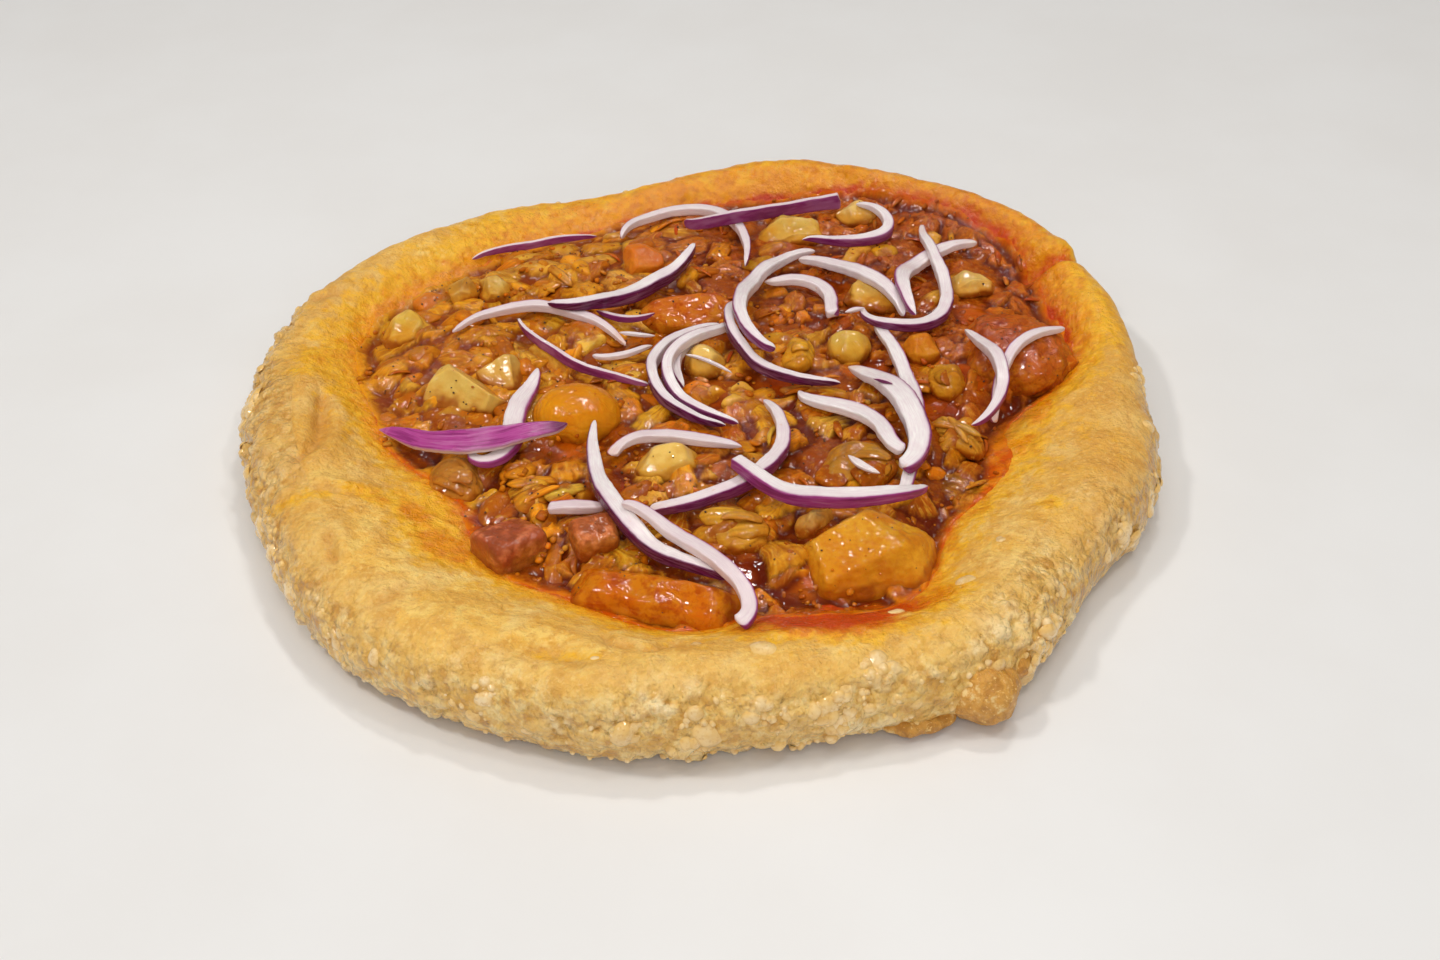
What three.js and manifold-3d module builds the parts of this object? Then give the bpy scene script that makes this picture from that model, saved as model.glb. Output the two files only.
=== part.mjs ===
// A fried flatbread (langos): a puffed, uneven ring of leavened dough round a
// sunken middle that holds a thick vegetable stew, larger chunks of potato,
// pepper, tomato, carrot, garlic and sausage half sunk in it, and cut strips
// of raw red onion thrown over the top.
//
// Millimetres, +Z up. The underside of the bread is flat at z = 0, and the
// origin is under the middle of the bread's bounding box.

import * as THREE from 'three';
import { mergeVertices } from 'three/addons/utils/BufferGeometryUtils.js';
import Module from 'manifold-3d';

const wasm = await Module();
wasm.setup();

// ---------------------------------------------------------------- sizes ----

// Outer edge of the bread seen from above: mean radius, then the cosine and
// sine amplitude of each harmonic (the bread was stretched by hand).
const EDGE_RADIUS = 114.81;
const EDGE_WAVES = [
  [0.31, -0.86], [0.14, 1.19], [-0.96, 1.83], [-0.84, -1.02], [0.56, 0.78], [0.25, 0.22],
  [-0.55, -0.50], [-0.09, -1.03], [-0.15, -0.44], [-0.32, 0.51], [-0.17, 0.24], [-0.06, 0.19],
];
// Width of the bare ring, from the outer edge to where the stew starts.
const RIM_WIDTH = 27.71;
const RIM_WAVES = [
  [-4.00, -12.51], [3.36, -0.65], [2.26, -5.07], [-0.51, -1.05], [0.60, -1.63], [-0.58, -0.52],
  [-1.20, -0.58], [-0.20, -1.24], [-0.20, -0.20], [0.32, -0.91], [-1.01, -0.53], [-0.42, -0.19],
];
const RIM_WIDTH_MIN = 9.5;

// Height of the ring's crest, and how it swells and dips round the bread:
// [extra height, bearing in degrees, spread in degrees].
const CREST_HEIGHT = 18.3;
const CREST_SWELLS = [[6.7, 48, 34], [-3.2, 110, 17], [1.6, 272, 46]];
const WIDEST_HEIGHT = 7.5;      // the side is widest this far above the base
const FLOOR_HEIGHT = 8.5;       // dough under the stew
// The side below the widest point curls in to the flat underside:
// [how far in from the edge, height].
const UNDER_CURL = [[7.0, 0], [4.2, 0.25], [2.2, 1.2], [0.9, 3.0], [0.15, 5.2]];
// Lumps where dough burst through and fried on the outside of the ring:
// [x, y, z, half width, half depth, half height, yaw in degrees].
const FRIED_LUMPS = [
  [59.3, -99.8, 6.7, 8.4, 7.6, 6.5, -30],
  [46.5, -104.8, 3.4, 7.2, 3.8, 3.2, 12],
];

const STEW_LEVEL = 16.6;        // height of the stew in the middle
const STEW_TILT = 0.028;        // it lies higher towards the raised far side
const STEW_TILT_BEARING = 50;
const STEW_SHORE = 20;          // it thins out over this distance to its edge
const STEW_EDGE = 0.9;
const LUMP = [0.55, 0.4];       // unevenness of the surface

const GAP = 0.3;                // clearance between neighbouring solids
const BEARINGS = 56;            // facets round the bread
const DRAPE_RADIUS = 26;        // how tightly an onion strip bends over things
const CELL = 0.5;               // spacing of the height survey the strips lie on

// Chunks: name, centre x, y, z, half sizes along its own x, y, z, yaw in
// degrees, squareness (2 is round, 5 is nearly a cube), colour, gloss.
const POTATO = 0xc89b3c, ONION_COOKED = 0xb07020, CABBAGE = 0xc4a84c, TOMATO = 0xb8461a, CARROT = 0xd06018, SAUSAGE = 0xa04a2c;
const CHUNKS = [
  ['potato_wedge_1', -58.3, 0.9, 14.6, 10.5, 5.6, 6, -17, 3.4, 0xcfae4e, 0.3],
  ['potato_wedge_2', -49.6, 8.2, 15, 6.2, 4.6, 5.2, -35, 3.2, POTATO, 0.3],
  ['pepper_piece_1', -76.6, 31.4, 13.4, 7, 5.6, 4.8, 18, 2.8, 0xc2a23a, 0.3],
  ['cherry_tomato_1', -30.0, -9.2, 13.1, 10.6, 9.2, 8.0, 0, 2.0, 0xd8801c, 0.2],
  ['stewed_onion_1', -63.3, 47.6, 14.9, 3.6, 4.6, 4.0, 5, 2.4, ONION_COOKED, 0.25],
  ['stewed_onion_2', -55.3, 47.2, 15.8, 3.9, 4.8, 3.8, 15, 2.6, POTATO, 0.25],
  ['sausage_cube_1', -43.1, -56.2, 10.0, 7.2, 6.6, 6.6, 38, 5.0, SAUSAGE, 0.35],
  ['sausage_cube_2', -23.5, -57, 14, 5, 4.6, 4.4, 20, 4.0, 0xb8552a, 0.35],
  ['tomato_wedge_1', -9.2, -74.6, 11.2, 19, 6.6, 6.4, -16, 2.5, 0xc05414, 0.2],
  ['potato_chunk_1', 37.4, -65, 12, 16, 11, 9.5, 4, 2.9, 0xb87a20, 0.3],
  ['onion_petal_1', 26.6, -52.6, 14.6, 5.2, 2.8, 5, 40, 2.8, 0xc8a868, 0.3],
  ['garlic_clove_1', -7.0, -30.3, 14.3, 7.8, 4.9, 4.6, 16, 2.3, 0xd8b040, 0.25],
  ['garlic_clove_2', 1.4, 10.4, 15.6, 5.2, 5.2, 4.6, 0, 2.0, 0xccb45c, 0.25],
  ['pepper_piece_2', 38.3, 16, 15.6, 5.6, 5.4, 5.2, 30, 2.1, 0xa88c28, 0.25],
  ['stewed_onion_4', 25.2, 12.4, 15.9, 4.4, 5.8, 4, -20, 2.4, 0xc88c1c, 0.25],
  ['tomato_wedge_2', -2.2, 34.4, 15.6, 13, 7.4, 5, 8, 2.3, TOMATO, 0.2],
  ['carrot_cube_1', -15.2, 59.4, 15.9, 5.2, 4.8, 4.6, 8, 4.2, CARROT, 0.3],
  ['tomato_half_1', 79.6, 13.2, 14.2, 14.5, 12.6, 8.2, -35, 2.2, 0xa84418, 0.2],
  ['carrot_cube_2', 56.6, 12.0, 17.0, 4.0, 4.0, 3.8, 0, 2.4, CARROT, 0.3],
  ['stewed_onion_5', 61.6, -0.9, 16.8, 4.6, 6, 4.2, -10, 2.3, ONION_COOKED, 0.25],
  ['cabbage_piece_1', 46.2, 37.7, 17.9, 7.6, 5.4, 3.4, -28, 2.6, CABBAGE, 0.3],
  ['cabbage_piece_2', 73.0, 43.1, 17.5, 6.8, 3.8, 3.4, 6, 2.6, CABBAGE, 0.3],
  ['cabbage_piece_3', 26.2, 73.6, 17.1, 10.5, 5.2, 3.8, 4, 2.5, CABBAGE, 0.3],
  ['cabbage_piece_4', 45.0, 80.4, 18.2, 5.4, 4.2, 3.6, 0, 2.6, 0xc8b870, 0.3],
  ['stewed_onion_6', -57.4, -29, 9.6, 7.4, 6.6, 5.2, -20, 2.4, ONION_COOKED, 0.2],
  ['cabbage_piece_5', 62.0, -17.8, 12.4, 9.0, 3.4, 3.8, -47, 2.4, 0xb08828, 0.3],
  ['potato_chunk_2', 8.3, -55.7, 14.3, 8.6, 6.4, 4.6, 10, 2.6, 0xc08c24, 0.3],
  ['stewed_onion_7', 37.3, -32.0, 14.4, 10.0, 8.6, 5.6, -10, 2.3, 0xb87c20, 0.25],
];

// Red onion strips, from the bottom of the tangle to the top. Each is a slice
// of an onion layer: its centre line starts at x, y and runs for `length`
// with a heading, in degrees, of h0 + h1 u + h2 u^2 + h3 u^3 (u from 0 to 1).
// Then its width at the start, middle and end, its thickness at the same
// three places, the roll of its section in degrees, and how far its two ends
// stand up.
const STRIPS = [
  ['onion_strip_01', [-63.3, 68.2, 36.2, 40.9, -99.6, 50.6, 20.4], [0.7, 1.3, 0.6], [1.2, 2.1, 1.0], 0, [0, 0]],
  ['onion_strip_02', [-21.5, 70.5, 66.4, 84.3, -223.4, -70.0, 109.7], [1.2, 2.4, 1.0], [1.6, 2.3, 1.4], 0, [0, 0]],
  ['onion_strip_03', [-3.9, 75.4, 46.0, -43.4, 297.0, -407.2, 149.9], [0.8, 1.4, 1.6], [2.4, 3.6, 4.6], 0, [0, 0.6]],
  ['onion_strip_04', [-27.0, 34.0, 18.5, -41.0, -37.8, 161.7, -31.1], [0.6, 1.3, 0.5], [0.8, 1.6, 0.7], 0, [0, 0]],
  ['onion_strip_05', [-64.0, 26.0, 54.6, 52.8, -134.1, -4.3, 25.5], [1.0, 2.2, 1.2], [1.2, 2.2, 1.2], 0, [0, 0]],
  ['onion_strip_06', [-39.3, 33.5, 51.9, -27.8, 275.9, -393.0, 224.9], [1.6, 3.3, 1.4], [1.6, 3.2, 2.0], 0, [0, 2.0]],
  ['onion_strip_07', [-47.3, 30.3, 47.7, -69.4, 82.6, -87.7, 65.6], [0.7, 1.2, 0.8], [1.8, 2.6, 1.4], 0, [0.4, 0]],
  ['onion_strip_09', [0.4, 17.4, 21.1, -128.7, -77.5, 375.0, -238.4], [1.0, 2.0, 1.0], [1.4, 2.2, 1.4], 0, [0, 0]],
  ['onion_strip_10', [7.2, 21.3, 52.4, -127.7, -195.2, 790.7, -496.8], [1.6, 2.3, 1.2], [1.8, 2.8, 1.6], 0, [0, 0]],
  ['onion_strip_11', [6.1, 23.7, 59.7, -175.0, 182.9, -26.4, 9.2], [1.2, 2.3, 1.0], [1.6, 2.8, 1.6], 0, [0, 0]],
  ['onion_strip_12', [-20.6, -28.0, 33.9, 70.4, -270.4, 234.2, -44.1], [2.2, 2.6, 1.0], [1.2, 2.2, 1.2], 0, [0, 0]],
  ['onion_strip_13', [-34.4, -47.6, 12.8, -5.9, 10.0, 0, 0], [2.4, 2.8, 1.6], [1.4, 2.0, 1.4], 0, [0, 0]],
  ['onion_strip_14', [16.0, -8.4, 60.4, -62.3, -57.8, -259.9, 223.7], [1.2, 3.0, 1.8], [1.4, 3.0, 1.8], 0, [0, 0]],
  ['onion_strip_15', [-24.9, -17.2, 70.7, -96.0, 70.6, -31.8, 44.6], [1.0, 3.4, 1.6], [1.6, 3.0, 1.8], 0, [1.5, 0]],
  ['onion_strip_16', [-17.1, -53.5, 48.4, -13.4, -268.3, 686.1, -549.5], [1.6, 2.8, 2.2], [1.4, 2.4, 1.6], 0, [0, 0]],
  ['onion_strip_17', [-40.5, 6.3, 45.0, -86.6, -267.8, 993.6, -949.4], [1.2, 4.4, 1.8], [1.4, 2.2, 1.2], 0, [1.0, 0]],
  ['onion_strip_18', [-78.8, -10.7, 52.1, -25.7, -123.5, 404.0, -230.3], [1.6, 6.2, 2.6], [1.0, 2.0, 1.2], 20, [0, 1.5]],
  ['onion_strip_19', [44.8, 79.8, 42.3, -15.9, -106.9, -595.1, 549.7], [1.4, 2.6, 1.0], [1.4, 2.6, 1.0], 0, [0, 0]],
  ['onion_strip_20', [17.6, 44.9, 31.1, -19.7, 257.4, -945.3, 638.8], [1.2, 3.0, 2.8], [1.2, 2.2, 2.0], 0, [0, 0]],
  ['onion_strip_21', [27.4, 54.7, 41.3, -10.7, -176.2, 295.6, -196.6], [1.6, 3.2, 1.6], [1.4, 2.4, 1.4], 0, [0, 0]],
  ['onion_strip_22', [10.2, 33.9, 53.1, -112.2, 61.4, 168.6, -120.7], [1.4, 2.2, 1.2], [1.6, 2.8, 1.2], 0, [0, 0]],
  ['onion_strip_23', [31.9, 59.3, 65.5, -177.3, 356.5, -656.9, 461.7], [1.6, 3.2, 1.8], [1.4, 2.8, 1.8], 0, [0, 0]],
  ['onion_strip_24', [46.0, 22.7, 69.1, -75.9, 16.3, -110.2, 60.1], [1.8, 3.0, 2.4], [1.6, 2.2, 1.8], 0, [0, 0]],
  ['onion_strip_25', [76.0, 58.5, 49.5, -180.7, 152.3, -62.1, 25.0], [1.8, 3.6, 1.2], [1.6, 2.2, 1.4], 0, [1.0, 0]],
  ['onion_strip_26', [62.1, 69.4, 74.6, -99.0, 152.8, -265.2, -78.0], [1.4, 2.8, 1.4], [1.4, 2.6, 1.4], 0, [0.5, 0]],
  ['onion_strip_27', [25.1, -4.8, 38.9, -103.3, 671.2, -1604.1, 1004.7], [1.2, 3.6, 2.6], [1.2, 2.2, 1.6], 0, [0, 0]],
  ['onion_strip_28', [37.3, 3.7, 49.0, -35.5, -161.3, 302.0, -250.4], [1.4, 5.0, 3.2], [1.4, 2.8, 2.2], 0, [0, 0]],
  ['onion_strip_29', [8.3, -38.6, 50.8, -52.7, 57.7, 37.3, 5.6], [2.6, 3.4, 1.8], [2.6, 3.2, 1.4], 0, [1.0, 1.0]],
  ['onion_strip_30', [92.9, 14.5, 38.7, -162.7, 68.1, 52.1, -59.1], [1.2, 2.2, 1.4], [1.2, 2.0, 1.2], 0, [0, 0]],
  ['onion_strip_31', [67.8, 16.0, 40.2, -68.5, 3.3, -21.3, -84.9], [1.0, 2.6, 1.0], [1.2, 2.6, 1.2], 0, [0, 0]],
];

// ------------------------------------------------------- shape functions ----

const rad = (deg) => deg * Math.PI / 180;
const clamp = (v, lo, hi) => Math.min(hi, Math.max(lo, v));
const ease = (t) => t * t * (3 - 2 * t);

function waves(mean, list, th) {
  let v = mean;
  list.forEach(([c, s], i) => { v += c * Math.cos((i + 1) * th) + s * Math.sin((i + 1) * th); });
  return v;
}
const edge = (th) => waves(EDGE_RADIUS, EDGE_WAVES, th);
const rimWidth = (th) => Math.max(RIM_WIDTH_MIN, waves(RIM_WIDTH, RIM_WAVES, th));
const shore = (th) => edge(th) - rimWidth(th);
const crestInset = (th) => clamp(0.42 * rimWidth(th), 6.5, 13.5);

function crestHeight(th) {
  let h = CREST_HEIGHT;
  for (const [amount, bearing, spread] of CREST_SWELLS) {
    const d = (((th * 180 / Math.PI - bearing + 180) % 360) + 360) % 360 - 180;
    h += amount * Math.exp(-((d / spread) ** 2));
  }
  return h;
}

// Height of the dough's upper surface at bearing th, `inset` from its edge.
function doughTop(th, inset) {
  const top = crestHeight(th), dc = crestInset(th), foot = rimWidth(th) + 9;
  if (inset > dc) return FLOOR_HEIGHT + (top - FLOOR_HEIGHT) * (1 - ease(clamp((inset - dc) / (foot - dc), 0, 1)));
  const u = clamp(1 - inset / dc, 0, 1);
  return WIDEST_HEIGHT + (top - WIDEST_HEIGHT) * (1 - u ** 2.4) ** (1 / 2.4);
}

// Height of the stew at bearing th and radius r.
function stewTop(th, r) {
  const x = r * Math.cos(th), y = r * Math.sin(th);
  const from = doughTop(th, rimWidth(th)) + STEW_EDGE;
  const b = rad(STEW_TILT_BEARING);
  const level = STEW_LEVEL + STEW_TILT * (x * Math.cos(b) + y * Math.sin(b));
  const inside = shore(th) - r;
  const lump = LUMP[0] * Math.sin(x / 5.1 + 0.7) * Math.sin(y / 4.3 + 1.9) + LUMP[1] * Math.sin(x / 2.9 + y / 3.7);
  return from + (level - from) * ease(clamp(inside / STEW_SHORE, 0, 1)) + lump * clamp(inside / 6, 0, 1);
}

// --------------------------------------------------------- mesh helpers ----

// A closed body from rings of points, each ring with the same bearings, capped
// at both ends by a fan to a centre point.
function ringBody(rings, startCentre, endCentre) {
  const n = rings[0].length, pos = [], idx = [];
  for (const ring of rings) for (const p of ring) pos.push(...p);
  const at = (i, j) => i * n + ((j % n) + n) % n;
  const apart = (u, v) => Math.hypot(...[0, 1, 2].map((k) => pos[u * 3 + k] - pos[v * 3 + k]));
  for (let i = 0; i + 1 < rings.length; i++) {
    for (let j = 0; j < n; j++) {
      // split each quad on its shorter diagonal, so that touching bodies match
      const p = at(i, j), q = at(i, j + 1), s = at(i + 1, j + 1), t = at(i + 1, j);
      if (apart(p, s) < apart(q, t)) idx.push(p, q, s, p, s, t);
      else idx.push(p, q, t, q, s, t);
    }
  }
  const a = pos.length / 3; pos.push(...startCentre);
  const b = a + 1; pos.push(...endCentre);
  for (let j = 0; j < n; j++) {
    idx.push(a, at(0, j + 1), at(0, j));
    idx.push(b, at(rings.length - 1, j), at(rings.length - 1, j + 1));
  }
  const g = new THREE.BufferGeometry();
  g.setAttribute('position', new THREE.Float32BufferAttribute(pos, 3));
  g.setIndex(idx);
  return g;
}

function toSolid(geometry) {
  let g = geometry.clone();
  g.deleteAttribute('normal');
  g.deleteAttribute('uv');
  g = mergeVertices(g, 1e-3);
  const index = g.index.array, keep = [];
  for (let i = 0; i < index.length; i += 3) {
    const [a, b, c] = [index[i], index[i + 1], index[i + 2]];
    if (a !== b && b !== c && c !== a) keep.push(a, b, c);
  }
  return new wasm.Manifold(new wasm.Mesh({
    numProp: 3,
    vertProperties: new Float32Array(g.attributes.position.array),
    triVerts: new Uint32Array(keep),
  }));
}

function toGeometry(solid) {
  const m = solid.getMesh(), n = m.vertProperties.length / m.numProp;
  const pos = new Float32Array(n * 3);
  for (let i = 0; i < n; i++) for (let k = 0; k < 3; k++) pos[i * 3 + k] = m.vertProperties[i * m.numProp + k];
  const g = new THREE.BufferGeometry();
  g.setAttribute('position', new THREE.Float32BufferAttribute(pos, 3));
  g.setIndex(Array.from(m.triVerts));
  return g;
}

// The largest connected body of a solid; slivers cut loose are dropped.
function largestBody(geometry) {
  const g = mergeVertices(geometry, 1e-3), index = g.index.array;
  const root = Array.from({ length: g.attributes.position.count }, (_, i) => i);
  const find = (i) => { while (root[i] !== i) { root[i] = root[root[i]]; i = root[i]; } return i; };
  for (let i = 0; i < index.length; i += 3) {
    root[find(index[i])] = find(index[i + 1]);
    root[find(index[i + 1])] = find(index[i + 2]);
  }
  const groups = new Map();
  for (let i = 0; i < index.length; i += 3) {
    if (index[i] === index[i + 1] || index[i + 1] === index[i + 2] || index[i] === index[i + 2]) continue;
    const k = find(index[i]);
    if (!groups.has(k)) groups.set(k, []);
    groups.get(k).push(index[i], index[i + 1], index[i + 2]);
  }
  const best = [...groups.values()].sort((p, q) => q.length - p.length)[0];
  const out = new THREE.BufferGeometry();
  out.setAttribute('position', g.attributes.position);
  out.setIndex(best);
  return out;
}

// A rounded lump of food: a sphere squared off by `power` and made uneven.
function lumpGeometry(halfX, halfY, halfZ, power, detail, grow, seed) {
  const ball = power > 3.9 ? new THREE.BoxGeometry(2, 2, 2, 2, 2, 2) : new THREE.IcosahedronGeometry(1, detail);
  const g = mergeVertices(stripped(ball), 1e-4);
  const p = g.attributes.position;
  for (let i = 0; i < p.count; i++) {
    const n = Math.hypot(p.getX(i), p.getY(i), p.getZ(i));
    const x = p.getX(i) / n, y = p.getY(i) / n, z = p.getZ(i) / n;
    const r = (Math.abs(x) ** power + Math.abs(y) ** power + Math.abs(z) ** power) ** (-1 / power);
    const uneven = 1 + 0.045 * Math.sin(3.1 * x + seed) * Math.cos(2.7 * y - 1.3 * seed) + 0.03 * Math.sin(4.3 * z + 2.1 * x + 0.7 * seed);
    p.setXYZ(i, x * r * (halfX * uneven + grow), y * r * (halfY * uneven + grow), z * r * (halfZ * uneven + grow));
  }
  return g;
}
function stripped(g) {
  g.deleteAttribute('normal');
  g.deleteAttribute('uv');
  return g;
}

// --------------------------------------------------------------- dough ----

const bearings = Array.from({ length: BEARINGS }, (_, j) => 2 * Math.PI * j / BEARINGS);
const ringAt = (inset, height) => bearings.map((th) => {
  const d = inset(th), r = edge(th) - d;
  return [r * Math.cos(th), r * Math.sin(th), height(th, d)];
});
const insets = [
  ...[1, 0.86, 0.64, 0.36].map((u) => (th) => crestInset(th) * (1 - u)),
  crestInset,
  ...[0.3, 0.65].map((u) => (th) => crestInset(th) + u * (rimWidth(th) - crestInset(th))),
  rimWidth,
  (th) => rimWidth(th) + 4.5,
  (th) => rimWidth(th) + 9,
];
const doughRings = [
  ...UNDER_CURL.map(([inset, z]) => ringAt(() => inset, () => z)),
  ...insets.map((f) => ringAt(f, doughTop)),
];
let doughSolid = toSolid(ringBody(doughRings, [0, 0, 0], [0, 0, FLOOR_HEIGHT]));
for (const [x, y, z, hx, hy, hz, yaw] of FRIED_LUMPS) {
  const g = lumpGeometry(hx, hy, hz, 2.1, 2, 0, x);
  g.rotateZ(rad(yaw));
  g.translate(x, y, z);
  doughSolid = doughSolid.add(toSolid(g));
}

// Everything above the dough: the space that the filling may take.
const above = toSolid(ringBody([
  ...insets.slice(5).reverse().map((f) => ringAt(f, (th, d) => doughTop(th, d) + GAP)),
  ringAt(insets[5], () => 60),
], [0, 0, FLOOR_HEIGHT + GAP], [0, 0, 60]));

// ---------------------------------------------------------------- stew ----

const stewRing = (e, f) => bearings.map((th) => {
  const r = e === null ? shore(th) * f : shore(th) - e;
  return [r * Math.cos(th), r * Math.sin(th), stewTop(th, r)];
});
let stewSolid = toSolid(ringBody([
  ...[insets[9], insets[8], insets[7]].map((f) => ringAt(f, (th, d) => doughTop(th, d) + GAP)),
  ...[0, 4, 10, 18].map((e) => stewRing(e, 0)),
  ...[0.6, 0.3].map((f) => stewRing(null, f)),
], [0, 0, FLOOR_HEIGHT + GAP], [0, 0, stewTop(0, 0)]));

// -------------------------------------------------------------- chunks ----

const chunkSolids = CHUNKS.map(([name, x, y, z, hx, hy, hz, yaw, power], k) => {
  const detail = Math.max(hx, hy) > 12 ? 2 : 1;
  const make = (grow) => {
    const g = lumpGeometry(hx, hy, hz, power, detail, grow, k + 1);
    g.rotateZ(rad(yaw));
    g.translate(x, y, z);
    return toSolid(g);
  };
  // the pocket it sits in: an upright well round its outline
  const sides = 10, wide = (1.05 / Math.cos(Math.PI / sides));
  const foot = z - hz < FLOOR_HEIGHT + 2 ? 0 : z - hz * 1.06 - GAP;
  const well = [foot, 60].map((level) => Array.from({ length: sides }, (_, k) => {
    const a = 2 * Math.PI * (k + 0.5) / sides, c = Math.cos(a), s = Math.sin(a);
    const r = (Math.abs(c) ** power + Math.abs(s) ** power) ** (-1 / power);
    const u = c * r * (hx * wide + GAP), v = s * r * (hy * wide + GAP), t = rad(yaw);
    return [x + u * Math.cos(t) - v * Math.sin(t), y + u * Math.sin(t) + v * Math.cos(t), level];
  }));
  return { name, body: make(0), grown: make(GAP + 0.05), well: toSolid(ringBody(well, [x, y, foot], [x, y, 60])) };
});
for (let i = 0; i < chunkSolids.length; i++) {
  let s = chunkSolids[i].body.intersect(above);
  for (let j = 0; j < i; j++) s = s.subtract(chunkSolids[j].grown);
  chunkSolids[i].cut = s;
  stewSolid = stewSolid.subtract(chunkSolids[i].well);
}

// ------------------------------------------------- strips of red onion ----

// A survey of the highest surface over a square grid, which each strip lies on.
const HALF = 124, CELLS = Math.round(2 * HALF / CELL) + 1;
const survey = new Float32Array(CELLS * CELLS);
const cellOf = (v) => clamp(Math.round((v + HALF) / CELL), 0, CELLS - 1);
const heightAt = (x, y) => survey[cellOf(x) * CELLS + cellOf(y)];
function addToSurvey(geometry) {
  const p = geometry.attributes.position, index = geometry.index.array;
  for (let t = 0; t < index.length; t += 3) {
    const [a, b, c] = [0, 1, 2].map((k) => new THREE.Vector3().fromBufferAttribute(p, index[t + k]));
    const det = (b.x - a.x) * (c.y - a.y) - (c.x - a.x) * (b.y - a.y);
    if (Math.abs(det) < 1e-9) continue;
    const i0 = cellOf(Math.min(a.x, b.x, c.x) - CELL), i1 = cellOf(Math.max(a.x, b.x, c.x) + CELL);
    const j0 = cellOf(Math.min(a.y, b.y, c.y) - CELL), j1 = cellOf(Math.max(a.y, b.y, c.y) + CELL);
    for (let i = i0; i <= i1; i++) {
      for (let j = j0; j <= j1; j++) {
        const x = i * CELL - HALF, y = j * CELL - HALF;
        const v = ((x - a.x) * (c.y - a.y) - (c.x - a.x) * (y - a.y)) / det;
        const w = ((b.x - a.x) * (y - a.y) - (x - a.x) * (b.y - a.y)) / det;
        if (v < -1e-6 || w < -1e-6 || v + w > 1 + 1e-6) continue;
        const z = a.z + v * (b.z - a.z) + w * (c.z - a.z);
        if (z > survey[i * CELLS + j]) survey[i * CELLS + j] = z;
      }
    }
  }
}

function profile([start, middle, end], u) {
  const line = start + (end - start) * u;
  return line + (middle - line) * Math.sin(Math.PI * clamp(u, 0, 1)) ** 0.55;
}

function stripGeometry([, [x0, y0, length, h0, h1, h2, h3], width, thick, roll, lift]) {
  const fine = 120, xs = [x0], ys = [y0];
  for (let i = 0; i < fine; i++) {
    const u = (i + 0.5) / fine, th = rad(h0 + h1 * u + h2 * u * u + h3 * u ** 3);
    xs.push(xs[i] + Math.cos(th) * length / fine);
    ys.push(ys[i] + Math.sin(th) * length / fine);
  }
  const steps = [4, 5, 6, 8, 10, 12].find((n) => length / n < 5.6) ?? 12, each = fine / steps;
  // straight facets between the stations
  const px = [], py = [], lx = [], ly = [];
  for (let i = 0; i <= fine; i++) {
    const k = Math.min(steps - 1, Math.floor(i / each)), f = i / each - k;
    const [a, b] = [Math.round(k * each), Math.round((k + 1) * each)];
    px.push(xs[a] + (xs[b] - xs[a]) * f);
    py.push(ys[a] + (ys[b] - ys[a]) * f);
    const i0 = Math.max(0, i - 3), i1 = Math.min(fine, i + 3);
    const dx = xs[i1] - xs[i0], dy = ys[i1] - ys[i0], n = Math.hypot(dx, dy);
    lx.push(-dy / n);
    ly.push(dx / n);
  }
  const c = Math.cos(rad(roll)), s = Math.sin(rad(roll));
  const need = [];
  for (let i = 0; i <= fine; i++) {
    const a = profile(width, i / fine), b = profile(thick, i / fine);
    const reach = a / 2 * Math.abs(c) + b / 2 * Math.abs(s) + 0.35;
    let z = 0;
    for (let k = -5; k <= 5; k++) z = Math.max(z, heightAt(px[i] + lx[i] * reach * k / 5, py[i] + ly[i] * reach * k / 5));
    need.push(z);
  }
  let z = need.map((_, i) => {
    let best = 0;
    for (let j = 0; j <= fine; j++) best = Math.max(best, need[j] - ((i - j) * length / fine) ** 2 / (2 * DRAPE_RADIUS));
    return best;
  });
  for (let pass = 0; pass < 3; pass++) {
    z = z.map((_, i) => {
      let sum = 0, weight = 0;
      for (let j = 0; j <= fine; j++) {
        const w = Math.exp(-(((i - j) * length / fine / 2.2) ** 2));
        sum += w * z[j];
        weight += w;
      }
      return Math.max(need[i], sum / weight);
    });
  }
  const at = Array.from({ length: steps + 1 }, (_, k) => z[Math.round(k * each)]);
  for (let pass = 0; pass < 3; pass++) {
    for (let k = 0; k < steps; k++) {
      let short = 0;
      for (let j = 0; j <= each; j++) {
        const i = Math.min(fine, Math.round(k * each) + j);
        short = Math.max(short, z[i] - (at[k] + (at[k + 1] - at[k]) * j / each));
      }
      at[k] += short;
      at[k + 1] += short;
    }
  }
  const rings = [];
  for (let k = 0; k <= steps; k++) {
    const i = Math.round(k * each), u = k / steps;
    const a = profile(width, u) / 2, b = profile(thick, u) / 2;
    const rise = lift[0] * clamp(1 - u / 0.45, 0, 1) ** 2 + lift[1] * clamp((u - 0.55) / 0.45, 0, 1) ** 2;
    const low = a * Math.abs(s) + b * Math.abs(c);
    const zc = at[k] + GAP + 0.08 + low + rise;
    // corners: right low, left low, left high, right high; a positive roll tips the right side down
    rings.push([[-a, -b], [a, -b], [a, b], [-a, b]].map(([l, h]) => {
      const across = l * c - h * s, up = l * s + h * c;
      return [xs[i] + lx[i] * across, ys[i] + ly[i] * across, zc + up];
    }));
  }
  const mid = (ring) => [0, 1, 2].map((k) => ring.reduce((t, p) => t + p[k], 0) / 4);
  return ringBody(rings, mid(rings[0]), mid(rings[steps]));
}

// ------------------------------------------------------------ assembly ----

const group = new THREE.Group();
const bodies = [];
function place(name, geometry, color, roughness) {
  const mesh = new THREE.Mesh(geometry, new THREE.MeshStandardMaterial({ color, roughness, metalness: 0 }));
  mesh.name = name;
  bodies.push(mesh);
  group.add(mesh);
  addToSurvey(geometry);
}

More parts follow.
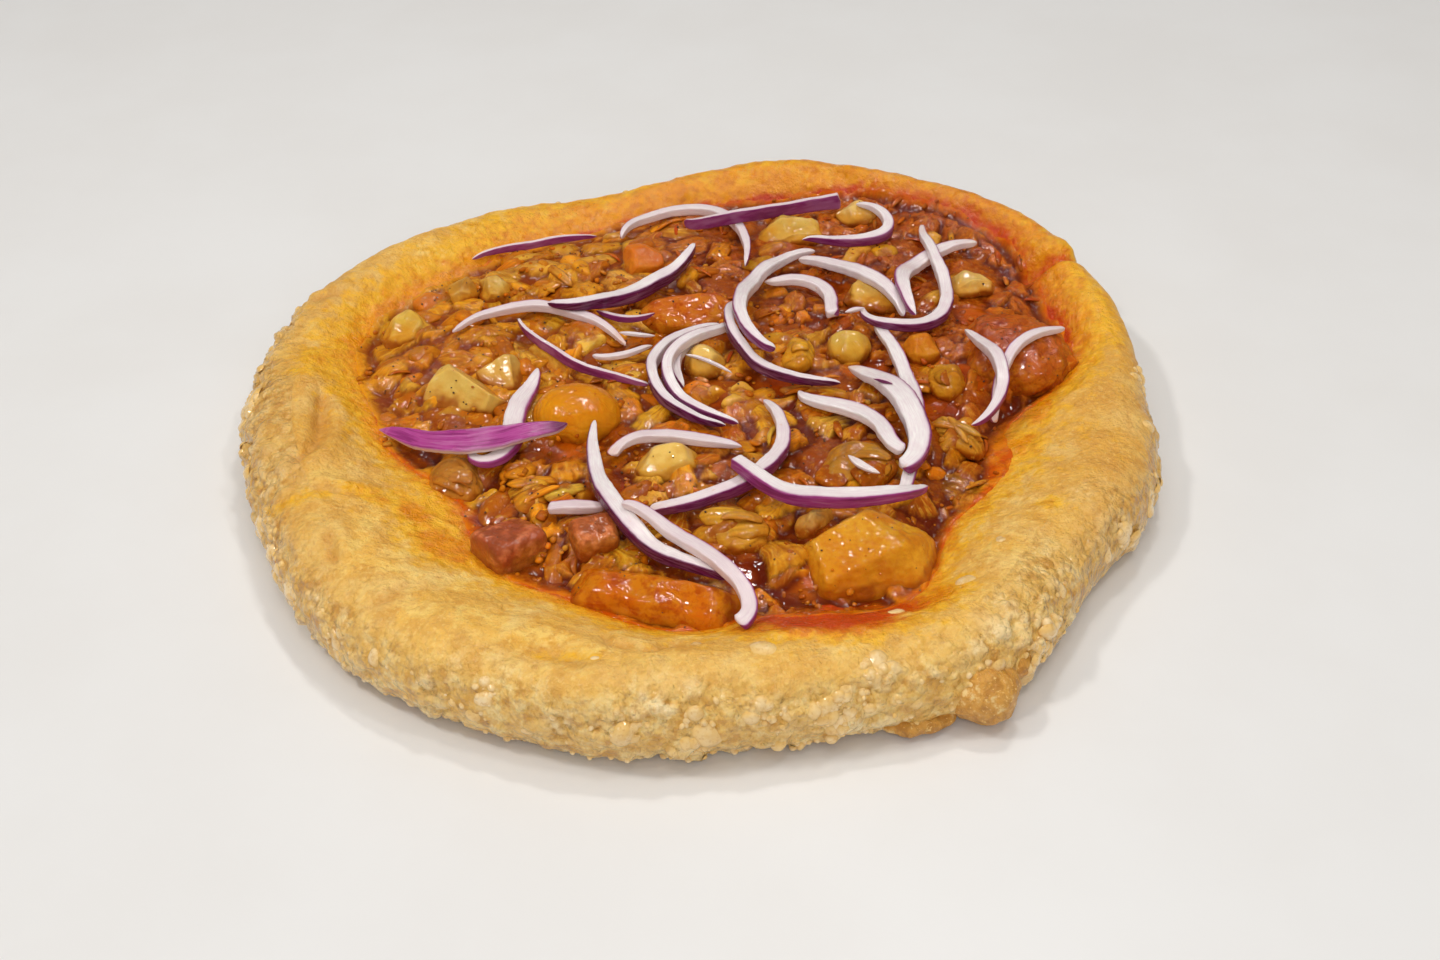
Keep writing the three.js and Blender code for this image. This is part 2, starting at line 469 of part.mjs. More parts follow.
place('dough', largestBody(toGeometry(doughSolid)), 0xdba25a, 0.55);
place('stew', largestBody(toGeometry(stewSolid)), 0xa8521a, 0.2);
chunkSolids.forEach(({ name, cut }, k) => place(name, largestBody(toGeometry(cut)), CHUNKS[k][9], CHUNKS[k][10]));
for (const strip of STRIPS) place(strip[0], stripGeometry(strip), 0xd9c0d0, 0.35);

// Put the origin under the middle of the bounding box.
const box = new THREE.Box3().setFromObject(group), middle = box.getCenter(new THREE.Vector3());
group.position.set(-middle.x, -middle.y, -box.min.z);

export default group;
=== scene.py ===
import math
import bpy
import numpy as np
from mathutils import Matrix, Vector
from mathutils.bvhtree import BVHTree


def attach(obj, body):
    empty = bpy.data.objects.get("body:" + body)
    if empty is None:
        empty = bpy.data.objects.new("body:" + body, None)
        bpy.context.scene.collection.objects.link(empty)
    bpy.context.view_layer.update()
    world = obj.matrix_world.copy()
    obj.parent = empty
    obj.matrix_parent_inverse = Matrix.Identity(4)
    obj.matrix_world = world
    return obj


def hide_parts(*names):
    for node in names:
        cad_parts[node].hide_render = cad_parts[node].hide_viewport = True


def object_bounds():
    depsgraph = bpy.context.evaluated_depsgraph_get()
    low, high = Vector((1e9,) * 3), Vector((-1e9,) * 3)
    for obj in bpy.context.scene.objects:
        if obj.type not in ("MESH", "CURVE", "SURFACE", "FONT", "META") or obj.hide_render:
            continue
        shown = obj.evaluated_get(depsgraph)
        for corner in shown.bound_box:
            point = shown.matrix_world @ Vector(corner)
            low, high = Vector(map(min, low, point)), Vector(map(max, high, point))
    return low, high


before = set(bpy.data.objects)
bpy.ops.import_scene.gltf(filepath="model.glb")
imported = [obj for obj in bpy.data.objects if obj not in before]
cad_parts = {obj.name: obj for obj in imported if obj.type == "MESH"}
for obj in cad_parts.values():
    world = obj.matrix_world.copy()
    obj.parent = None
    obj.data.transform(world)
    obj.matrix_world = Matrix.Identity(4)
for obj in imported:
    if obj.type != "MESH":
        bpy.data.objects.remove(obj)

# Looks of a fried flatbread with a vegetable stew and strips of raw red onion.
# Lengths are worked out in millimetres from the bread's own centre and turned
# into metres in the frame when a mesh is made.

CAD_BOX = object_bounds()
SHIFT = np.array([0.9074, 0.8285, 0.0])     # the bread's centre to the middle of its box, mm
rad = np.radians


# ------------------------------------------------------------------ noise ----

_G3 = np.array([[1, 1, 0], [-1, 1, 0], [1, -1, 0], [-1, -1, 0], [1, 0, 1], [-1, 0, 1],
                [1, 0, -1], [-1, 0, -1], [0, 1, 1], [0, -1, 1], [0, 1, -1], [0, -1, -1]], float)


def _hash(ix, iy, iz, seed):
    with np.errstate(over="ignore"):
        n = (ix.astype(np.uint32) * np.uint32(374761393) + iy.astype(np.uint32) * np.uint32(668265263)
             + iz.astype(np.uint32) * np.uint32(2246822519) + np.uint32((seed * 3266489917) & 0xffffffff))
        n = (n ^ (n >> np.uint32(13))) * np.uint32(1274126177)
        n = (n ^ (n >> np.uint32(15))) * np.uint32(2654435761)
        return n ^ (n >> np.uint32(16))


def noise(p, scale, seed=0):
    """Smooth noise, about -1 to 1, with features `scale` mm across."""
    p = np.asarray(p, float) / scale + 57.31
    i = np.floor(p).astype(np.int64)
    f = p - i
    u = f * f * f * (f * (f * 6 - 15) + 10)
    out = np.zeros(len(p))
    for dx in (0, 1):
        for dy in (0, 1):
            for dz in (0, 1):
                g = _G3[_hash(i[:, 0] + dx, i[:, 1] + dy, i[:, 2] + dz, seed) % np.uint32(12)]
                d = ((f - (dx, dy, dz)) * g).sum(1)
                w = ((u[:, 0] if dx else 1 - u[:, 0]) * (u[:, 1] if dy else 1 - u[:, 1])
                     * (u[:, 2] if dz else 1 - u[:, 2]))
                out += w * d
    return out * 1.35


def fbm(p, scale, octaves=3, seed=0, gain=0.5):
    out, amp, total = 0, 1.0, 0.0
    for k in range(octaves):
        out = out + amp * noise(p, scale / 2 ** k, seed + 17 * k)
        total += amp
        amp *= gain
    return out / total


def cells(p, scale, seed=0):
    """Nearest and second nearest distance (in cells) to scattered points, and a random number per cell."""
    p = np.asarray(p, float) / scale + 31.7
    i = np.floor(p).astype(np.int64)
    f1 = np.full(len(p), 9.0)
    f2 = np.full(len(p), 9.0)
    ident = np.zeros(len(p))
    for dx in (-1, 0, 1):
        for dy in (-1, 0, 1):
            for dz in (-1, 0, 1):
                c = i + (dx, dy, dz)
                h = _hash(c[:, 0], c[:, 1], c[:, 2], seed)
                q = c + np.stack([(h & np.uint32(1023)) / 1023.0, ((h >> np.uint32(10)) & np.uint32(1023)) / 1023.0,
                                  ((h >> np.uint32(20)) & np.uint32(1023)) / 1023.0], 1)
                d = np.sqrt(((p - q) ** 2).sum(1))
                near = d < f1
                f2 = np.where(near, f1, np.minimum(f2, d))
                ident = np.where(near, (h % np.uint32(997)) / 997.0, ident)
                f1 = np.where(near, d, f1)
    return f1, f2, ident


def smooth(a, b, x):
    t = np.clip((x - a) / (b - a), 0, 1)
    return t * t * (3 - 2 * t)


def wrapdeg(d):
    return (d + 180) % 360 - 180


# -------------------------------------------- the bread's own dimensions ----

EDGE_RADIUS = 114.81
EDGE_WAVES = [(0.31, -0.86), (0.14, 1.19), (-0.96, 1.83), (-0.84, -1.02), (0.56, 0.78), (0.25, 0.22),
              (-0.55, -0.50), (-0.09, -1.03), (-0.15, -0.44), (-0.32, 0.51), (-0.17, 0.24), (-0.06, 0.19)]
RIM_WIDTH = 27.71
RIM_WAVES = [(-4.00, -12.51), (3.36, -0.65), (2.26, -5.07), (-0.51, -1.05), (0.60, -1.63), (-0.58, -0.52),
             (-1.20, -0.58), (-0.20, -1.24), (-0.20, -0.20), (0.32, -0.91), (-1.01, -0.53), (-0.42, -0.19)]
CREST_HEIGHT = 18.3
CREST_SWELLS = [(6.7, 48, 34), (-3.2, 110, 17), (1.6, 272, 46)]
WIDEST_HEIGHT, FLOOR_HEIGHT = 7.5, 8.5
STEW_LEVEL, STEW_TILT, STEW_TILT_BEARING, STEW_SHORE, STEW_EDGE = 16.6, 0.028, 50, 20, 0.9


def waves(mean, table, th):
    v = np.full(np.shape(th), float(mean))
    for k, (c, s) in enumerate(table, 1):
        v = v + c * np.cos(k * th) + s * np.sin(k * th)
    return v


def edge(th):
    return waves(EDGE_RADIUS, EDGE_WAVES, th)


def rim(th):
    return np.maximum(9.5, waves(RIM_WIDTH, RIM_WAVES, th))


def shore(th):
    return edge(th) - rim(th)


def crest_inset(th):
    return np.clip(0.42 * rim(th), 6.5, 13.5)


def crest(th):
    h = np.full(np.shape(th), CREST_HEIGHT)
    for amount, bearing, spread in CREST_SWELLS:
        h = h + amount * np.exp(-(wrapdeg(np.degrees(th) - bearing) / spread) ** 2)
    return h


def dough_top(th, inset):
    top, dc, foot = crest(th), crest_inset(th), rim(th) + 9
    inner = FLOOR_HEIGHT + (top - FLOOR_HEIGHT) * (1 - smooth(0, 1, (inset - dc) / (foot - dc)))
    u = np.clip(1 - inset / dc, 0, 1)
    outer = WIDEST_HEIGHT + (top - WIDEST_HEIGHT) * np.clip(1 - u ** 2.4, 0, 1) ** (1 / 2.4)
    return np.where(inset > dc, inner, outer)


def stew_top(x, y):
    th, r = np.arctan2(y, x), np.hypot(x, y)
    start = dough_top(th, rim(th)) + STEW_EDGE
    b = rad(STEW_TILT_BEARING)
    level = STEW_LEVEL + STEW_TILT * (x * np.cos(b) + y * np.sin(b))
    inside = shore(th) - r
    lump = 0.55 * np.sin(x / 5.1 + 0.7) * np.sin(y / 4.3 + 1.9) + 0.4 * np.sin(x / 2.9 + y / 3.7)
    return start + (level - start) * smooth(0, 1, inside / STEW_SHORE) + lump * np.clip(inside / 6, 0, 1)


# ----------------------------------------------------------- mesh making ----

LIMIT = [(np.array(v) * 1000 - SHIFT) for v in CAD_BOX]


def make(name, verts, faces, attrs=None, smooth_shade=True, material=None, slot=None, replaces=(), body="root"):
    me = bpy.data.meshes.new(name)
    verts = np.clip(np.asarray(verts, float), LIMIT[0] + (0.03, 0.03, 0), LIMIT[1] - 0.03)
    co = (verts + SHIFT) / 1000.0
    me.from_pydata(co.tolist(), [], faces if isinstance(faces, list) else faces.tolist())
    for key, val in (attrs or {}).items():
        val = np.asarray(val, float)
        if val.ndim == 1:
            me.attributes.new(key, "FLOAT", "POINT").data.foreach_set("value", val.astype(np.float32))
        else:
            me.attributes.new(key, "FLOAT_COLOR", "POINT").data.foreach_set(
                "color", np.c_[val, np.ones(len(val))].astype(np.float32).ravel())
    if smooth_shade:
        me.polygons.foreach_set("use_smooth", np.ones(len(me.polygons), bool))
    me.update()
    ob = bpy.data.objects.new(name, me)
    bpy.context.scene.collection.objects.link(ob)
    if material:
        me.materials.append(material)
    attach(ob, body)
    if replaces:
        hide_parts(*replaces)
    return ob


def grid_faces(rows, cols, wrap=False, base=0):
    """Quads between neighbouring rows of a grid of rows x cols points."""
    i, j = np.meshgrid(np.arange(rows - 1), np.arange(cols if wrap else cols - 1), indexing="ij")
    jn = (j + 1) % cols
    return (np.stack([i * cols + j, i * cols + jn, (i + 1) * cols + jn, (i + 1) * cols + j], -1).reshape(-1, 4)
            + base)


def bvh_of(*obs):
    verts, faces = [], []
    for o in obs:
        n = len(verts)
        verts += [v.co[:] for v in o.data.vertices]
        faces += [[n + k for k in p.vertices] for p in o.data.polygons]
    return BVHTree.FromPolygons(verts, faces)


def drop(tree, x, y, default=np.nan, top=0.2):
    """Heights in mm of the surface under points x, y in mm."""
    out = np.full(len(x), default, float)
    down = Vector((0, 0, -1))
    for k in range(len(x)):
        hit = tree.ray_cast(Vector(((x[k] + SHIFT[0]) / 1000, (y[k] + SHIFT[1]) / 1000, top)), down)
        if hit[0] is not None:
            out[k] = hit[0].z * 1000
    return out


# -------------------------------------------------------------- materials ----

class Mat:
    """A short way to write a node material."""

    def __init__(self, name, roughness=0.5, **sockets):
        self.m = bpy.data.materials.new(name)
        self.m.use_nodes = True
        self.t = self.m.node_tree
        self.t.nodes.clear()
        self.out = self.t.nodes.new("ShaderNodeOutputMaterial")
        self.b = self.t.nodes.new("ShaderNodeBsdfPrincipled")
        self.t.links.new(self.b.outputs[0], self.out.inputs[0])
        self.b.inputs["Roughness"].default_value = roughness
        for k, v in sockets.items():
            self.b.inputs[k.replace("_", " ")].default_value = v
        self.coord = None

    def link(self, a, b):
        self.t.links.new(a, b)

    def put(self, socket, value):
        if isinstance(value, bpy.types.NodeSocket):
            self.link(value, socket)
        elif isinstance(value, (tuple, list)) and len(value) == 3 and socket.type == "RGBA":
            socket.default_value = (*value, 1)
        else:
            socket.default_value = value

    def position(self):
        if self.coord is None:
            self.coord = self.t.nodes.new("ShaderNodeTexCoord").outputs["Object"]
        return self.coord

    def attr(self, name, kind="Fac"):
        n = self.t.nodes.new("ShaderNodeAttribute")
        n.attribute_name = name
        return n.outputs[kind]

    def noise(self, mm, detail=3, rough=0.55, distort=0.0, stretch=None):
        n = self.t.nodes.new("ShaderNodeTexNoise")
        n.inputs["Scale"].default_value = 1000.0 / mm
        n.inputs["Detail"].default_value = detail
        n.inputs["Roughness"].default_value = rough
        n.inputs["Distortion"].default_value = distort
        v = self.position()
        if stretch:
            mp = self.t.nodes.new("ShaderNodeMapping")
            mp.inputs["Scale"].default_value = stretch
            self.link(v, mp.inputs["Vector"])
            v = mp.outputs[0]
        self.link(v, n.inputs["Vector"])
        return n.outputs["Fac"]

    def voronoi(self, mm, feature="F1", out="Distance"):
        n = self.t.nodes.new("ShaderNodeTexVoronoi")
        n.feature = feature
        n.inputs["Scale"].default_value = 1000.0 / mm
        self.link(self.position(), n.inputs["Vector"])
        return n.outputs[out]

    def ramp(self, fac, *stops, interp="EASE"):
        n = self.t.nodes.new("ShaderNodeValToRGB")
        n.color_ramp.interpolation = interp
        while len(n.color_ramp.elements) < len(stops):
            n.color_ramp.elements.new(0.5)
        for e, (pos, col) in zip(n.color_ramp.elements, stops):
            e.position = pos
            e.color = (*col, 1) if isinstance(col, (tuple, list)) else (col, col, col, 1)
        self.link(fac, n.inputs[0])
        return n.outputs[0]

    def mix(self, fac, a, b, mode="MIX"):
        n = self.t.nodes.new("ShaderNodeMix")
        n.data_type = "RGBA"
        n.blend_type = mode
        self.put(n.inputs[0], fac)
        self.put(n.inputs[6], a)
        self.put(n.inputs[7], b)
        return n.outputs[2]

    def math(self, op, a, b=0.0, c=None, clamp=False):
        n = self.t.nodes.new("ShaderNodeMath")
        n.operation = op
        n.use_clamp = clamp
        self.put(n.inputs[0], a)
        self.put(n.inputs[1], b)
        if c is not None:
            self.put(n.inputs[2], c)
        return n.outputs[0]

    def remap(self, v, a, b, c=0.0, d=1.0, smoothstep=False):
        n = self.t.nodes.new("ShaderNodeMapRange")
        if smoothstep:
            n.interpolation_type = "SMOOTHSTEP"
        self.link(v, n.inputs[0])
        for k, val in zip(("From Min", "From Max", "To Min", "To Max"), (a, b, c, d)):
            n.inputs[k].default_value = val
        return n.outputs[0]

    def bump(self, height, mm, strength=1.0, after=None):
        n = self.t.nodes.new("ShaderNodeBump")
        n.inputs["Strength"].default_value = strength
        n.inputs["Distance"].default_value = mm / 1000.0
        self.link(height, n.inputs["Height"])
        if after is not None:
            self.link(after, n.inputs["Normal"])
        return n.outputs[0]

    def finish(self, color=None, roughness=None, normal=None, coat=True):
        if color is not None:
            self.put(self.b.inputs["Base Color"], color)
        if roughness is not None:
            self.put(self.b.inputs["Roughness"], roughness)
        if normal is not None:
            self.link(normal, self.b.inputs["Normal"])
            if coat:
                self.link(normal, self.b.inputs["Coat Normal"])
        return self.m


# ------------------------------------------------------------------ dough ----

# Soft bumps (+) and dents (-) of the ring: x, y, height, half length, half
# width, bearing of the long axis.
SWELLS = [
    (-20, -106, 1.3, 11, 6, 5), (-2, -104, 1.0, 9, 5, 0), (-30, -98, -1.5, 13, 4.5, -14),
    (22, -104, 0.7, 12, 6, 8), (-52, -92, 0.8, 14, 7, -30), (-83, -58, 1.0, 10, 6, -55),
    (-92, -30, 0.9, 14, 7, -80), (-101, 2, 0.7, 8, 6, 80), (-100, 22, -0.8, 7, 5, 60),
    (66, -84, 0.9, 14, 7, 38), (92, -52, 0.9, 15, 8, 62), (104, -14, 0.7, 14, 7, 84),
    (98, 30, 0.8, 9, 6, 70), (-86, 66, 0.8, 13, 5, 48), (-50, 92, 0.6, 14, 4, 20),
    (40, -100, -0.7, 9, 4, 22), (80, -70, -0.6, 7, 4, 40), (100, 8, -0.6, 6, 4, 85),
]
# Creases and folds: start, end, how far they sag sideways, depth, width, and
# how high the lip beside them stands (on the left of the direction of travel).
CREASES = [
    ((-94.5, 3.5), (-96.5, -36), 4.0, 2.2, 1.9, 1.3),
    ((-84.5, -59), (-79, -69), 1.2, 1.2, 1.3, 0.8),
    ((-90, -43.5), (-73, -41), 1.0, 0.9, 1.3, 0.8),
    ((-20, -90), (-13, -99), -1.5, 1.0, 1.4, 0.5),
    ((-13, -99), (-3, -94), -1.0, 1.0, 1.4, 0.5),
    ((74, 50), (110, 49), 0.8, 2.6, 2.2, 0.9),
    ((-36, -95), (-20, -103), -1.2, 0.7, 2.2, 0.4),
    ((12, -96), (26, -99), 0.8, 0.5, 1.6, 0.3),
    ((-70, -84), (-60, -76), 1.0, 0.5, 1.5, 0.3),
    ((48, 96), (30, 104), 0.8, 0.6, 1.6, 0.3),
    ((-104, 40), (-92, 46), 0.8, 0.8, 1.5, 0.4),
]
# Lumps where dough burst through and fried outside the ring.
FRIED_LUMPS = [
    ((59.0, -98.9, 6.8), (8.0, 7.6, 6.5), -30),
    ((45.5, -102.9, 2.6), (8.0, 4.2, 2.2), 12),
    ((52.6, -97.5, 7.4), (4.6, 5.0, 4.0), 10),
    ((64.6, -91.6, 8.6), (5.0, 5.6, 4.4), 40),
]


def swell_field(x, y):
    z = np.zeros(len(x))
    for cx, cy, h, a, b, yaw in SWELLS:
        c, s = math.cos(rad(yaw)), math.sin(rad(yaw))
        u, v = (x - cx) * c + (y - cy) * s, -(x - cx) * s + (y - cy) * c
        z += h * np.exp(-(u / a) ** 2 - (v / b) ** 2)
    return z


def crease_field(x, y):
    """Depth of the creases and a mask for their darker colour."""
    z, mask = np.zeros(len(x)), np.zeros(len(x))
    for (x0, y0), (x1, y1), sag, depth, width, lip in CREASES:
        L = math.hypot(x1 - x0, y1 - y0)
        tx, ty = (x1 - x0) / L, (y1 - y0) / L
        u = ((x - x0) * tx + (y - y0) * ty) / L
        v = -(x - x0) * ty + (y - y0) * tx
        v = v - sag * 4 * np.clip(u, 0, 1) * (1 - np.clip(u, 0, 1)) + 0.8 * np.sin(7 * u + x0)
        along = smooth(0, 0.22, u) * smooth(1.0, 0.75, u)
        cut = np.exp(-(v / width) ** 2)
        z += along * (-depth * cut + lip * np.exp(-((v - 2.2 * width) / (1.7 * width)) ** 2))
        mask = np.maximum(mask, along * cut)
    return z, mask


def near_patch(th_deg, centre, spread):
    return np.exp(-(wrapdeg(th_deg - centre) / spread) ** 2)


def build_dough():
    NT = 820
    t = np.linspace(0, 1, 34)
    side_u, side_v = np.cos(t * np.pi / 2) ** (2 / 2.4), np.sin(t * np.pi / 2) ** (2 / 2.4)
    curl_t = np.linspace(0, 1, 13)[:-1]
    th = np.linspace(0, 2 * np.pi, NT, endpoint=False)
    R, W, DC, H = edge(th), rim(th), crest_inset(th), crest(th)
    rows, kind = [], []
    for f in (0.0, 0.25, 0.5, 0.75, 0.92):
        rows.append(((R - 7) * (1 - f), np.zeros(NT)))
        kind.append(-1)
    rows = rows[::-1]
    # the side curls in to the flat underside
    for s in curl_t:
        a = s * np.pi / 2
        rows.append((R - 7 * (1 - np.sin(a) ** 0.9), np.full(NT, WIDEST_HEIGHT * (1 - np.cos(a)) ** 0.85)))
        kind.append(0)
    for u, v in zip(side_u, side_v):
        rows.append((R - DC * (1 - u), WIDEST_HEIGHT + (H - WIDEST_HEIGHT) * v))
        kind.append(1)
    for s in np.linspace(0, 1, 52)[1:]:
        inset = DC + (W + 9 - DC) * s
        rows.append((R - inset, dough_top(th, inset)))
        kind.append(2)
    for f in (0.85, 0.6, 0.3):
        rows.append(((R - W - 9) * f, np.full(NT, FLOOR_HEIGHT)))
        kind.append(3)
    r = np.array([a for a, _ in rows])
    z = np.array([b for _, b in rows])
    n_rows = len(rows)
    x, y = r * np.cos(th), r * np.sin(th)
    P = np.stack([x, y, z], -1)
    # normals from the neighbours of the smooth form
    d_row = np.gradient(P, axis=0)
    d_th = (np.roll(P, -1, 1) - np.roll(P, 1, 1)) / 2
    N = np.cross(d_th, d_row)
    N /= np.linalg.norm(N, axis=-1, keepdims=True) + 1e-9
    flat, nrm = P.reshape(-1, 3).copy(), N.reshape(-1, 3)
    deg = np.degrees(np.tile(th, n_rows))
    inset = (np.tile(R, (n_rows, 1)) - r).ravel()
    zz = z.ravel()
    tops = np.tile(H, n_rows)
    row_kind = np.repeat([-1] * 5 + kind[5:], NT)
    # how much each point belongs to the outer side, the top and the base
    rim_h = smooth(0.0, 1.2, zz)
    front = np.clip(near_patch(deg, -118, 72) + near_patch(deg, 180, 55) + 0.80 * near_patch(deg, -44, 24), 0, 1)
    climb = (0.10 * front + 0.14 * fbm(flat, 15, 2, 20) + 0.12 * near_patch(deg, -46, 20) + 0.10 * near_patch(deg, -176, 18)
             + 0.06 * near_patch(deg, -150, 14))
    side = smooth(0.98, 0.60, (zz - 2) / (tops - 2) - climb) * (inset < np.tile(DC, n_rows) * 1.05)
    side = np.where(row_kind == 2, smooth(1.4, 1.0, inset / np.tile(DC, n_rows)) * side, side)
    side = np.where(row_kind > 2, 0, side)
    browner = 0.40 + 0.60 * front
    disp = (0.60 * fbm(flat, 26, 2, 3) + 0.36 * fbm(flat, 9, 2, 5) + 0.17 * noise(flat, 3.6, 8)
            + 0.22 * (1 - np.abs(noise(flat * (1, 1, 0.6), 7.5, 9))) ** 3 + 0.08 * noise(flat, 1.8, 10))
    dz = swell_field(flat[:, 0], flat[:, 1])
    cz, crease_mask = crease_field(flat[:, 0], flat[:, 1])
    disp += (dz + cz) * smooth(0.1, 0.7, nrm[:, 2])
    # blistered side: two sizes of fried bubbles raised out of the skin
    a1, a2, aid = cells(flat * (1, 1, 1.1) + 0.8 * np.c_[noise(flat, 4, 51), noise(flat, 4, 52), noise(flat, 4, 53)], 5.0, 11)
    b1, b2, bid = cells(flat * (1, 1, 1.1), 2.5, 12)
    big = np.clip(1 - (a1 / 0.60) ** 2, 0, 1) ** 0.6 * (aid > 0.40)
    small = np.clip(1 - (b1 / 0.62) ** 2, 0, 1) ** 0.7 * (bid > 0.30)
    patchy = smooth(-0.22, 0.30, fbm(flat, 14, 2, 21))
    blister = side * (0.30 + 0.70 * patchy) * browner
    disp += blister * (1.50 * big + 0.80 * small - 0.60)
    # small pimples on the top too
    c1, c2, cid = cells(flat, 5.5, 14)
    pimple = np.clip(1 - (c1 / 0.4) ** 2, 0, 1) * (cid > 0.72) * (row_kind >= 1)
    disp += 0.28 * pimple * (1 - side)
    disp *= rim_h * np.where(row_kind < 0, 0, 1)
    disp -= 1.0 * side                       # leaves room for the bubbles that stand on the side
    flat += nrm * disp[:, None]
    flat[:, 2] = np.maximum(flat[:, 2], np.where(row_kind < 0, 0, 0.02))
    # masks for the colour
    sx, sy = flat[:, 0], flat[:, 1]
    beyond = np.hypot(sx, sy) - shore(np.arctan2(sy, sx))
    reach = (4.6 + 26 * near_patch(deg, 72, 36) + 9 * near_patch(deg, 28, 22) + 5 * near_patch(deg, 172, 13)
             + 5.5 * near_patch(deg, -17, 14) + 4.0 * near_patch(deg, -146, 13) + 7.5 * near_patch(deg, -73.5, 7)
             + 8 * near_patch(deg, 112, 16) + 3.0 * near_patch(deg, 140, 12))
    wob = fbm(np.c_[sx, sy, 0 * sx], 9, 3, 31)
    oil = np.exp(-np.maximum(beyond + 2.2 * wob, 0) / reach) * (0.9 + 0.25 * wob)
    oil *= smooth(-0.6, 0.5, nrm[:, 2])
    # separate stained patches
    for cx, cy, a, b, yaw, amt in [(-95, 14, 8, 9, 30, 0.55), (-100, 8, 6, 5, 0, 0.35), (-92, -45, 12, 3, 6, 0.35),
                                   (-72, -42, 10, 4, -10, 0.6), (76, -22, 9, 7, -60, 0.75), (96, 8, 6, 8, 0, 0.55),
                                   (92, 34, 7, 10, 20, 0.7), (-30, -99, 12, 3, -14, 0.25), (-46, 88, 18, 5, 20, 0.55),
                                   (-70, 64, 9, 5, 50, 0.3), (26, -91, 20, 6, 0, 1.0), (50, -80, 8, 6, 40, 0.9), (10, -89, 8, 4, 0, 0.8), (80, -52, 6, 5, 40, 0.3), (-58, -56, 8, 12, 45, 0.85), (-66, -44, 6, 9, 30, 0.8),
                                   (2, -88, 14, 3, 4, 0.6), (-84, 26, 6, 8, 10, 0.5), (62, -46, 9, 7, 45, 0.55), (82, -8, 7, 10, 0, 0.8)]:
        c, s = math.cos(rad(yaw)), math.sin(rad(yaw))
        u, v = (sx - cx) * c + (sy - cy) * s, -(sx - cx) * s + (sy - cy) * c
        w2 = 0.35 * fbm(np.c_[sx, sy, 0 * sx], 6, 2, 37)
        oil = np.maximum(oil, amt * np.exp(-((u / a) ** 2 + (v / b) ** 2) * (1 + w2)) * smooth(-0.6, 0.5, nrm[:, 2]))
    red = np.clip(np.exp(-np.maximum(beyond + 1.2 * wob, 0) / (0.9 + 2.0 * near_patch(deg, 30, 30) + 3.6 * near_patch(deg, -72, 7)
                                                              + 1.0 * near_patch(deg, -145, 12))), 0, 1)
    red *= 1 - 0.75 * near_patch(deg, 150, 34)
    red = np.maximum(red, 0.8 * crease_mask * near_patch(deg, 28, 9))
    for cx, cy, a, b, amt in [(27, -85.4, 13, 7.4, 2.2), (38, -81.3, 10.5, 5.8, 1.5), (16, -83.2, 7, 4.4, 1.1)]:
        red = np.maximum(red, amt * np.exp(-((sx - cx) / a) ** 2 - ((sy - cy) / b) ** 2) * (1 + 0.4 * wob))
    attrs = {
        "side": side, "raised": side * patchy * np.clip(0.75 * big + 0.6 * small, 0, 1) * (0.3 + 0.7 * browner),
        "cellpale": np.where(big > 0.05, (aid - 0.4) / 0.6, bid * 0.8),
        "oil": np.clip(oil, 0, 1), "red": red, "painted_crease_shade": crease_mask,
        "pale": np.clip(0.5 + 0.5 * dz + 0.6 * pimple, 0, 1), "brown": browner,
        "lump": 0 * zz, "flank": smooth(62, 98, np.abs(sx)) * smooth(-0.2, 0.5, nrm[:, 2]),
    }
    faces = grid_faces(n_rows, NT, wrap=True).tolist()
    # normals of the finished surface, for what grows on it
    Q = flat.reshape(n_rows, NT, 3)
    M = np.cross((np.roll(Q, -1, 1) - np.roll(Q, 1, 1)) / 2, np.gradient(Q, axis=0)).reshape(-1, 3)
    M /= np.linalg.norm(M, axis=1, keepdims=True) + 1e-9
    k = len(flat)
    # close the two ends
    flat = np.vstack([flat, [[0, 0, 0], [0, 0, FLOOR_HEIGHT]]])
    for key in attrs:
        attrs[key] = np.append(attrs[key], [0, 0])
    last = (n_rows - 1) * NT
    faces += [[k, (j + 1) % NT, j] for j in range(NT)]
    faces += [[k + 1, last + j, last + (j + 1) % NT] for j in range(NT)]
    return flat, faces, attrs, M, row_kind


def build_lumps():
    heap = Heap()
    for k, ((x, y, z), half, yaw) in enumerate(FRIED_LUMPS):
        v, f = lump(4, half, 2.15, rough=1.1, rough_mm=7, seed=k + 60)
        v = v + v / np.linalg.norm(v, axis=1, keepdims=True) * (0.38 * fbm(v + 9, 2.4, 2, 61) + 0.12 * noise(v, 1.1, 62))[:, None]
        v = turn(v, yaw) + (x, y, z)
        v[:, 2] = np.maximum(v[:, 2], 0.02)
        heap.add(v, f, (1, 1, 1), lump=1.0, side=0.15, brown=0.4)
    return heap


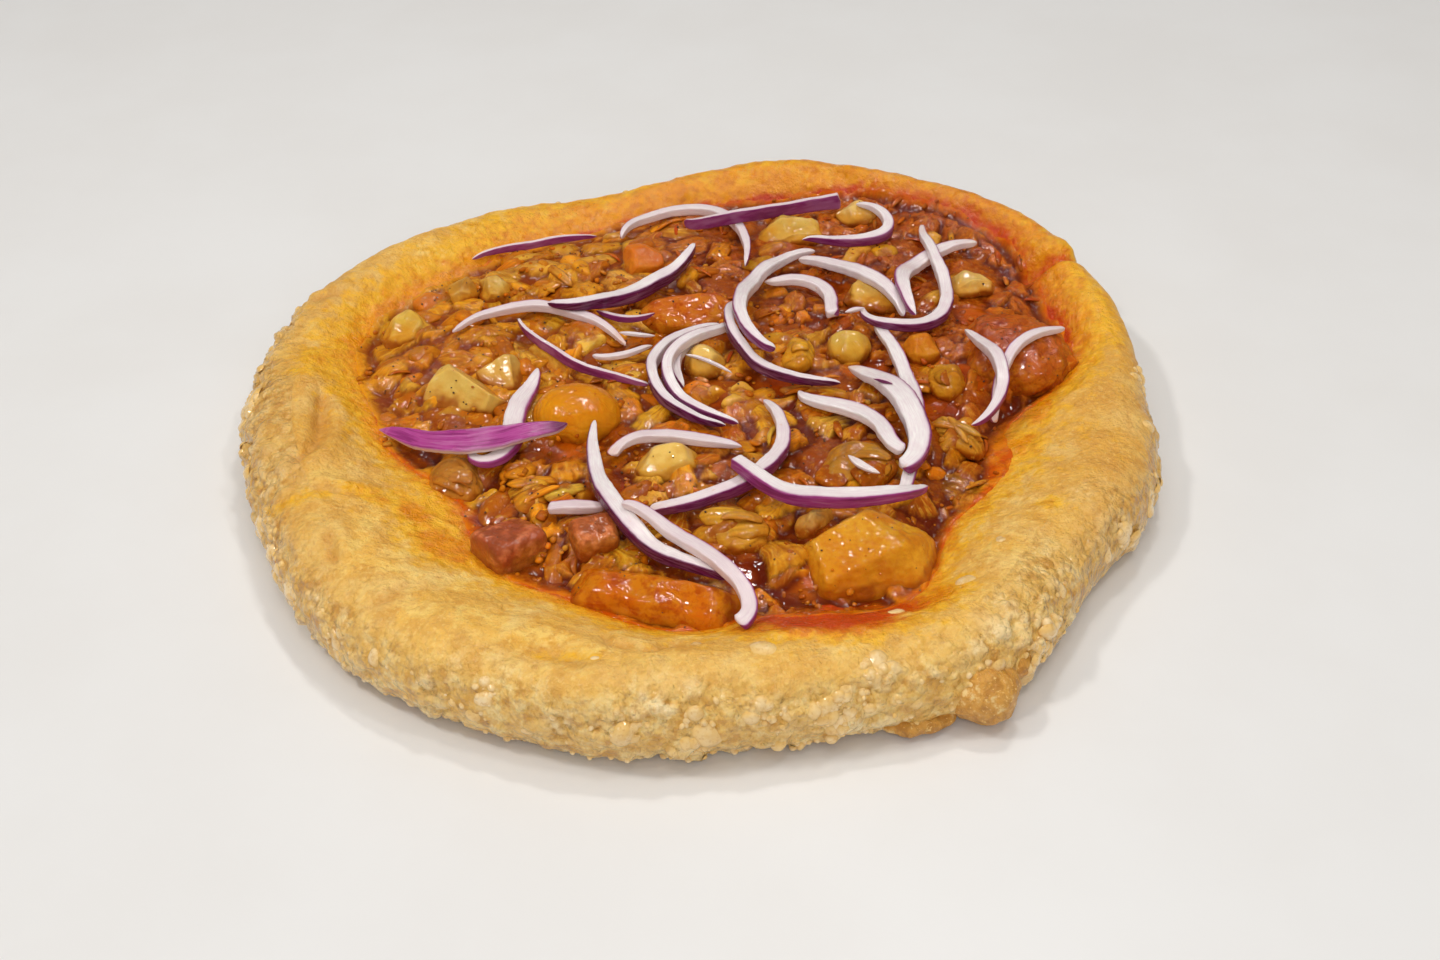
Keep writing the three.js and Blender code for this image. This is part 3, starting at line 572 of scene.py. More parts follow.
def dough_material():
    m = Mat("fried_dough", 0.5, Subsurface_Weight=0.08, Subsurface_Scale=0.0012, Specular_IOR_Level=0.4,
            Coat_Weight=0.12, Coat_Roughness=0.10, Coat_IOR=1.5)
    m.b.inputs["Subsurface Radius"].default_value = (1.0, 0.5, 0.2)
    broad = m.noise(34, 4, 0.55)
    mid = m.noise(8, 5, 0.62, 0.3)
    fine = m.noise(2.6, 5, 0.66)
    grain = m.noise(0.9, 3, 0.6)
    top = m.ramp(mid, (0.38, (0.770, 0.385, 0.050)), (0.49, (0.880, 0.500, 0.085)), (0.60, (0.940, 0.640, 0.180)))
    top = m.mix(m.remap(broad, 0.44, 0.58, 0.0, 0.60), top, (0.760, 0.385, 0.050))
    top = m.mix(m.remap(m.noise(17, 4, 0.62, 0.4), 0.50, 0.62, 0.0, 0.70), top, (0.920, 0.665, 0.260))
    top = m.mix(m.remap(m.noise(10, 5, 0.66, 0.3), 0.51, 0.63, 0.0, 0.60), top, (0.660, 0.300, 0.034))
    top = m.mix(m.remap(fine, 0.50, 0.64, 0.0, 0.50), top, (0.660, 0.295, 0.038))
    top = m.mix(m.remap(grain, 0.53, 0.68, 0.0, 0.60), top, (0.96, 0.70, 0.24))
    top = m.mix(m.remap(m.noise(1.3, 4, 0.7), 0.58, 0.70, 0.0, 0.45), top, (0.54, 0.225, 0.032))
    top = m.mix(m.math("MULTIPLY", m.attr("pale"), 0.25), top, (0.90, 0.62, 0.23))
    # the blistered side: translucent cream on the bubbles, toffee between them
    side_low = m.ramp(m.noise(3.4, 4, 0.6), (0.38, (0.66, 0.340, 0.070)), (0.50, (0.84, 0.530, 0.160)), (0.62, (0.92, 0.690, 0.330)))
    bubble = m.mix(m.attr("cellpale"), (0.90, 0.600, 0.220), (0.95, 0.760, 0.470))
    side_col = m.mix(m.remap(m.attr("raised"), 0.05, 0.50), side_low, bubble)
    side_col = m.mix(m.remap(m.noise(12, 3), 0.50, 0.62, 0.0, 0.55), side_col, (0.80, 0.480, 0.120))
    side_col = m.mix(m.remap(fine, 0.52, 0.66, 0.0, 0.60), side_col, (0.56, 0.290, 0.070))
    mixed = m.mix(m.math("MULTIPLY", m.remap(m.attr("side"), 0.05, 0.75), m.remap(m.attr("brown"), 0.35, 0.9, 0.50, 1.0)), top, side_col)
    # painted shade: darker brown in the creases
    mixed = m.mix(m.math("MULTIPLY", m.attr("painted_crease_shade"), 0.50), mixed, (0.58, 0.250, 0.040))
    burnt = m.ramp(m.noise(3.0, 4, 0.65), (0.38, (0.460, 0.190, 0.030)), (0.56, (0.660, 0.320, 0.065)), (0.68, (0.860, 0.640, 0.330)))
    burnt = m.mix(m.remap(m.noise(0.8, 3, 0.6), 0.60, 0.68, 0.0, 0.8), burnt, (0.900, 0.640, 0.280))
    mixed = m.mix(m.math("MULTIPLY", m.attr("lump"), 0.85), mixed, burnt)
    mixed = m.mix(m.attr("flank"), mixed, m.mix(1.0, mixed, (0.90, 0.83, 0.74), "MULTIPLY"))
    mixed = m.mix(1.0, mixed, (1.035, 1.00, 0.85), "MULTIPLY")
    # oil from the stew soaks in round it
    ragged = m.math("ADD", m.attr("oil"), m.remap(m.noise(3.4, 5, 0.65), 0.35, 0.65, -0.20, 0.20), clamp=True)
    soaked = m.mix(m.remap(ragged, 0.14, 0.38, 0.0, 0.92), mixed, m.mix(m.remap(fine, 0.44, 0.62), (0.930, 0.485, 0.013), (0.800, 0.360, 0.006)))
    soaked = m.mix(m.remap(ragged, 0.40, 0.72), soaked, m.mix(m.remap(fine, 0.44, 0.62), (0.870, 0.330, 0.004), (0.740, 0.225, 0.002)))
    redder = m.math("ADD", m.attr("red"), m.remap(m.noise(2.4, 4, 0.6), 0.35, 0.65, -0.22, 0.22), clamp=True)
    soaked = m.mix(m.remap(redder, 0.25, 0.72), soaked, (0.680, 0.125, 0.001))
    soaked = m.mix(m.remap(redder, 0.72, 1.0, 0.0, 0.85), soaked, (0.600, 0.038, 0.0005))
    wet = m.math("MAXIMUM", m.remap(ragged, 0.3, 0.8), m.remap(redder, 0.3, 0.9))
    rough = m.math("SUBTRACT", m.remap(mid, 0.4, 0.6, 0.44, 0.58), m.math("MULTIPLY", wet, 0.24))
    rough = m.math("SUBTRACT", rough, m.math("MULTIPLY", m.attr("side"), 0.14))
    bump = m.bump(m.noise(6.0, 3, 0.6, 0.5), 1.15, 0.85)
    bump = m.bump(m.noise(2.8, 4, 0.65, 0.4), 0.80, 0.9, bump)
    bump = m.bump(m.noise(0.9, 4, 0.7), 0.34, 0.95, bump)
    froth = m.math("MULTIPLY", m.math("SUBTRACT", 1.0, m.voronoi(1.7)), m.remap(m.attr("side"), 0.1, 0.8, 0.12, 1.0))
    bump = m.bump(froth, 0.80, 0.85, bump)
    froth2 = m.math("MULTIPLY", m.math("SUBTRACT", 1.0, m.voronoi(0.85)), m.remap(m.attr("side"), 0.1, 0.8, 0.05, 1.0))
    bump = m.bump(froth2, 0.22, 0.8, bump)
    m.link(m.math("ADD", m.remap(m.attr("side"), 0.1, 0.7, 0.26, 0.90), m.math("MULTIPLY", wet, 0.30), clamp=True),
           m.b.inputs["Coat Weight"])
    return m.finish(soaked, rough, bump)


# ---------------------------------------------------- small solid shapes ----

_ICO = {}


def ico(level):
    if level not in _ICO:
        if level == 0:
            t = (1 + 5 ** 0.5) / 2
            v = [(-1, t, 0), (1, t, 0), (-1, -t, 0), (1, -t, 0), (0, -1, t), (0, 1, t),
                 (0, -1, -t), (0, 1, -t), (t, 0, -1), (t, 0, 1), (-t, 0, -1), (-t, 0, 1)]
            f = [(0, 11, 5), (0, 5, 1), (0, 1, 7), (0, 7, 10), (0, 10, 11), (1, 5, 9), (5, 11, 4), (11, 10, 2),
                 (10, 7, 6), (7, 1, 8), (3, 9, 4), (3, 4, 2), (3, 2, 6), (3, 6, 8), (3, 8, 9), (4, 9, 5),
                 (2, 4, 11), (6, 2, 10), (8, 6, 7), (9, 8, 1)]
            v = np.array(v, float)
        else:
            v0, f0 = ico(level - 1)
            v, mid, f = [tuple(p) for p in v0], {}, []

            def half(a, b):
                key = (min(a, b), max(a, b))
                if key not in mid:
                    mid[key] = len(v)
                    v.append(tuple((np.array(v[a]) + v[b]) / 2))
                return mid[key]
            for a, b, c in f0:
                x, y, z = half(a, b), half(b, c), half(c, a)
                f += [(a, x, z), (b, y, x), (c, z, y), (x, y, z)]
            v = np.array(v)
        v = v / np.linalg.norm(v, axis=1, keepdims=True)
        _ICO[level] = (v, np.array(f, int))
    return _ICO[level]


def lump(level, half, power=2.4, bend=0.0, cup=0.0, rough=0.0, rough_mm=3.0, seed=0, planes=(), crisp=10,
         pinch=0.0):
    """A rounded solid: its corners follow `power`, planes (normal, distance) cut flats on it."""
    d, f = ico(level)
    h = np.asarray(half, float)
    q = d * h
    s = (np.abs(d) ** power).sum(1) ** (crisp / power)
    for n, dist in planes:
        n = np.asarray(n, float)
        s = s + (np.maximum(q @ (n / np.linalg.norm(n)), 0) / dist) ** crisp
    v = q * (s ** (-1 / crisp))[:, None]
    if rough:
        nrm = d / h
        nrm /= np.linalg.norm(nrm, axis=1, keepdims=True)
        v = v + nrm * (rough * fbm(v + seed * 13.7, rough_mm, 2, seed % 50))[:, None]
    if pinch:
        k = 1 - pinch * np.clip(v[:, 0] / h[0], -1, 1)
        v[:, 1] *= k
        v[:, 2] *= 0.5 + 0.5 * k
    if cup:
        v[:, 2] -= v[:, 1] ** 2 / (2 * cup)
    if bend:
        v[:, 2] -= v[:, 0] ** 2 / (2 * bend)
    return v, f


def turn(v, yaw=0.0, pitch=0.0, roll=0.0):
    """Roll about x, then pitch about y (positive lifts the +x end), then yaw."""
    cr, sr, cp, sp, cy, sy = (f(rad(a)) for a in (roll, -pitch, yaw) for f in (math.cos, math.sin))
    m = (np.array([[cy, -sy, 0], [sy, cy, 0], [0, 0, 1]]) @ np.array([[cp, 0, sp], [0, 1, 0], [-sp, 0, cp]])
         @ np.array([[1, 0, 0], [0, cr, -sr], [0, sr, cr]]))
    return v @ m.T


def leaf(a, b, thick, rng, bend=14.0, cup=8.0, taper=0.3, pinch=0.0, ribs=0.09, nu=17, nv=10, wave=0.35):
    """A thin curved layer of onion or cabbage with fine ribs along it: points, faces, rib shade and rim shade."""
    p, q = np.meshgrid(np.linspace(-1, 1, nu), np.linspace(-1, 1, nv), indexing="ij")
    p, q = 0.6 * p + 0.4 * np.sin(p * np.pi / 2), 0.6 * q + 0.4 * np.sin(q * np.pi / 2)
    x = a * p * (1 - 0.20 * q ** 2)
    y = b * q * (1 - taper * p ** 2) * (1 - pinch * p)
    far = rng.uniform(0, 900)
    g = np.c_[x.ravel() + far, y.ravel(), 0 * x.ravel()]
    w = 1 + 0.17 * noise(g, 4.2, 3).reshape(x.shape)
    x, y = x * w, y * w
    rimf = np.maximum(np.abs(p), np.abs(q))
    body = np.sqrt(np.clip(1 - rimf ** 5, 0, 1))
    rib = 0.5 + 0.5 * np.cos(2 * np.pi * (y / rng.uniform(0.9, 1.5) + 0.25 * noise(g, 5, 4).reshape(x.shape)) + far)
    mid = -x ** 2 / (2 * bend) - y ** 2 / (2 * cup) + wave * noise(g, 5.5, 5).reshape(x.shape)
    top = mid + body * (thick / 2 + ribs * (rib - 0.5))
    low = mid - body * thick / 2
    n = nu * nv
    inner = (rimf < 0.999)
    at = np.arange(n).reshape(nu, nv)
    below = at.copy()
    below[inner] = n + np.arange(inner.sum())
    v = np.vstack([np.c_[x.ravel(), y.ravel(), top.ravel()], np.c_[x[inner], y[inner], low[inner]]])
    f = grid_faces(nu, nv)
    faces = np.vstack([f[:, ::-1], below.ravel()[f]])
    shade = np.r_[rib.ravel(), rib[inner]]
    rim_ = np.r_[smooth(0.62, 1.0, rimf).ravel(), smooth(0.62, 1.0, rimf)[inner]]
    return v, faces, shade, rim_


def leaf_colour(c0, shade, rim_, v, seed):
    """Pale ribs, a deeper tint towards the edge and clouds of sauce."""
    c = np.array(c0)[None] * (0.80 + 0.34 * shade[:, None])
    cloud = smooth(-0.25, 0.45, fbm(v + seed * 3.7, 4.5, 2, 8))[:, None]
    c = c * (1 - 0.30 * cloud) + np.array((0.40, 0.105, 0.004)) * 0.30 * cloud
    return c * (1 - rim_[:, None] * np.array((0.10, 0.22, 0.40)))


class Heap:
    """Many small solids that become one mesh."""

    def __init__(self):
        self.v, self.f, self.c, self.extra, self.n = [], [], [], {}, 0

    def add(self, v, f, colour, **extra):
        self.v.append(v)
        self.f.append(np.asarray(f) + self.n)
        self.c.append(np.broadcast_to(np.asarray(colour, float), (len(v), 3)))
        for k, val in extra.items():
            self.extra.setdefault(k, []).append(np.broadcast_to(np.asarray(val, float), (len(v),)))
        self.n += len(v)

    def make(self, name, material, slot, replaces=()):
        v = np.vstack(self.v)
        if all(f.shape[1] == 3 for f in self.f) or all(f.shape[1] == 4 for f in self.f):
            faces = np.vstack(self.f)
        else:
            faces = [r for f in self.f for r in f.tolist()]
        attrs = {"col": np.vstack(self.c)}
        for k, val in self.extra.items():
            attrs[k] = np.concatenate(val)
        return make(name, v, faces, attrs, material=material, slot=slot, replaces=replaces)


class Survey:
    """Heights of what has been laid so far, seen from above."""

    def __init__(self, *objects, step=0.55, reach=121.0):
        self.step, self.reach = step, reach
        self.n = int(2 * reach / step) + 1
        ax = np.linspace(-reach, reach, self.n)
        gx, gy = np.meshgrid(ax, ax, indexing="ij")
        x, y = gx.ravel(), gy.ravel()
        keep = np.hypot(x, y) < edge(np.arctan2(y, x)) + 1
        self.z = np.zeros(x.shape)
        self.z[keep] = drop(bvh_of(*objects), x[keep], y[keep], 0.0)
        self.z = self.z.reshape(self.n, self.n)

    def index(self, x, y):
        i = np.clip(np.rint((np.asarray(x) + self.reach) / self.step).astype(int), 1, self.n - 2)
        j = np.clip(np.rint((np.asarray(y) + self.reach) / self.step).astype(int), 1, self.n - 2)
        return i, j

    def at(self, x, y):
        return self.z[self.index(x, y)]

    def mean(self, x, y, r=2.0):
        k = int(r / self.step)
        i, j = self.index(x, y)
        i, j = int(np.clip(i, k, self.n - k - 1)), int(np.clip(j, k, self.n - k - 1))
        return float(self.z[i - k:i + k + 1, j - k:j + k + 1].mean())

    def slope(self, x, y, r=3.0):
        """Slope of the surface along x and y."""
        return ((self.mean(x + r, y, 1.5) - self.mean(x - r, y, 1.5)) / (2 * r),
                (self.mean(x, y + r, 1.5) - self.mean(x, y - r, 1.5)) / (2 * r))

    def lay(self, v, spread=1):
        i, j = self.index(v[:, 0], v[:, 1])
        for a in range(-spread, spread + 1):
            for b in range(-spread, spread + 1):
                ii, jj = np.clip(i + a, 0, self.n - 1), np.clip(j + b, 0, self.n - 1)
                np.maximum.at(self.z, (ii, jj), v[:, 2])


# --------------------------------------------------------------- the stew ----

# Where thin sauce has run over the edge: x, y, half length, half width, bearing, how far.
RUNS = [(27, -80, 12, 9, 0, 9.0), (72, -27, 13, 9, 55, 7.0), (84, 6, 12, 8, 80, 4.0), (80, 44, 10, 6, 20, 3.0),
        (-84, 14, 8, 10, 0, 2.5), (-60, -47, 8, 5, -40, 2.5), (55, -40, 8, 7, 40, 3.5)]


def inside_shore(x, y):
    """How far a point lies inside the ragged edge of the stew, mm."""
    th = np.arctan2(y, x)
    p = np.c_[x, y, np.zeros(len(x))]
    runs = 0
    for cx, cy, a, b, yaw, reach in RUNS:
        c, s = math.cos(rad(yaw)), math.sin(rad(yaw))
        u, v = ((x - cx) * c + (y - cy) * s) / a, (-(x - cx) * s + (y - cy) * c) / b
        runs = runs + reach * np.exp(-u * u - v * v)
    return shore(th) - np.hypot(x, y) + 1.1 * fbm(p, 9, 2, 71) + 0.5 * noise(p, 3, 72) + runs


# Spots where thin dark sauce stands between the pieces: x, y, radius.
POOLS = [(18, 2, 7), (14, 24, 5), (-20, -38, 8), (26, -42, 7), (-33, -22, 6), (44, 8, 5), (58, -9, 7), (66, 4, 5),
         (-16, 22, 5), (22, -74, 6), (-52, -46, 4), (52, -2, 4), (34, 46, 5), (72, 30, 6), (10, -68, 5), (60, 52, 6),
         (-36, 42, 4), (-70, 10, 4), (1, -20, 4), (30, 27, 4), (27, -79, 7), (37, -76.5, 5)]


def region_red(x, y):
    """The sauce is redder towards the far right."""
    return smooth(22, 66, x * math.cos(rad(38)) + y * math.sin(rad(38)))


def golden_zone(x, y):
    """Towards the far left the stew is mostly onion and golden."""
    p = np.c_[x, y, 0 * x]
    return np.clip(smooth(0, -42, x) * smooth(-22, 2, y) + 0.2 * smooth(-60, 20, y) + 0.25 * fbm(p, 14, 2, 66), 0, 1) * (1 - region_red(x, y))


def pool_mask(x, y):
    m = np.zeros(len(x))
    p = np.c_[x, y, np.zeros(len(x))]
    w = 1 + 0.35 * fbm(p, 5, 2, 61)
    for cx, cy, r in POOLS:
        m = np.maximum(m, smooth(1.25, 0.7, np.hypot(x - cx, (y - cy) * 1.15) / r * w))
    return np.maximum(m, smooth(0.34, 0.55, fbm(p, 12, 3, 63)))


def piece_field(x, y, gx, pool):
    """The stew as one mass of soft pieces that slant over one another."""
    rng = np.random.default_rng(7)
    n = len(x)
    p = np.c_[x, y, 0 * x]
    sx, sy = x + 0.75 * noise(p, 3.6, 101), y + 0.75 * noise(p, 3.6, 102)
    top = -0.85 + 0.30 * fbm(p, 5, 2, 103)
    who, rimmed, rise = np.full(n, -1), np.zeros(n), np.zeros(n)
    fibre_u, fibre_v = x.copy(), y.copy()
    colours = []
    spots = scatter(350, 71, 4.3, 0.0)
    for k, (cx, cy) in enumerate(spots):
        one = np.array([cx]), np.array([cy])
        red, gold = float(region_red(*one)[0]), float(golden_zone(*one)[0])
        a = rng.uniform(3.3, 7.2) * (1 - 0.30 * red) * (1 + 0.22 * gold)
        b = a * rng.uniform(0.48, 0.85)
        e = rng.uniform(2.8, 5.5)
        yaw = rng.uniform(0, np.pi)
        gu, gv = rng.normal(0, 0.13), rng.normal(0, 0.17)
        ru, rv = rng.uniform(14, 60), rng.choice([7, 12, 24, 60])
        h = rng.uniform(-0.45, 0.85) + 0.15 * gold
        ribs, freq, off = rng.choice([0.0, 0.05, 0.13]), rng.uniform(3.2, 5.6), rng.uniform(0, 9)
        reach = 1.3 * a
        lo, hi = np.searchsorted(gx, [cx - reach - 0.8, cx + reach + 0.8])
        idx = np.arange(lo, hi)[np.abs(sy[lo:hi] - cy) < reach]
        dx, dy = sx[idx] - cx, sy[idx] - cy
        c, s_ = math.cos(yaw), math.sin(yaw)
        u, v = dx * c + dy * s_, -dx * s_ + dy * c
        v = v * (1 + 0.25 * u / a)
        q = ((np.abs(u) / a) ** e + (np.abs(v) / b) ** e) ** (1 / e)
        plane = h + gu * u + gv * v - u * u / (2 * ru) - v * v / (2 * rv) + ribs * np.sin(freq * v + off + 0.8 * np.sin(u * 0.7 + off))
        z = plane - 1.8 * smooth(0.84, 1.13, q)
        won = (q < 1.15) & (z > top[idx])
        at = idx[won]
        top[at], who[at] = z[won], k
        rimmed[at] = smooth(0.62, 0.95, q[won])
        rise[at] = np.clip(0.5 + (gu * u + gv * v)[won] / 1.6, 0, 1)
        fibre_u[at], fibre_v[at] = u[won] + 40 * k, v[won] * (1 + 0.05 * u[won]) + 23 * k
        kinds = [(AMBER, 2.6 - gold), (GOLD, 1.6 + 2.4 * gold), (BROWN, 2.6 - 1.6 * gold), (ORANGE, 0.4), (PALE, 0.40 + 1.0 * gold), (OLIVE, 1.3)]
        if rng.random() < red:
            kinds = [(REDP, 3), (BROWN, 1.4), (ORANGE, 1), ((0.50, 0.130, 0.020), 1.5)]
        colours.append(np.array(pick(rng, *kinds)) * rng.uniform(0.82, 1.15))
    colours.append(np.array((0.36, 0.075, 0.003)))
    col = np.array(colours)[who]
    # painted light and shade: each piece lighter where its slanting top stands higher, darker where it dips
    col = col * (0.78 + 0.28 * rise)[:, None]
    # painted light: the raised rims of the pieces brightened to a golden glow
    painted_edge_glow = rimmed * smooth(-0.8, 0.4, top) * (who >= 0)
    col = col * (1 - 0.22 * painted_edge_glow)[:, None] + np.array((0.76, 0.390, 0.030)) * (0.22 * painted_edge_glow)[:, None]
    return top, who, col, fibre_u, fibre_v


def blurred(ids, z, radius):
    """Mean height round each point, for finding the gaps between the pieces, where shade is painted."""
    grid, w = np.where(ids >= 0, z[ids], 0.0), (ids >= 0).astype(float)
    out = []
    for g in (grid, w):
        for axis in (0, 1):
            c = np.cumsum(np.insert(g, 0, 0, axis=axis), axis=axis)
            n = g.shape[axis]
            lo, hi = np.clip(np.arange(n) - radius, 0, n), np.clip(np.arange(n) + radius + 1, 0, n)
            g = np.take(c, hi, axis=axis) - np.take(c, lo, axis=axis)
        out.append(g)
    m = out[0] / np.maximum(out[1], 1)
    return m[ids >= 0]


def build_stew(dough_tree):
    step = 0.55
    ax = np.arange(-104, 104.01, step)
    n = len(ax)
    gx, gy = np.meshgrid(ax, ax, indexing="ij")
    x, y = gx.ravel(), gy.ravel()
    inside = inside_shore(x, y)
    keep = inside > -2.4
    ids = np.full(n * n, -1)
    ids[keep] = np.arange(keep.sum())
    x, y, inside = x[keep], y[keep], inside[keep]
    gx = x.copy()
    jit = np.c_[x, y, 0 * x]
    x = x + 0.16 * noise(jit, 1.3, 1)
    y = y + 0.16 * noise(jit, 1.3, 2)
    p = np.c_[x, y, 0 * x]
    ground = dough_top(np.arctan2(y, x), edge(np.arctan2(y, x)) - np.hypot(x, y))
    near = inside < 7
    ground[near] = drop(dough_tree, x[near], y[near], 10.0)
    pool = pool_mask(x, y)
    warp = p + 1.2 * np.c_[noise(p, 5, 31), noise(p, 5, 32), 0 * x]
    a1, a2, aid = cells(warp, 7.5, 41)
    b1, b2, bid = cells(warp * (1, 1.25, 1), 3.6, 42)
    c1, c2, cid = cells(p, 1.7, 43)
    crumb = smooth(0.00, 0.30, fbm(p, 15, 2, 91)) * (0.4 + 0.6 * region_red(x, y)) + 0.5 * region_red(x, y)
    body, who, col, fibre_u, fibre_v = piece_field(x, y, gx, pool)
    mound = 0.9 * fbm(p, 14, 2, 48)
    pulp = smooth(0.0, 0.45, b2 - b1) * (0.2 + 0.8 * bid) * 0.22
    fine = np.clip(1 - (c1 / 0.7) ** 2, 0, 1) * cid * 0.50 * np.clip(crumb, 0, 1)
    relief = mound + body + pulp + fine + 0.16 * fbm(p, 2.4, 2, 45)
    flat = -1.0 + 0.22 * noise(p, 5, 46) + 0.08 * noise(p, 2.2, 47)
    z = stew_top(x, y) - 1.15 + np.where(pool > 0.99, flat, relief * (1 - pool) + flat * pool)
    t = smooth(-0.6, 5.0, inside)
    lip = ground - 1.6 + 2.1 * smooth(-1.6, 0.6, inside) + 0.25 * relief * smooth(-0.4, 1.5, inside)
    z = lip * (1 - t) + np.maximum(z, ground + 0.25) * t
    beyond = smooth(-0.5, 2.5, np.hypot(x, y) - shore(np.arctan2(y, x)))
    film = ground + 0.28 + 0.22 * np.clip(relief, -0.5, 1.2)
    z = np.where(inside > 0.2, z * (1 - beyond) + np.minimum(z, film) * beyond, z)
    z = np.maximum(z, ground - 2.2)
    cell = ids.reshape(n, n)
    quad = np.stack([cell[:-1, :-1], cell[1:, :-1], cell[1:, 1:], cell[:-1, 1:]], -1).reshape(-1, 4)
    quad = quad[(quad >= 0).all(1)]
    # a closed underside a little below, so that the sauce is a body
    v = np.c_[x, y, z]
    e = np.sort(np.stack([quad[:, [0, 1]], quad[:, [1, 2]], quad[:, [2, 3]], quad[:, [3, 0]]], 1).reshape(-1, 2), 1)
    raw = np.stack([quad[:, [0, 1]], quad[:, [1, 2]], quad[:, [2, 3]], quad[:, [3, 0]]], 1).reshape(-1, 2)
    key = e[:, 0].astype(np.int64) * len(v) + e[:, 1]
    uniq, first, count = np.unique(key, return_index=True, return_counts=True)
    border = raw[first[count == 1]]
    around = np.unique(border)
    low = np.full(len(v), -1)
    low[around] = len(v) + np.arange(len(around))
    under = v[around].copy()
    under[:, 2] = np.maximum(under[:, 2] - 1.2, 0.5)
    skirt = np.c_[border[:, 1], border[:, 0], low[border[:, 0]], low[border[:, 1]]]
    v = np.vstack([v, under])
    full = lambda val: np.append(val, val[around])
    # how far each point lies below its neighbours: there the sauce is painted near-black, partly dark sauce, partly
    # painted shade
    gap = 0.75 * np.clip((blurred(ids.reshape(n, n), z, 3) - z) / 0.40, 0, 1) + 0.95 * np.clip((blurred(ids.reshape(n, n), z, 8) - z) / 0.95, 0, 1)
    attrs = {"col": np.vstack([col, col[around]]), "gap": full(np.clip(gap, 0, 1)), "piece": full(who >= 0),
             "pool": full(pool), "cellid": full(bid),
             "redder": full(region_red(x, y)), "thin": full(np.maximum(smooth(2.5, -0.5, inside), beyond)), "crumb": full(np.clip(crumb, 0, 1)),
             "gold": full(golden_zone(x, y)), "fibre_u": full(fibre_u), "fibre_v": full(fibre_v)}
    return v, np.vstack([quad, skirt]), attrs


def sauce_material():
    m = Mat("stew_sauce", 0.30, Subsurface_Weight=0.12, Subsurface_Scale=0.0010, Coat_Weight=0.85,
            Coat_Roughness=0.035, Coat_IOR=1.50, Specular_IOR_Level=0.05)
    m.b.inputs["Subsurface Radius"].default_value = (1.0, 0.45, 0.12)
    body = m.attr("col", "Color")
    deep_tint = m.mix(m.attr("gold"), (0.340, 0.065, 0.002), (0.500, 0.170, 0.006))
    body = m.mix(m.remap(m.noise(5.5, 4, 0.6), 0.46, 0.62, 0.0, 0.55), body, deep_tint)
    body = m.mix(m.remap(m.noise(2.2, 4, 0.6), 0.50, 0.62, 0.0, 0.45), body, m.mix(0.5, body, (0.300, 0.050, 0.002)))
    body = m.mix(m.remap(m.noise(1.5, 4, 0.6), 0.58, 0.67, 0.0, 0.40), body, (0.760, 0.370, 0.026))
    body = m.mix(m.remap(m.noise(0.6, 2, 0.5), 0.70, 0.76, 0.0, 0.6), body, (0.09, 0.025, 0.008))
    lines = m.t.nodes.new("ShaderNodeCombineXYZ")
    m.link(m.math("MULTIPLY", m.attr("fibre_u"), 0.20), lines.inputs[0])
    m.link(m.math("MULTIPLY", m.attr("fibre_v"), 1.25), lines.inputs[1])
    grain = m.t.nodes.new("ShaderNodeTexNoise")
    grain.inputs["Scale"].default_value, grain.inputs["Detail"].default_value = 1.0, 2
    m.link(lines.outputs[0], grain.inputs["Vector"])
    fibre = grain.outputs["Fac"]
    on_piece = m.math("MULTIPLY", m.attr("piece"), m.math("SUBTRACT", 1.0, m.attr("gap"), clamp=True), clamp=True)
    light_line = m.math("MULTIPLY", m.remap(fibre, 0.52, 0.64, 0.0, 0.75), on_piece)
    dark_line = m.math("MULTIPLY", m.remap(fibre, 0.46, 0.36, 0.0, 0.75), on_piece)
    body = m.mix(light_line, body, m.mix(0.5, body, (0.860, 0.560, 0.080)))
    body = m.mix(dark_line, body, m.mix(0.65, body, (0.330, 0.085, 0.002)))
    crumbly = m.mix(m.remap(m.noise(1.0, 4, 0.7), 0.42, 0.58), (0.300, 0.060, 0.005), (0.590, 0.230, 0.030))
    body = m.mix(m.math("MULTIPLY", m.attr("crumb"), 0.45), body, crumbly)
    red = m.ramp(m.noise(1.3, 4, 0.7), (0.40, (0.260, 0.036, 0.002)), (0.5, (0.450, 0.100, 0.006)), (0.62, (0.640, 0.230, 0.030)))
    red = m.mix(m.remap(m.noise(6, 4), 0.47, 0.58, 0.0, 0.5), red, (0.40, 0.060, 0.003))
    body = m.mix(m.math("MULTIPLY", m.attr("redder"), 0.55), body, red)
    liquid = m.ramp(m.noise(9, 3), (0.42, (0.300, 0.034, 0.0005)), (0.58, (0.520, 0.095, 0.0010)))
    col = m.mix(m.math("MULTIPLY", m.attr("pool"), 0.85), body, m.mix(m.attr("gold"), liquid, (0.500, 0.160, 0.004)))
    # painted shade: the gaps between the pieces go near-black, partly the dark sauce standing there
    dark = m.mix(m.attr("gold"), (0.088, 0.0065, 0.0004), (0.200, 0.034, 0.001))
    col = m.mix(m.math("MULTIPLY", m.attr("gap"), 0.88), col, dark)
    edge_tint = m.mix(m.remap(m.noise(4, 4), 0.42, 0.58), (0.62, 0.100, 0.0008), (0.74, 0.230, 0.002))
    edge_tint = m.mix(m.attr("gold"), edge_tint, (0.74, 0.330, 0.010))
    col = m.mix(m.math("MULTIPLY", m.attr("thin"), 0.90), col, edge_tint)
    col = m.mix(1.0, col, (1.03, 0.88, 0.54), "MULTIPLY")
    rough = m.remap(m.attr("pool"), 0.0, 1.0, 0.34, 0.16)
    calm = m.remap(m.attr("pool"), 0.2, 0.9, 1.0, 0.25)
    bump = m.bump(m.math("MULTIPLY", m.noise(2.2, 2, 0.5), calm), 0.60, 0.9)
    bump = m.bump(m.math("MULTIPLY", m.noise(0.9, 2, 0.5), calm), 0.05, 0.9, bump)
    bump = m.bump(m.math("MULTIPLY", fibre, on_piece), 0.22, 0.9, bump)
    return m.finish(col, rough, bump)


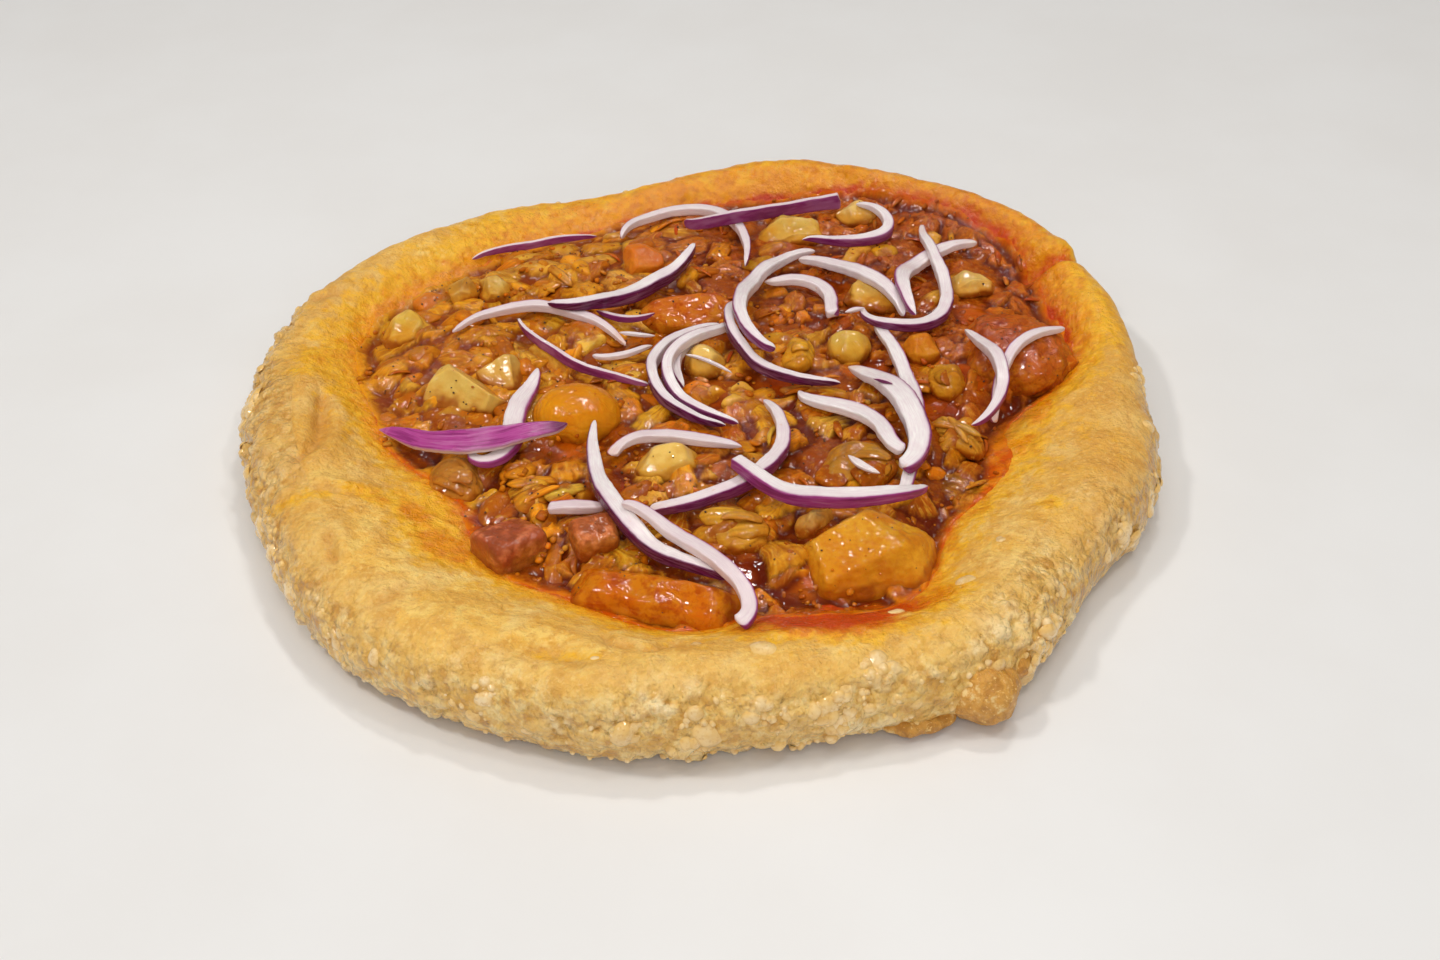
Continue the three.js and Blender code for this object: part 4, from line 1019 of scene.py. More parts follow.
def veg_material(name, sss=0.10, scale=0.0010, coat=0.85, rough=0.32, coat_rough=0.035, streak=0.35, bump_mm=0.30,
                 stain=0.30, dark=(0.42, 0.105, 0.003), spots=0.5, tint=(1.03, 0.92, 0.62)):
    """Stewed vegetable: its own colour from the mesh, glassy and wet, with patches of sauce colour."""
    m = Mat(name, rough, Subsurface_Weight=sss, Subsurface_Scale=scale, Coat_Weight=coat, Coat_Roughness=coat_rough,
            Coat_IOR=1.50, Specular_IOR_Level=0.05)
    m.b.inputs["Subsurface Radius"].default_value = (1.0, 0.50, 0.14)
    col = m.attr("col", "Color")
    veins = m.noise(2.2, 4, 0.6)
    col = m.mix(m.remap(veins, 0.46, 0.62, 0.0, streak), col, m.mix(0.6, col, dark))
    col = m.mix(m.remap(m.noise(4.5, 4, 0.6), 0.48, 0.60, 0.0, stain), col, m.mix(0.75, col, dark))
    col = m.mix(m.remap(m.noise(1.6, 3, 0.6), 0.58, 0.68, 0.0, 0.35), col, (0.82, 0.47, 0.060))
    col = m.mix(m.remap(m.noise(0.65, 2, 0.5), 0.69, 0.75, 0.0, spots), col, (0.10, 0.030, 0.010))
    if tint:
        col = m.mix(1.0, col, tint, "MULTIPLY")
    b = m.bump(m.noise(2.3, 2, 0.5, 0.5), bump_mm * 1.6, 0.9)
    b = m.bump(m.noise(0.85, 2, 0.5), bump_mm * 0.09, 0.85, b)
    return m.finish(col, m.remap(veins, 0.3, 0.7, rough - 0.05, rough + 0.08), b)


# Colours of the stewed vegetables.
AMBER, GOLD, PALE, BROWN, OLIVE, ORANGE = ((0.61, 0.205, 0.006), (0.74, 0.335, 0.016), (0.79, 0.470, 0.080),
                                           (0.44, 0.118, 0.004), (0.65, 0.315, 0.020), (0.75, 0.220, 0.004))
REDP = (0.46, 0.085, 0.006)


def scatter(count, seed, gap=0.0, margin=2.0, weight=None, avoid=()):
    """Points inside the stew, none closer than gap, thinned by weight(x, y) and kept off the chunks."""
    rng = np.random.default_rng(seed)
    out = np.zeros((0, 2))
    tries = 0
    while len(out) < count and tries < 60:
        tries += 1
        q = rng.uniform(-100, 100, (count * 3, 2))
        ok = inside_shore(q[:, 0], q[:, 1]) > margin
        q = q[ok]
        if weight is not None:
            q = q[rng.random(len(q)) < weight(q[:, 0], q[:, 1])]
        for cx, cy, a, b, yaw in avoid:
            c, s = math.cos(rad(yaw)), math.sin(rad(yaw))
            u, v = (q[:, 0] - cx) * c + (q[:, 1] - cy) * s, -(q[:, 0] - cx) * s + (q[:, 1] - cy) * c
            q = q[(u / a) ** 2 + (v / b) ** 2 > 1]
        if gap:
            for p in q:
                if len(out) >= count:
                    break
                if not len(out) or (np.hypot(*(out - p).T) > gap).all():
                    out = np.vstack([out, p])
        else:
            out = np.vstack([out, q])[:count]
    return out


def pick(rng, *choices):
    """One of (colour, weight) pairs, varied a little."""
    w = np.array([c[1] for c in choices], float)
    c = np.array(choices[rng.choice(len(w), p=w / w.sum())][0])
    return np.clip(c * rng.uniform(0.82, 1.15) * rng.normal(1, 0.05, 3), 0.001, 0.95)


# ------------------------------------------------------------ the chunks ----

# node, slot, x, y, z, half sizes, yaw, squareness, colour, look, pitch, roll, flats (normal, distance), bend
YELLOW, LEMON = (0.70, 0.455, 0.095), (0.74, 0.52, 0.15)
CHUNKS = [
    ("potato_wedge_1", "potato", -58.3, 0.9, 14.6, (11.2, 6.0, 6.0), -17, 3.0, (0.86, 0.57, 0.125), "potato", 0, 0,
     [((-0.05, -0.72, 0.69), 3.6), ((0.40, 0.58, 0.71), 3.5), ((-0.96, -0.05, 0.28), 8.8), ((0.75, -0.5, 0.3), 8.4)], 0),
    ("potato_wedge_2", "potato", -49.6, 8.2, 15.0, (6.4, 4.8, 5.2), -35, 3.2, (0.74, 0.46, 0.100), "potato", 0, 0,
     [((0.1, -0.62, 0.78), 2.7), ((-0.78, 0.2, 0.6), 3.6), ((0.8, 0.35, 0.5), 3.8)], 0),
    ("pepper_piece_1", "pepper", -76.6, 31.4, 13.4, (7.0, 5.6, 4.8), 18, 3.0, (0.78, 0.50, 0.075), "slab", 0, -8,
     [((-0.1, -0.55, 0.83), 3.4), ((0.7, 0.2, 0.7), 4.6), ((-0.6, 0.3, 0.75), 4.8)], 22),
    ("cherry_tomato_1", "cherry_tomato", -30.0, -9.2, 13.1, (10.6, 9.2, 8.0), 0, 2.05, (0.71, 0.235, 0.004), "cherry", 0, 0, [], 0),
    ("stewed_onion_1", "cooked_onion", -63.3, 47.6, 14.9, (3.6, 4.6, 4.0), 5, 2.4, (0.50, 0.235, 0.045), "slab", 0, 0,
     [((0.0, -0.9, 0.45), 3.4)], 0),
    ("stewed_onion_2", "cooked_onion", -55.3, 47.2, 15.8, (3.9, 4.8, 3.8), 15, 2.6, (0.62, 0.38, 0.085), "slab", 0, 0,
     [((0.1, -0.5, 0.85), 2.9), ((-0.9, 0, 0.4), 3.0)], 0),
    ("sausage_cube_1", "sausage", -43.1, -56.2, 10.0, (7.2, 6.6, 6.6), 38, 6.0, (0.39, 0.082, 0.024), "sausage", 0, 0,
     [((0.2, 0.3, 0.93), 5.9), ((-0.99, -0.05, 0.1), 6.7), ((-0.05, -0.99, 0.08), 6.2)], 0),
    ("sausage_cube_2", "sausage", -23.5, -57.0, 14.0, (5.0, 4.6, 4.4), 20, 4.4, (0.46, 0.112, 0.026), "sausage", 0, 0,
     [((0.2, -0.3, 0.93), 3.9)], 0),
    ("tomato_wedge_1", "tomato", -9.6, -74.4, 11.0, (20.5, 7.2, 6.4), -16, 2.7, (0.60, 0.125, 0.0008), "tomato", 0, 0,
     [((0.02, -0.22, 0.97), 4.2), ((0.0, 0.70, 0.71), 4.6), ((-0.04, -0.94, 0.33), 5.6), ((0.70, -0.20, 0.68), 12.6),
      ((-0.62, -0.15, 0.77), 12.0), ((0.50, -0.80, 0.33), 12.6)], 110),
    ("potato_chunk_1", "potato", 37.4, -63.4, 12.5, (16.0, 11.0, 9.5), 4, 3.2, (0.73, 0.315, 0.012), "potato_gold", 0, 0,
     [((-0.20, -0.30, 0.93), 6.9), ((0.10, -0.88, 0.46), 8.2), ((0.88, -0.30, 0.36), 12.4), ((-0.90, -0.26, 0.34), 12.2),
      ((0.30, 0.10, 0.95), 8.4), ((0.55, -0.60, 0.58), 10.4), ((-0.45, 0.62, 0.64), 9.4), ((0.5, 0.62, 0.60), 10.4)], 0),
    ("onion_petal_1", "cabbage", 26.6, -52.6, 14.6, (5.2, 2.8, 5.0), 40, 2.6, (0.66, 0.47, 0.20), "slab", 0, 0,
     [((0.3, -0.8, 0.5), 2.0), ((0.5, 0.6, 0.6), 2.4)], 0),
    ("garlic_clove_1", "garlic", -7.0, -30.3, 14.3, (7.8, 4.9, 4.6), 16, 2.3, (0.84, 0.56, 0.150), "garlic", 0, 0,
     [((-0.1, -0.35, 0.93), 3.5), ((0.75, -0.2, 0.6), 5.2), ((0.2, -0.9, 0.35), 4.1)], 0),
    ("garlic_clove_2", "garlic", 1.4, 10.4, 15.6, (5.2, 5.2, 4.6), 0, 2.0, (0.72, 0.47, 0.130), "garlic", 0, 0, [], 0),
    ("pepper_piece_2", "pepper", 38.3, 16.0, 15.6, (5.6, 5.4, 5.2), 30, 2.1, (0.66, 0.42, 0.080), "garlic", 0, 0,
     [((0.5, 0.5, 0.7), 4.2)], 0),
    ("stewed_onion_4", "cooked_onion", 25.2, 12.4, 15.9, (4.4, 5.8, 4.0), -20, 2.4, (0.66, 0.33, 0.025), "petal", 0, 0,
     [((-0.3, -0.4, 0.86), 3.1)], 0),
    ("tomato_wedge_2", "tomato", -2.2, 34.4, 15.6, (13.0, 7.4, 5.0), 8, 2.3, (0.58, 0.125, 0.008), "tomato", 0, 0,
     [((0.02, -0.42, 0.91), 3.7), ((0.0, 0.7, 0.72), 4.6)], 70),
    ("carrot_cube_1", "carrot", -15.2, 59.4, 15.9, (5.2, 4.8, 4.6), 8, 4.6, (0.72, 0.185, 0.010), "carrot", 0, 0,
     [((0.1, -0.45, 0.9), 3.9), ((-0.8, -0.3, 0.5), 4.4)], 0),
    ("tomato_half_1", "tomato", 79.6, 13.2, 14.2, (14.5, 12.6, 8.2), -35, 2.2, (0.45, 0.082, 0.006), "tomato_rough", 0, 0,
     [((0.1, -0.25, 0.96), 7.4), ((-0.6, -0.5, 0.6), 9.4)], 0),
    ("carrot_cube_2", "carrot", 56.6, 12.0, 17.0, (4.0, 4.0, 3.8), 20, 3.6, (0.70, 0.25, 0.012), "carrot", 0, 0,
     [((0.1, -0.5, 0.86), 3.2)], 0),
    ("stewed_onion_5", "cooked_onion", 61.6, -0.9, 16.8, (4.6, 6.0, 4.2), -10, 2.3, (0.54, 0.25, 0.022), "petal", 0, 0,
     [((-0.5, -0.3, 0.8), 3.0)], 0),
    ("cabbage_piece_1", "cabbage", 46.2, 37.7, 17.9, (7.6, 5.4, 3.4), -28, 2.5, (0.72, 0.46, 0.110), "slab", 0, 0,
     [((0.05, -0.4, 0.91), 2.1), ((0.85, 0.3, 0.4), 5.6)], 26),
    ("cabbage_piece_2", "cabbage", 73.0, 43.1, 17.5, (6.8, 3.8, 3.4), 6, 2.6, (0.72, 0.48, 0.15), "slab", 0, 0,
     [((0.0, -0.55, 0.83), 2.2)], 18),
    ("cabbage_piece_3", "cabbage", 26.2, 73.6, 17.1, (10.5, 5.2, 3.8), 4, 2.5, (0.70, 0.45, 0.095), "slab", 0, 0,
     [((0.0, -0.5, 0.86), 2.8)], 30),
    ("cabbage_piece_4", "cabbage", 45.0, 80.4, 18.2, (5.4, 4.2, 3.6), 0, 2.6, (0.72, 0.48, 0.15), "slab", 0, 0,
     [((0.1, -0.5, 0.86), 2.6)], 0),
    ("stewed_onion_6", "cooked_onion", -57.4, -29.0, 9.6, (7.4, 6.6, 5.2), -20, 2.4, (0.44, 0.20, 0.045), "petal", 0, 0,
     [((0.1, -0.5, 0.86), 3.9), ((0.7, 0.2, 0.6), 5.4)], 26),
    ("cabbage_piece_5", "cabbage", 62.0, -17.8, 12.4, (9.0, 3.4, 3.8), -47, 2.4, (0.54, 0.30, 0.05), "petal", 0, 0,
     [((0.0, -0.6, 0.8), 2.4)], 34),
    ("potato_chunk_2", "potato", 8.3, -55.7, 14.3, (8.6, 6.4, 4.6), 10, 2.6, (0.64, 0.34, 0.040), "petal", 0, 0,
     [((0.0, -0.45, 0.89), 3.3), ((-0.7, 0.2, 0.7), 5.6), ((0.8, -0.2, 0.5), 6.2)], 0),
    ("stewed_onion_7", "cooked_onion", 37.3, -32.0, 14.4, (10.0, 8.6, 5.6), -10, 2.3, (0.47, 0.225, 0.032), "petal", 0, 0,
     [((0.2, -0.4, 0.9), 4.3), ((-0.7, 0.1, 0.7), 6.4)], 30),
]


def sauce_and_foot_shade(v, half, c, shift):
    """Colour of a chunk where the sauce climbs up its foot; the darkening towards the bottom is partly that sauce and
    partly painted shade.
    """
    h = v[:, 2] / half[2] + 0.55 * fbm(v + shift, 5, 3, 15)
    amber = 0.45 * smooth(0.75, 0.05, h)[:, None]
    c = c * (1 - amber) + np.array((0.64, 0.250, 0.010)) * amber
    # painted shade and sauce: the foot of the chunk darkened to deep red
    wet = 0.9 * smooth(0.22, -0.20, h)[:, None]
    return c * (1 - wet) + np.array((0.29, 0.050, 0.002)) * wet


# How many further cut faces a look has, and how deep they cut.
FACETS = {"slab": (7, 0.74, 0.90), "garlic": (6, 0.80, 0.94), "potato": (2, 0.88, 0.98), "potato_gold": (2, 0.92, 1.00),
          "carrot": (2, 0.88, 0.98), "tomato": (3, 0.90, 1.0), "petal": (4, 0.80, 0.94)}


def facets(k, half, look):
    rng = np.random.default_rng(700 + k)
    count, lo, hi = FACETS.get(look, (0, 1, 1))
    out = []
    for i in range(count):
        az, el = 2 * np.pi * (i + rng.uniform(-0.3, 0.3)) / count + k, rad(rng.uniform(16, 60))
        n = np.array((math.cos(az) * math.cos(el), math.sin(az) * math.cos(el), math.sin(el)))
        out.append((tuple(n), float(np.linalg.norm(n * half)) * rng.uniform(lo, hi)))
    return out


def facet_tone(v, flats, k, amount):
    """Each cut face a little lighter or darker than the next."""
    if not flats:
        return np.ones((len(v), 1))
    rng = np.random.default_rng(900 + k)
    n = np.array([np.asarray(p) / np.linalg.norm(p) for p, _ in flats])
    near = (v @ n.T) / np.array([d for _, d in flats])
    tone = rng.uniform(1 - amount, 1 + 0.4 * amount, len(flats))[near.argmax(1)]
    return np.where(near.max(1) > 0.90, tone, 1.0)[:, None]


def chunk_mesh(row, k):
    name, slot, x, y, z, half, yaw, power, colour, look, pitch, roll, flats, bend = row
    big = max(half) > 9
    flats = list(flats) + facets(k, np.array(half), look)
    if look == "petal":
        v, f, c = layered(half, power, flats, colour, k, bend, name in CALM)
        c = sauce_and_foot_shade(v, half, c, 17.0 * k)
        return turn(v, yaw, pitch, roll) + (x, y, z + 0.5), f, np.clip(c, 0, 0.95)
    v, f = lump(5 if big and look != "tomato" else 4, half, power, planes=flats, crisp=28 if look in ("potato", "carrot", "potato_gold", "slab", "garlic") else 22 if look == "tomato" else 9,
                bend=bend or 0, seed=k)
    d = v / half
    n = d / np.asarray(half)
    n /= np.linalg.norm(n, axis=1, keepdims=True)
    s = v + 31.0 * k
    c = np.array(colour) * facet_tone(v, flats, k, 0.0 if look in ("cherry", "tomato", "tomato_rough") else 0.16)
    if look in ("potato", "potato_gold"):
        gold = look == "potato_gold"
        v = v + n * ((0.34 if gold else 0.16) * fbm(s, 6, 2, 3) + (0.16 if gold else 0.07) * noise(s, 1.6, 4))[:, None]
        if gold:
            # painted highlight: the upper right of the chunk lit to a paler yellow
            painted_light_side = smooth(-0.25, 0.45, fbm(s, 7, 3, 21) + 0.35 * (d[:, 0] + d[:, 1]))[:, None]
            c = c * (1 - 0.50 * painted_light_side) + np.array((0.84, 0.46, 0.040)) * 0.50 * painted_light_side
            # painted shade: the lower left side deepened to a darker orange
            low = 0.55 * smooth(0.1, -0.9, 0.6 * d[:, 0] + 0.8 * d[:, 1] + 0.5 * fbm(s, 6, 2, 24))[:, None]
            c = c * (1 - low) + np.array((0.70, 0.215, 0.004)) * low
            # painted shade: darker towards the underside
            c = c * (1 - 0.35 * smooth(0.1, -0.7, d[:, 2:3])) 
    elif look == "petal":
        # onion and cabbage layers: ribs along the piece, edges a little curled
        rib = 1 - np.abs(np.sin(s[:, 1] * 2.1 + 1.6 * noise(s, 5, 6)))
        v = v + n * (0.45 * fbm(s, 5.5, 2, 7) + 0.16 * rib ** 2 + 0.08 * noise(s, 1.2, 8))[:, None]
        c *= (1 - 0.18 * rib)[:, None]
    elif look == "slab":
        # a soft slab with a few pale ribs, partly painted highlight lines, and folded edges
        rib = (1 - np.abs(np.sin(s[:, 1] * 0.75 + 0.9 * noise(s, 6, 6)))) ** 4
        v = v + n * (0.80 * fbm(s, 4.4, 2, 7) + 0.30 * rib + 0.06 * noise(s, 1.6, 8))[:, None]
        c = c * (1 - 0.45 * rib[:, None]) + np.array((0.88, 0.640, 0.220)) * 0.45 * rib[:, None]
        # painted shade: deeper amber towards the bottom
        amber = np.clip(0.70 * smooth(0.70, 0.0, d[:, 2] + 0.6 * fbm(s, 5, 2, 23)), 0, 1)[:, None]
        c = c * (1 - amber) + np.array((0.66, 0.300, 0.016)) * amber
    elif look == "cherry":
        # loose wrinkled skin, pinched towards the stalk end at the upper left
        ang = np.arctan2(d[:, 2] - 0.25, d[:, 0] + 0.55)
        rr = np.hypot(d[:, 2] - 0.25, d[:, 0] + 0.55)
        fold = (1 - np.abs(np.sin(6.5 * ang + 2.4 * noise(s, 5, 9) + 3.2 * rr))) ** 3
        v = v - n * (0.20 * fold * np.exp(-((rr - 0.55) / 0.45) ** 2) - 0.20 * fbm(s, 6, 3, 10))[:, None]
        # painted shade: a little darker in the folds of the skin
        c *= (1 - 0.08 * fold)[:, None]
    elif look in ("tomato", "tomato_rough"):
        v = v + n * (0.75 * fbm(s, 8, 3, 11) + (0.42 if look == "tomato_rough" else 0.12) * noise(s, 2.1, 12))[:, None]
        if name == "tomato_wedge_1":
            v = v + n * (0.55 * (1 - np.abs(noise(s * (0.5, 1, 1), 5, 13))) ** 4)[:, None]
            amber = smooth(-0.1, 0.4, fbm(s, 9, 2, 22) - 0.35 * d[:, :1].ravel())[:, None]
            c = c * (1 - 0.5 * amber) + np.array((0.62, 0.215, 0.006)) * 0.5 * amber
        if look == "tomato_rough":
            fold = (1 - np.abs(noise(s * (1, 0.5, 1), 6, 13))) ** 4
            v = v + n * (0.35 * fold)[:, None]
    elif look == "sausage":
        a1, a2, aid = cells(s, 1.5, 14)
        v = v + n * (0.38 * fbm(s, 5, 2, 15) + 0.34 * (aid - 0.5) * np.clip((a2 - a1) * 3, 0, 1))[:, None]
        c *= (0.72 + 0.60 * aid)[:, None]
        c += (np.array((0.10, 0.06, 0.03)) * (aid > 0.8)[:, None])
    elif look == "carrot":
        v = v + n * (0.20 * fbm(s, 4, 2, 16) + 0.06 * noise(s, 1.1, 17))[:, None]
    elif look == "garlic":
        v = v + n * (0.48 * fbm(s, 5, 2, 18) + 0.05 * noise(s, 1.5, 19))[:, None]
        # painted light and shade: lighter on top, deeper amber towards the bottom
        c = c * (1 + 0.10 * np.clip(d[:, 2:3], -1, 1))
        amber = np.clip(0.75 * smooth(0.80, 0.10, d[:, 2] + 0.5 * fbm(s, 5, 2, 23)), 0, 1)[:, None]
        c = c * (1 - amber) + np.array((0.66, 0.330, 0.024)) * amber
    c = sauce_and_foot_shade(v, half, c, 17.0 * k)
    v = turn(v * (1.05, 1.05, 1.0), yaw, pitch, roll) + (x, y, z + 0.7)
    return v, f, np.clip(c, 0, 0.95)


CALM = {"potato_wedge_2", "pepper_piece_1", "onion_petal_1", "cabbage_piece_1", "cabbage_piece_2", "cabbage_piece_3",
        "cabbage_piece_4", "stewed_onion_1", "stewed_onion_2"}


def layered(half, power, flats, colour, k, bend, calm):
    """A stewed piece whose layers fan out and overlap like shingles, with one or two loose ones on top."""
    rng = np.random.default_rng(300 + k)
    hx, hy, hz = half
    heap = Heap()
    big = max(half) > 7
    v, f = lump(4, half, power, planes=flats, crisp=10, bend=bend or 0, rough=0.45, rough_mm=6.0, seed=k + 5)
    d = v / half
    n = d / np.asarray(half)
    n /= np.linalg.norm(n, axis=1, keepdims=True) + 1e-9
    far = v + 19.0 * k
    fan = np.arctan2(d[:, 1] + 0.15 * noise(far, 5, 6), d[:, 0] + 1.6 * rng.choice([-1, 1]))
    fan = np.where(np.abs(fan) > 1.6, fan - np.pi * np.sign(fan), fan)
    step_ = (fan * rng.uniform(6.0, 8.0) / np.pi + 0.40 * noise(far, 9, 8) + 40) % 1.0
    shingle = step_ * (1 - smooth(0.84, 1.0, step_))
    deep = (0.25 if calm else 0.50) * min(1.0, hz / 4.5)
    v = v + n * (deep * (shingle - 0.4) + 0.30 * fbm(far, 4.5, 2, 7) + 0.05 * np.sin(far[:, 1] * 5 + noise(far, 5, 3)))[:, None]
    c0 = np.array(colour)
    # painted light and shade: each shingle lighter towards its raised lip, darker just under the next one's edge
    light = (0.86 + 0.24 * step_ if calm else 0.78 + 0.34 * step_) * (1 - (0.25 if calm else 0.5) * smooth(0.86, 0.97, step_))
    c = c0 * light[:, None] * (1, 1, 0.9)
    cloud = smooth(-0.2, 0.4, fbm(far, 4.0, 2, 12))[:, None]
    heap.add(v, f, np.clip(c * (1 - 0.25 * cloud) + np.array((0.46, 0.150, 0.008)) * 0.25 * cloud, 0, 0.93))
    for i in range((1 if calm else 3) if big else 1):
        ux, uy = rng.uniform(-0.25, 0.25), rng.uniform(-0.45, 0.30)
        zt = hz * 0.93 * max(0.25, 1 - (abs(ux) ** power + abs(uy) ** power)) ** (1 / power)
        for pn, pd in flats:
            if pn[2] > 0.5:
                zt = min(zt, (pd - pn[0] * ux * hx - pn[1] * uy * hy) / pn[2])
        a, b = hx * rng.uniform(0.50, 0.78), hy * rng.uniform(0.32, 0.52)
        v, f, shade, rim_ = leaf(a, b, rng.uniform(0.6, 0.9), rng, bend=hx * hx / (1.6 * hz), cup=hy * hy / (1.6 * hz),
                                 taper=rng.uniform(0.10, 0.35), pinch=rng.uniform(-0.2, 0.35), nu=20 if big else 15,
                                 nv=12 if big else 9, ribs=0.08)
        v = turn(v, rng.uniform(-22, 22) + 180 * (i % 2), rng.normal(0, 6), rng.normal(0, 6) - 26 * uy)
        col = c0 * rng.uniform(0.92, 1.25) * (1, rng.uniform(0.9, 1.10), rng.uniform(0.8, 1.3))
        heap.add(v + (ux * hx, uy * hy, zt + 0.1), f, np.clip(leaf_colour(col, shade, rim_, v, k + i), 0, 0.93))
    faces = [r for f in heap.f for r in f.tolist()]
    return np.vstack(heap.v), faces, np.vstack(heap.c)


def flesh_material(name, sss=0.35, scale=0.0025, rough=0.38, coat=0.55, coat_rough=0.12, grain=0.18,
                   stain=0.45, dark=(0.42, 0.120, 0.010), speck=0.5, bump_mm=0.10):
    """Cut vegetable or sausage: its own colour, patches of sauce colour, pepper specks."""
    m = Mat(name, rough, Subsurface_Weight=sss, Subsurface_Scale=scale, Coat_Weight=coat, Coat_Roughness=coat_rough,
            Coat_IOR=1.42, Specular_IOR_Level=0.12)
    m.b.inputs["Subsurface Radius"].default_value = (1.0, 0.50, 0.15)
    col = m.attr("col", "Color")
    broad = m.noise(6, 4, 0.6)
    fine = m.noise(0.9, 4, 0.65)
    col = m.mix(m.remap(fine, 0.46, 0.60, 0.0, grain), col, m.mix(0.55, col, dark))
    col = m.mix(m.remap(broad, 0.46, 0.60, 0.0, stain), col, m.mix(0.75, col, dark))
    col = m.mix(m.remap(m.noise(0.5, 2, 0.5), 0.71, 0.78, 0.0, speck), col, (0.09, 0.028, 0.010))
    b = m.bump(m.noise(2.6, 2, 0.5, 0.4), bump_mm * 3.0, 0.85)
    b = m.bump(m.noise(0.8, 2, 0.5), bump_mm * 0.4, 0.8, b)
    return m.finish(col, m.remap(fine, 0.3, 0.7, rough - 0.06, rough + 0.10), b)


def skin_material(name, rough=0.2, grain=0.25, dark=(0.36, 0.045, 0.003), light=(0.74, 0.27, 0.02), bump_mm=0.08,
                  light_amount=0.35):
    """Tomato and pepper: smooth wet skin over soft flesh."""
    m = Mat(name, rough, Subsurface_Weight=0.15, Subsurface_Scale=0.0012, Coat_Weight=0.80, Coat_Roughness=0.04,
            Coat_IOR=1.55, Specular_IOR_Level=0.05)
    m.b.inputs["Subsurface Radius"].default_value = (1.0, 0.30, 0.06)
    col = m.attr("col", "Color")
    broad = m.noise(8, 4, 0.6, 0.4)
    col = m.mix(m.remap(broad, 0.46, 0.60, 0.0, light_amount), col, light)
    col = m.mix(m.remap(m.noise(3.2, 4, 0.6), 0.48, 0.62, 0.0, grain * 1.8), col, dark)
    col = m.mix(m.remap(m.noise(0.8, 3, 0.6), 0.56, 0.66, 0.0, grain), col, m.mix(0.6, col, dark))
    b = m.bump(m.noise(2.8, 2, 0.5, 0.8), bump_mm * 3.6, 0.9)
    b = m.bump(m.noise(0.9, 2, 0.5), bump_mm * 0.2, 0.8, b)
    return m.finish(col, None, b)
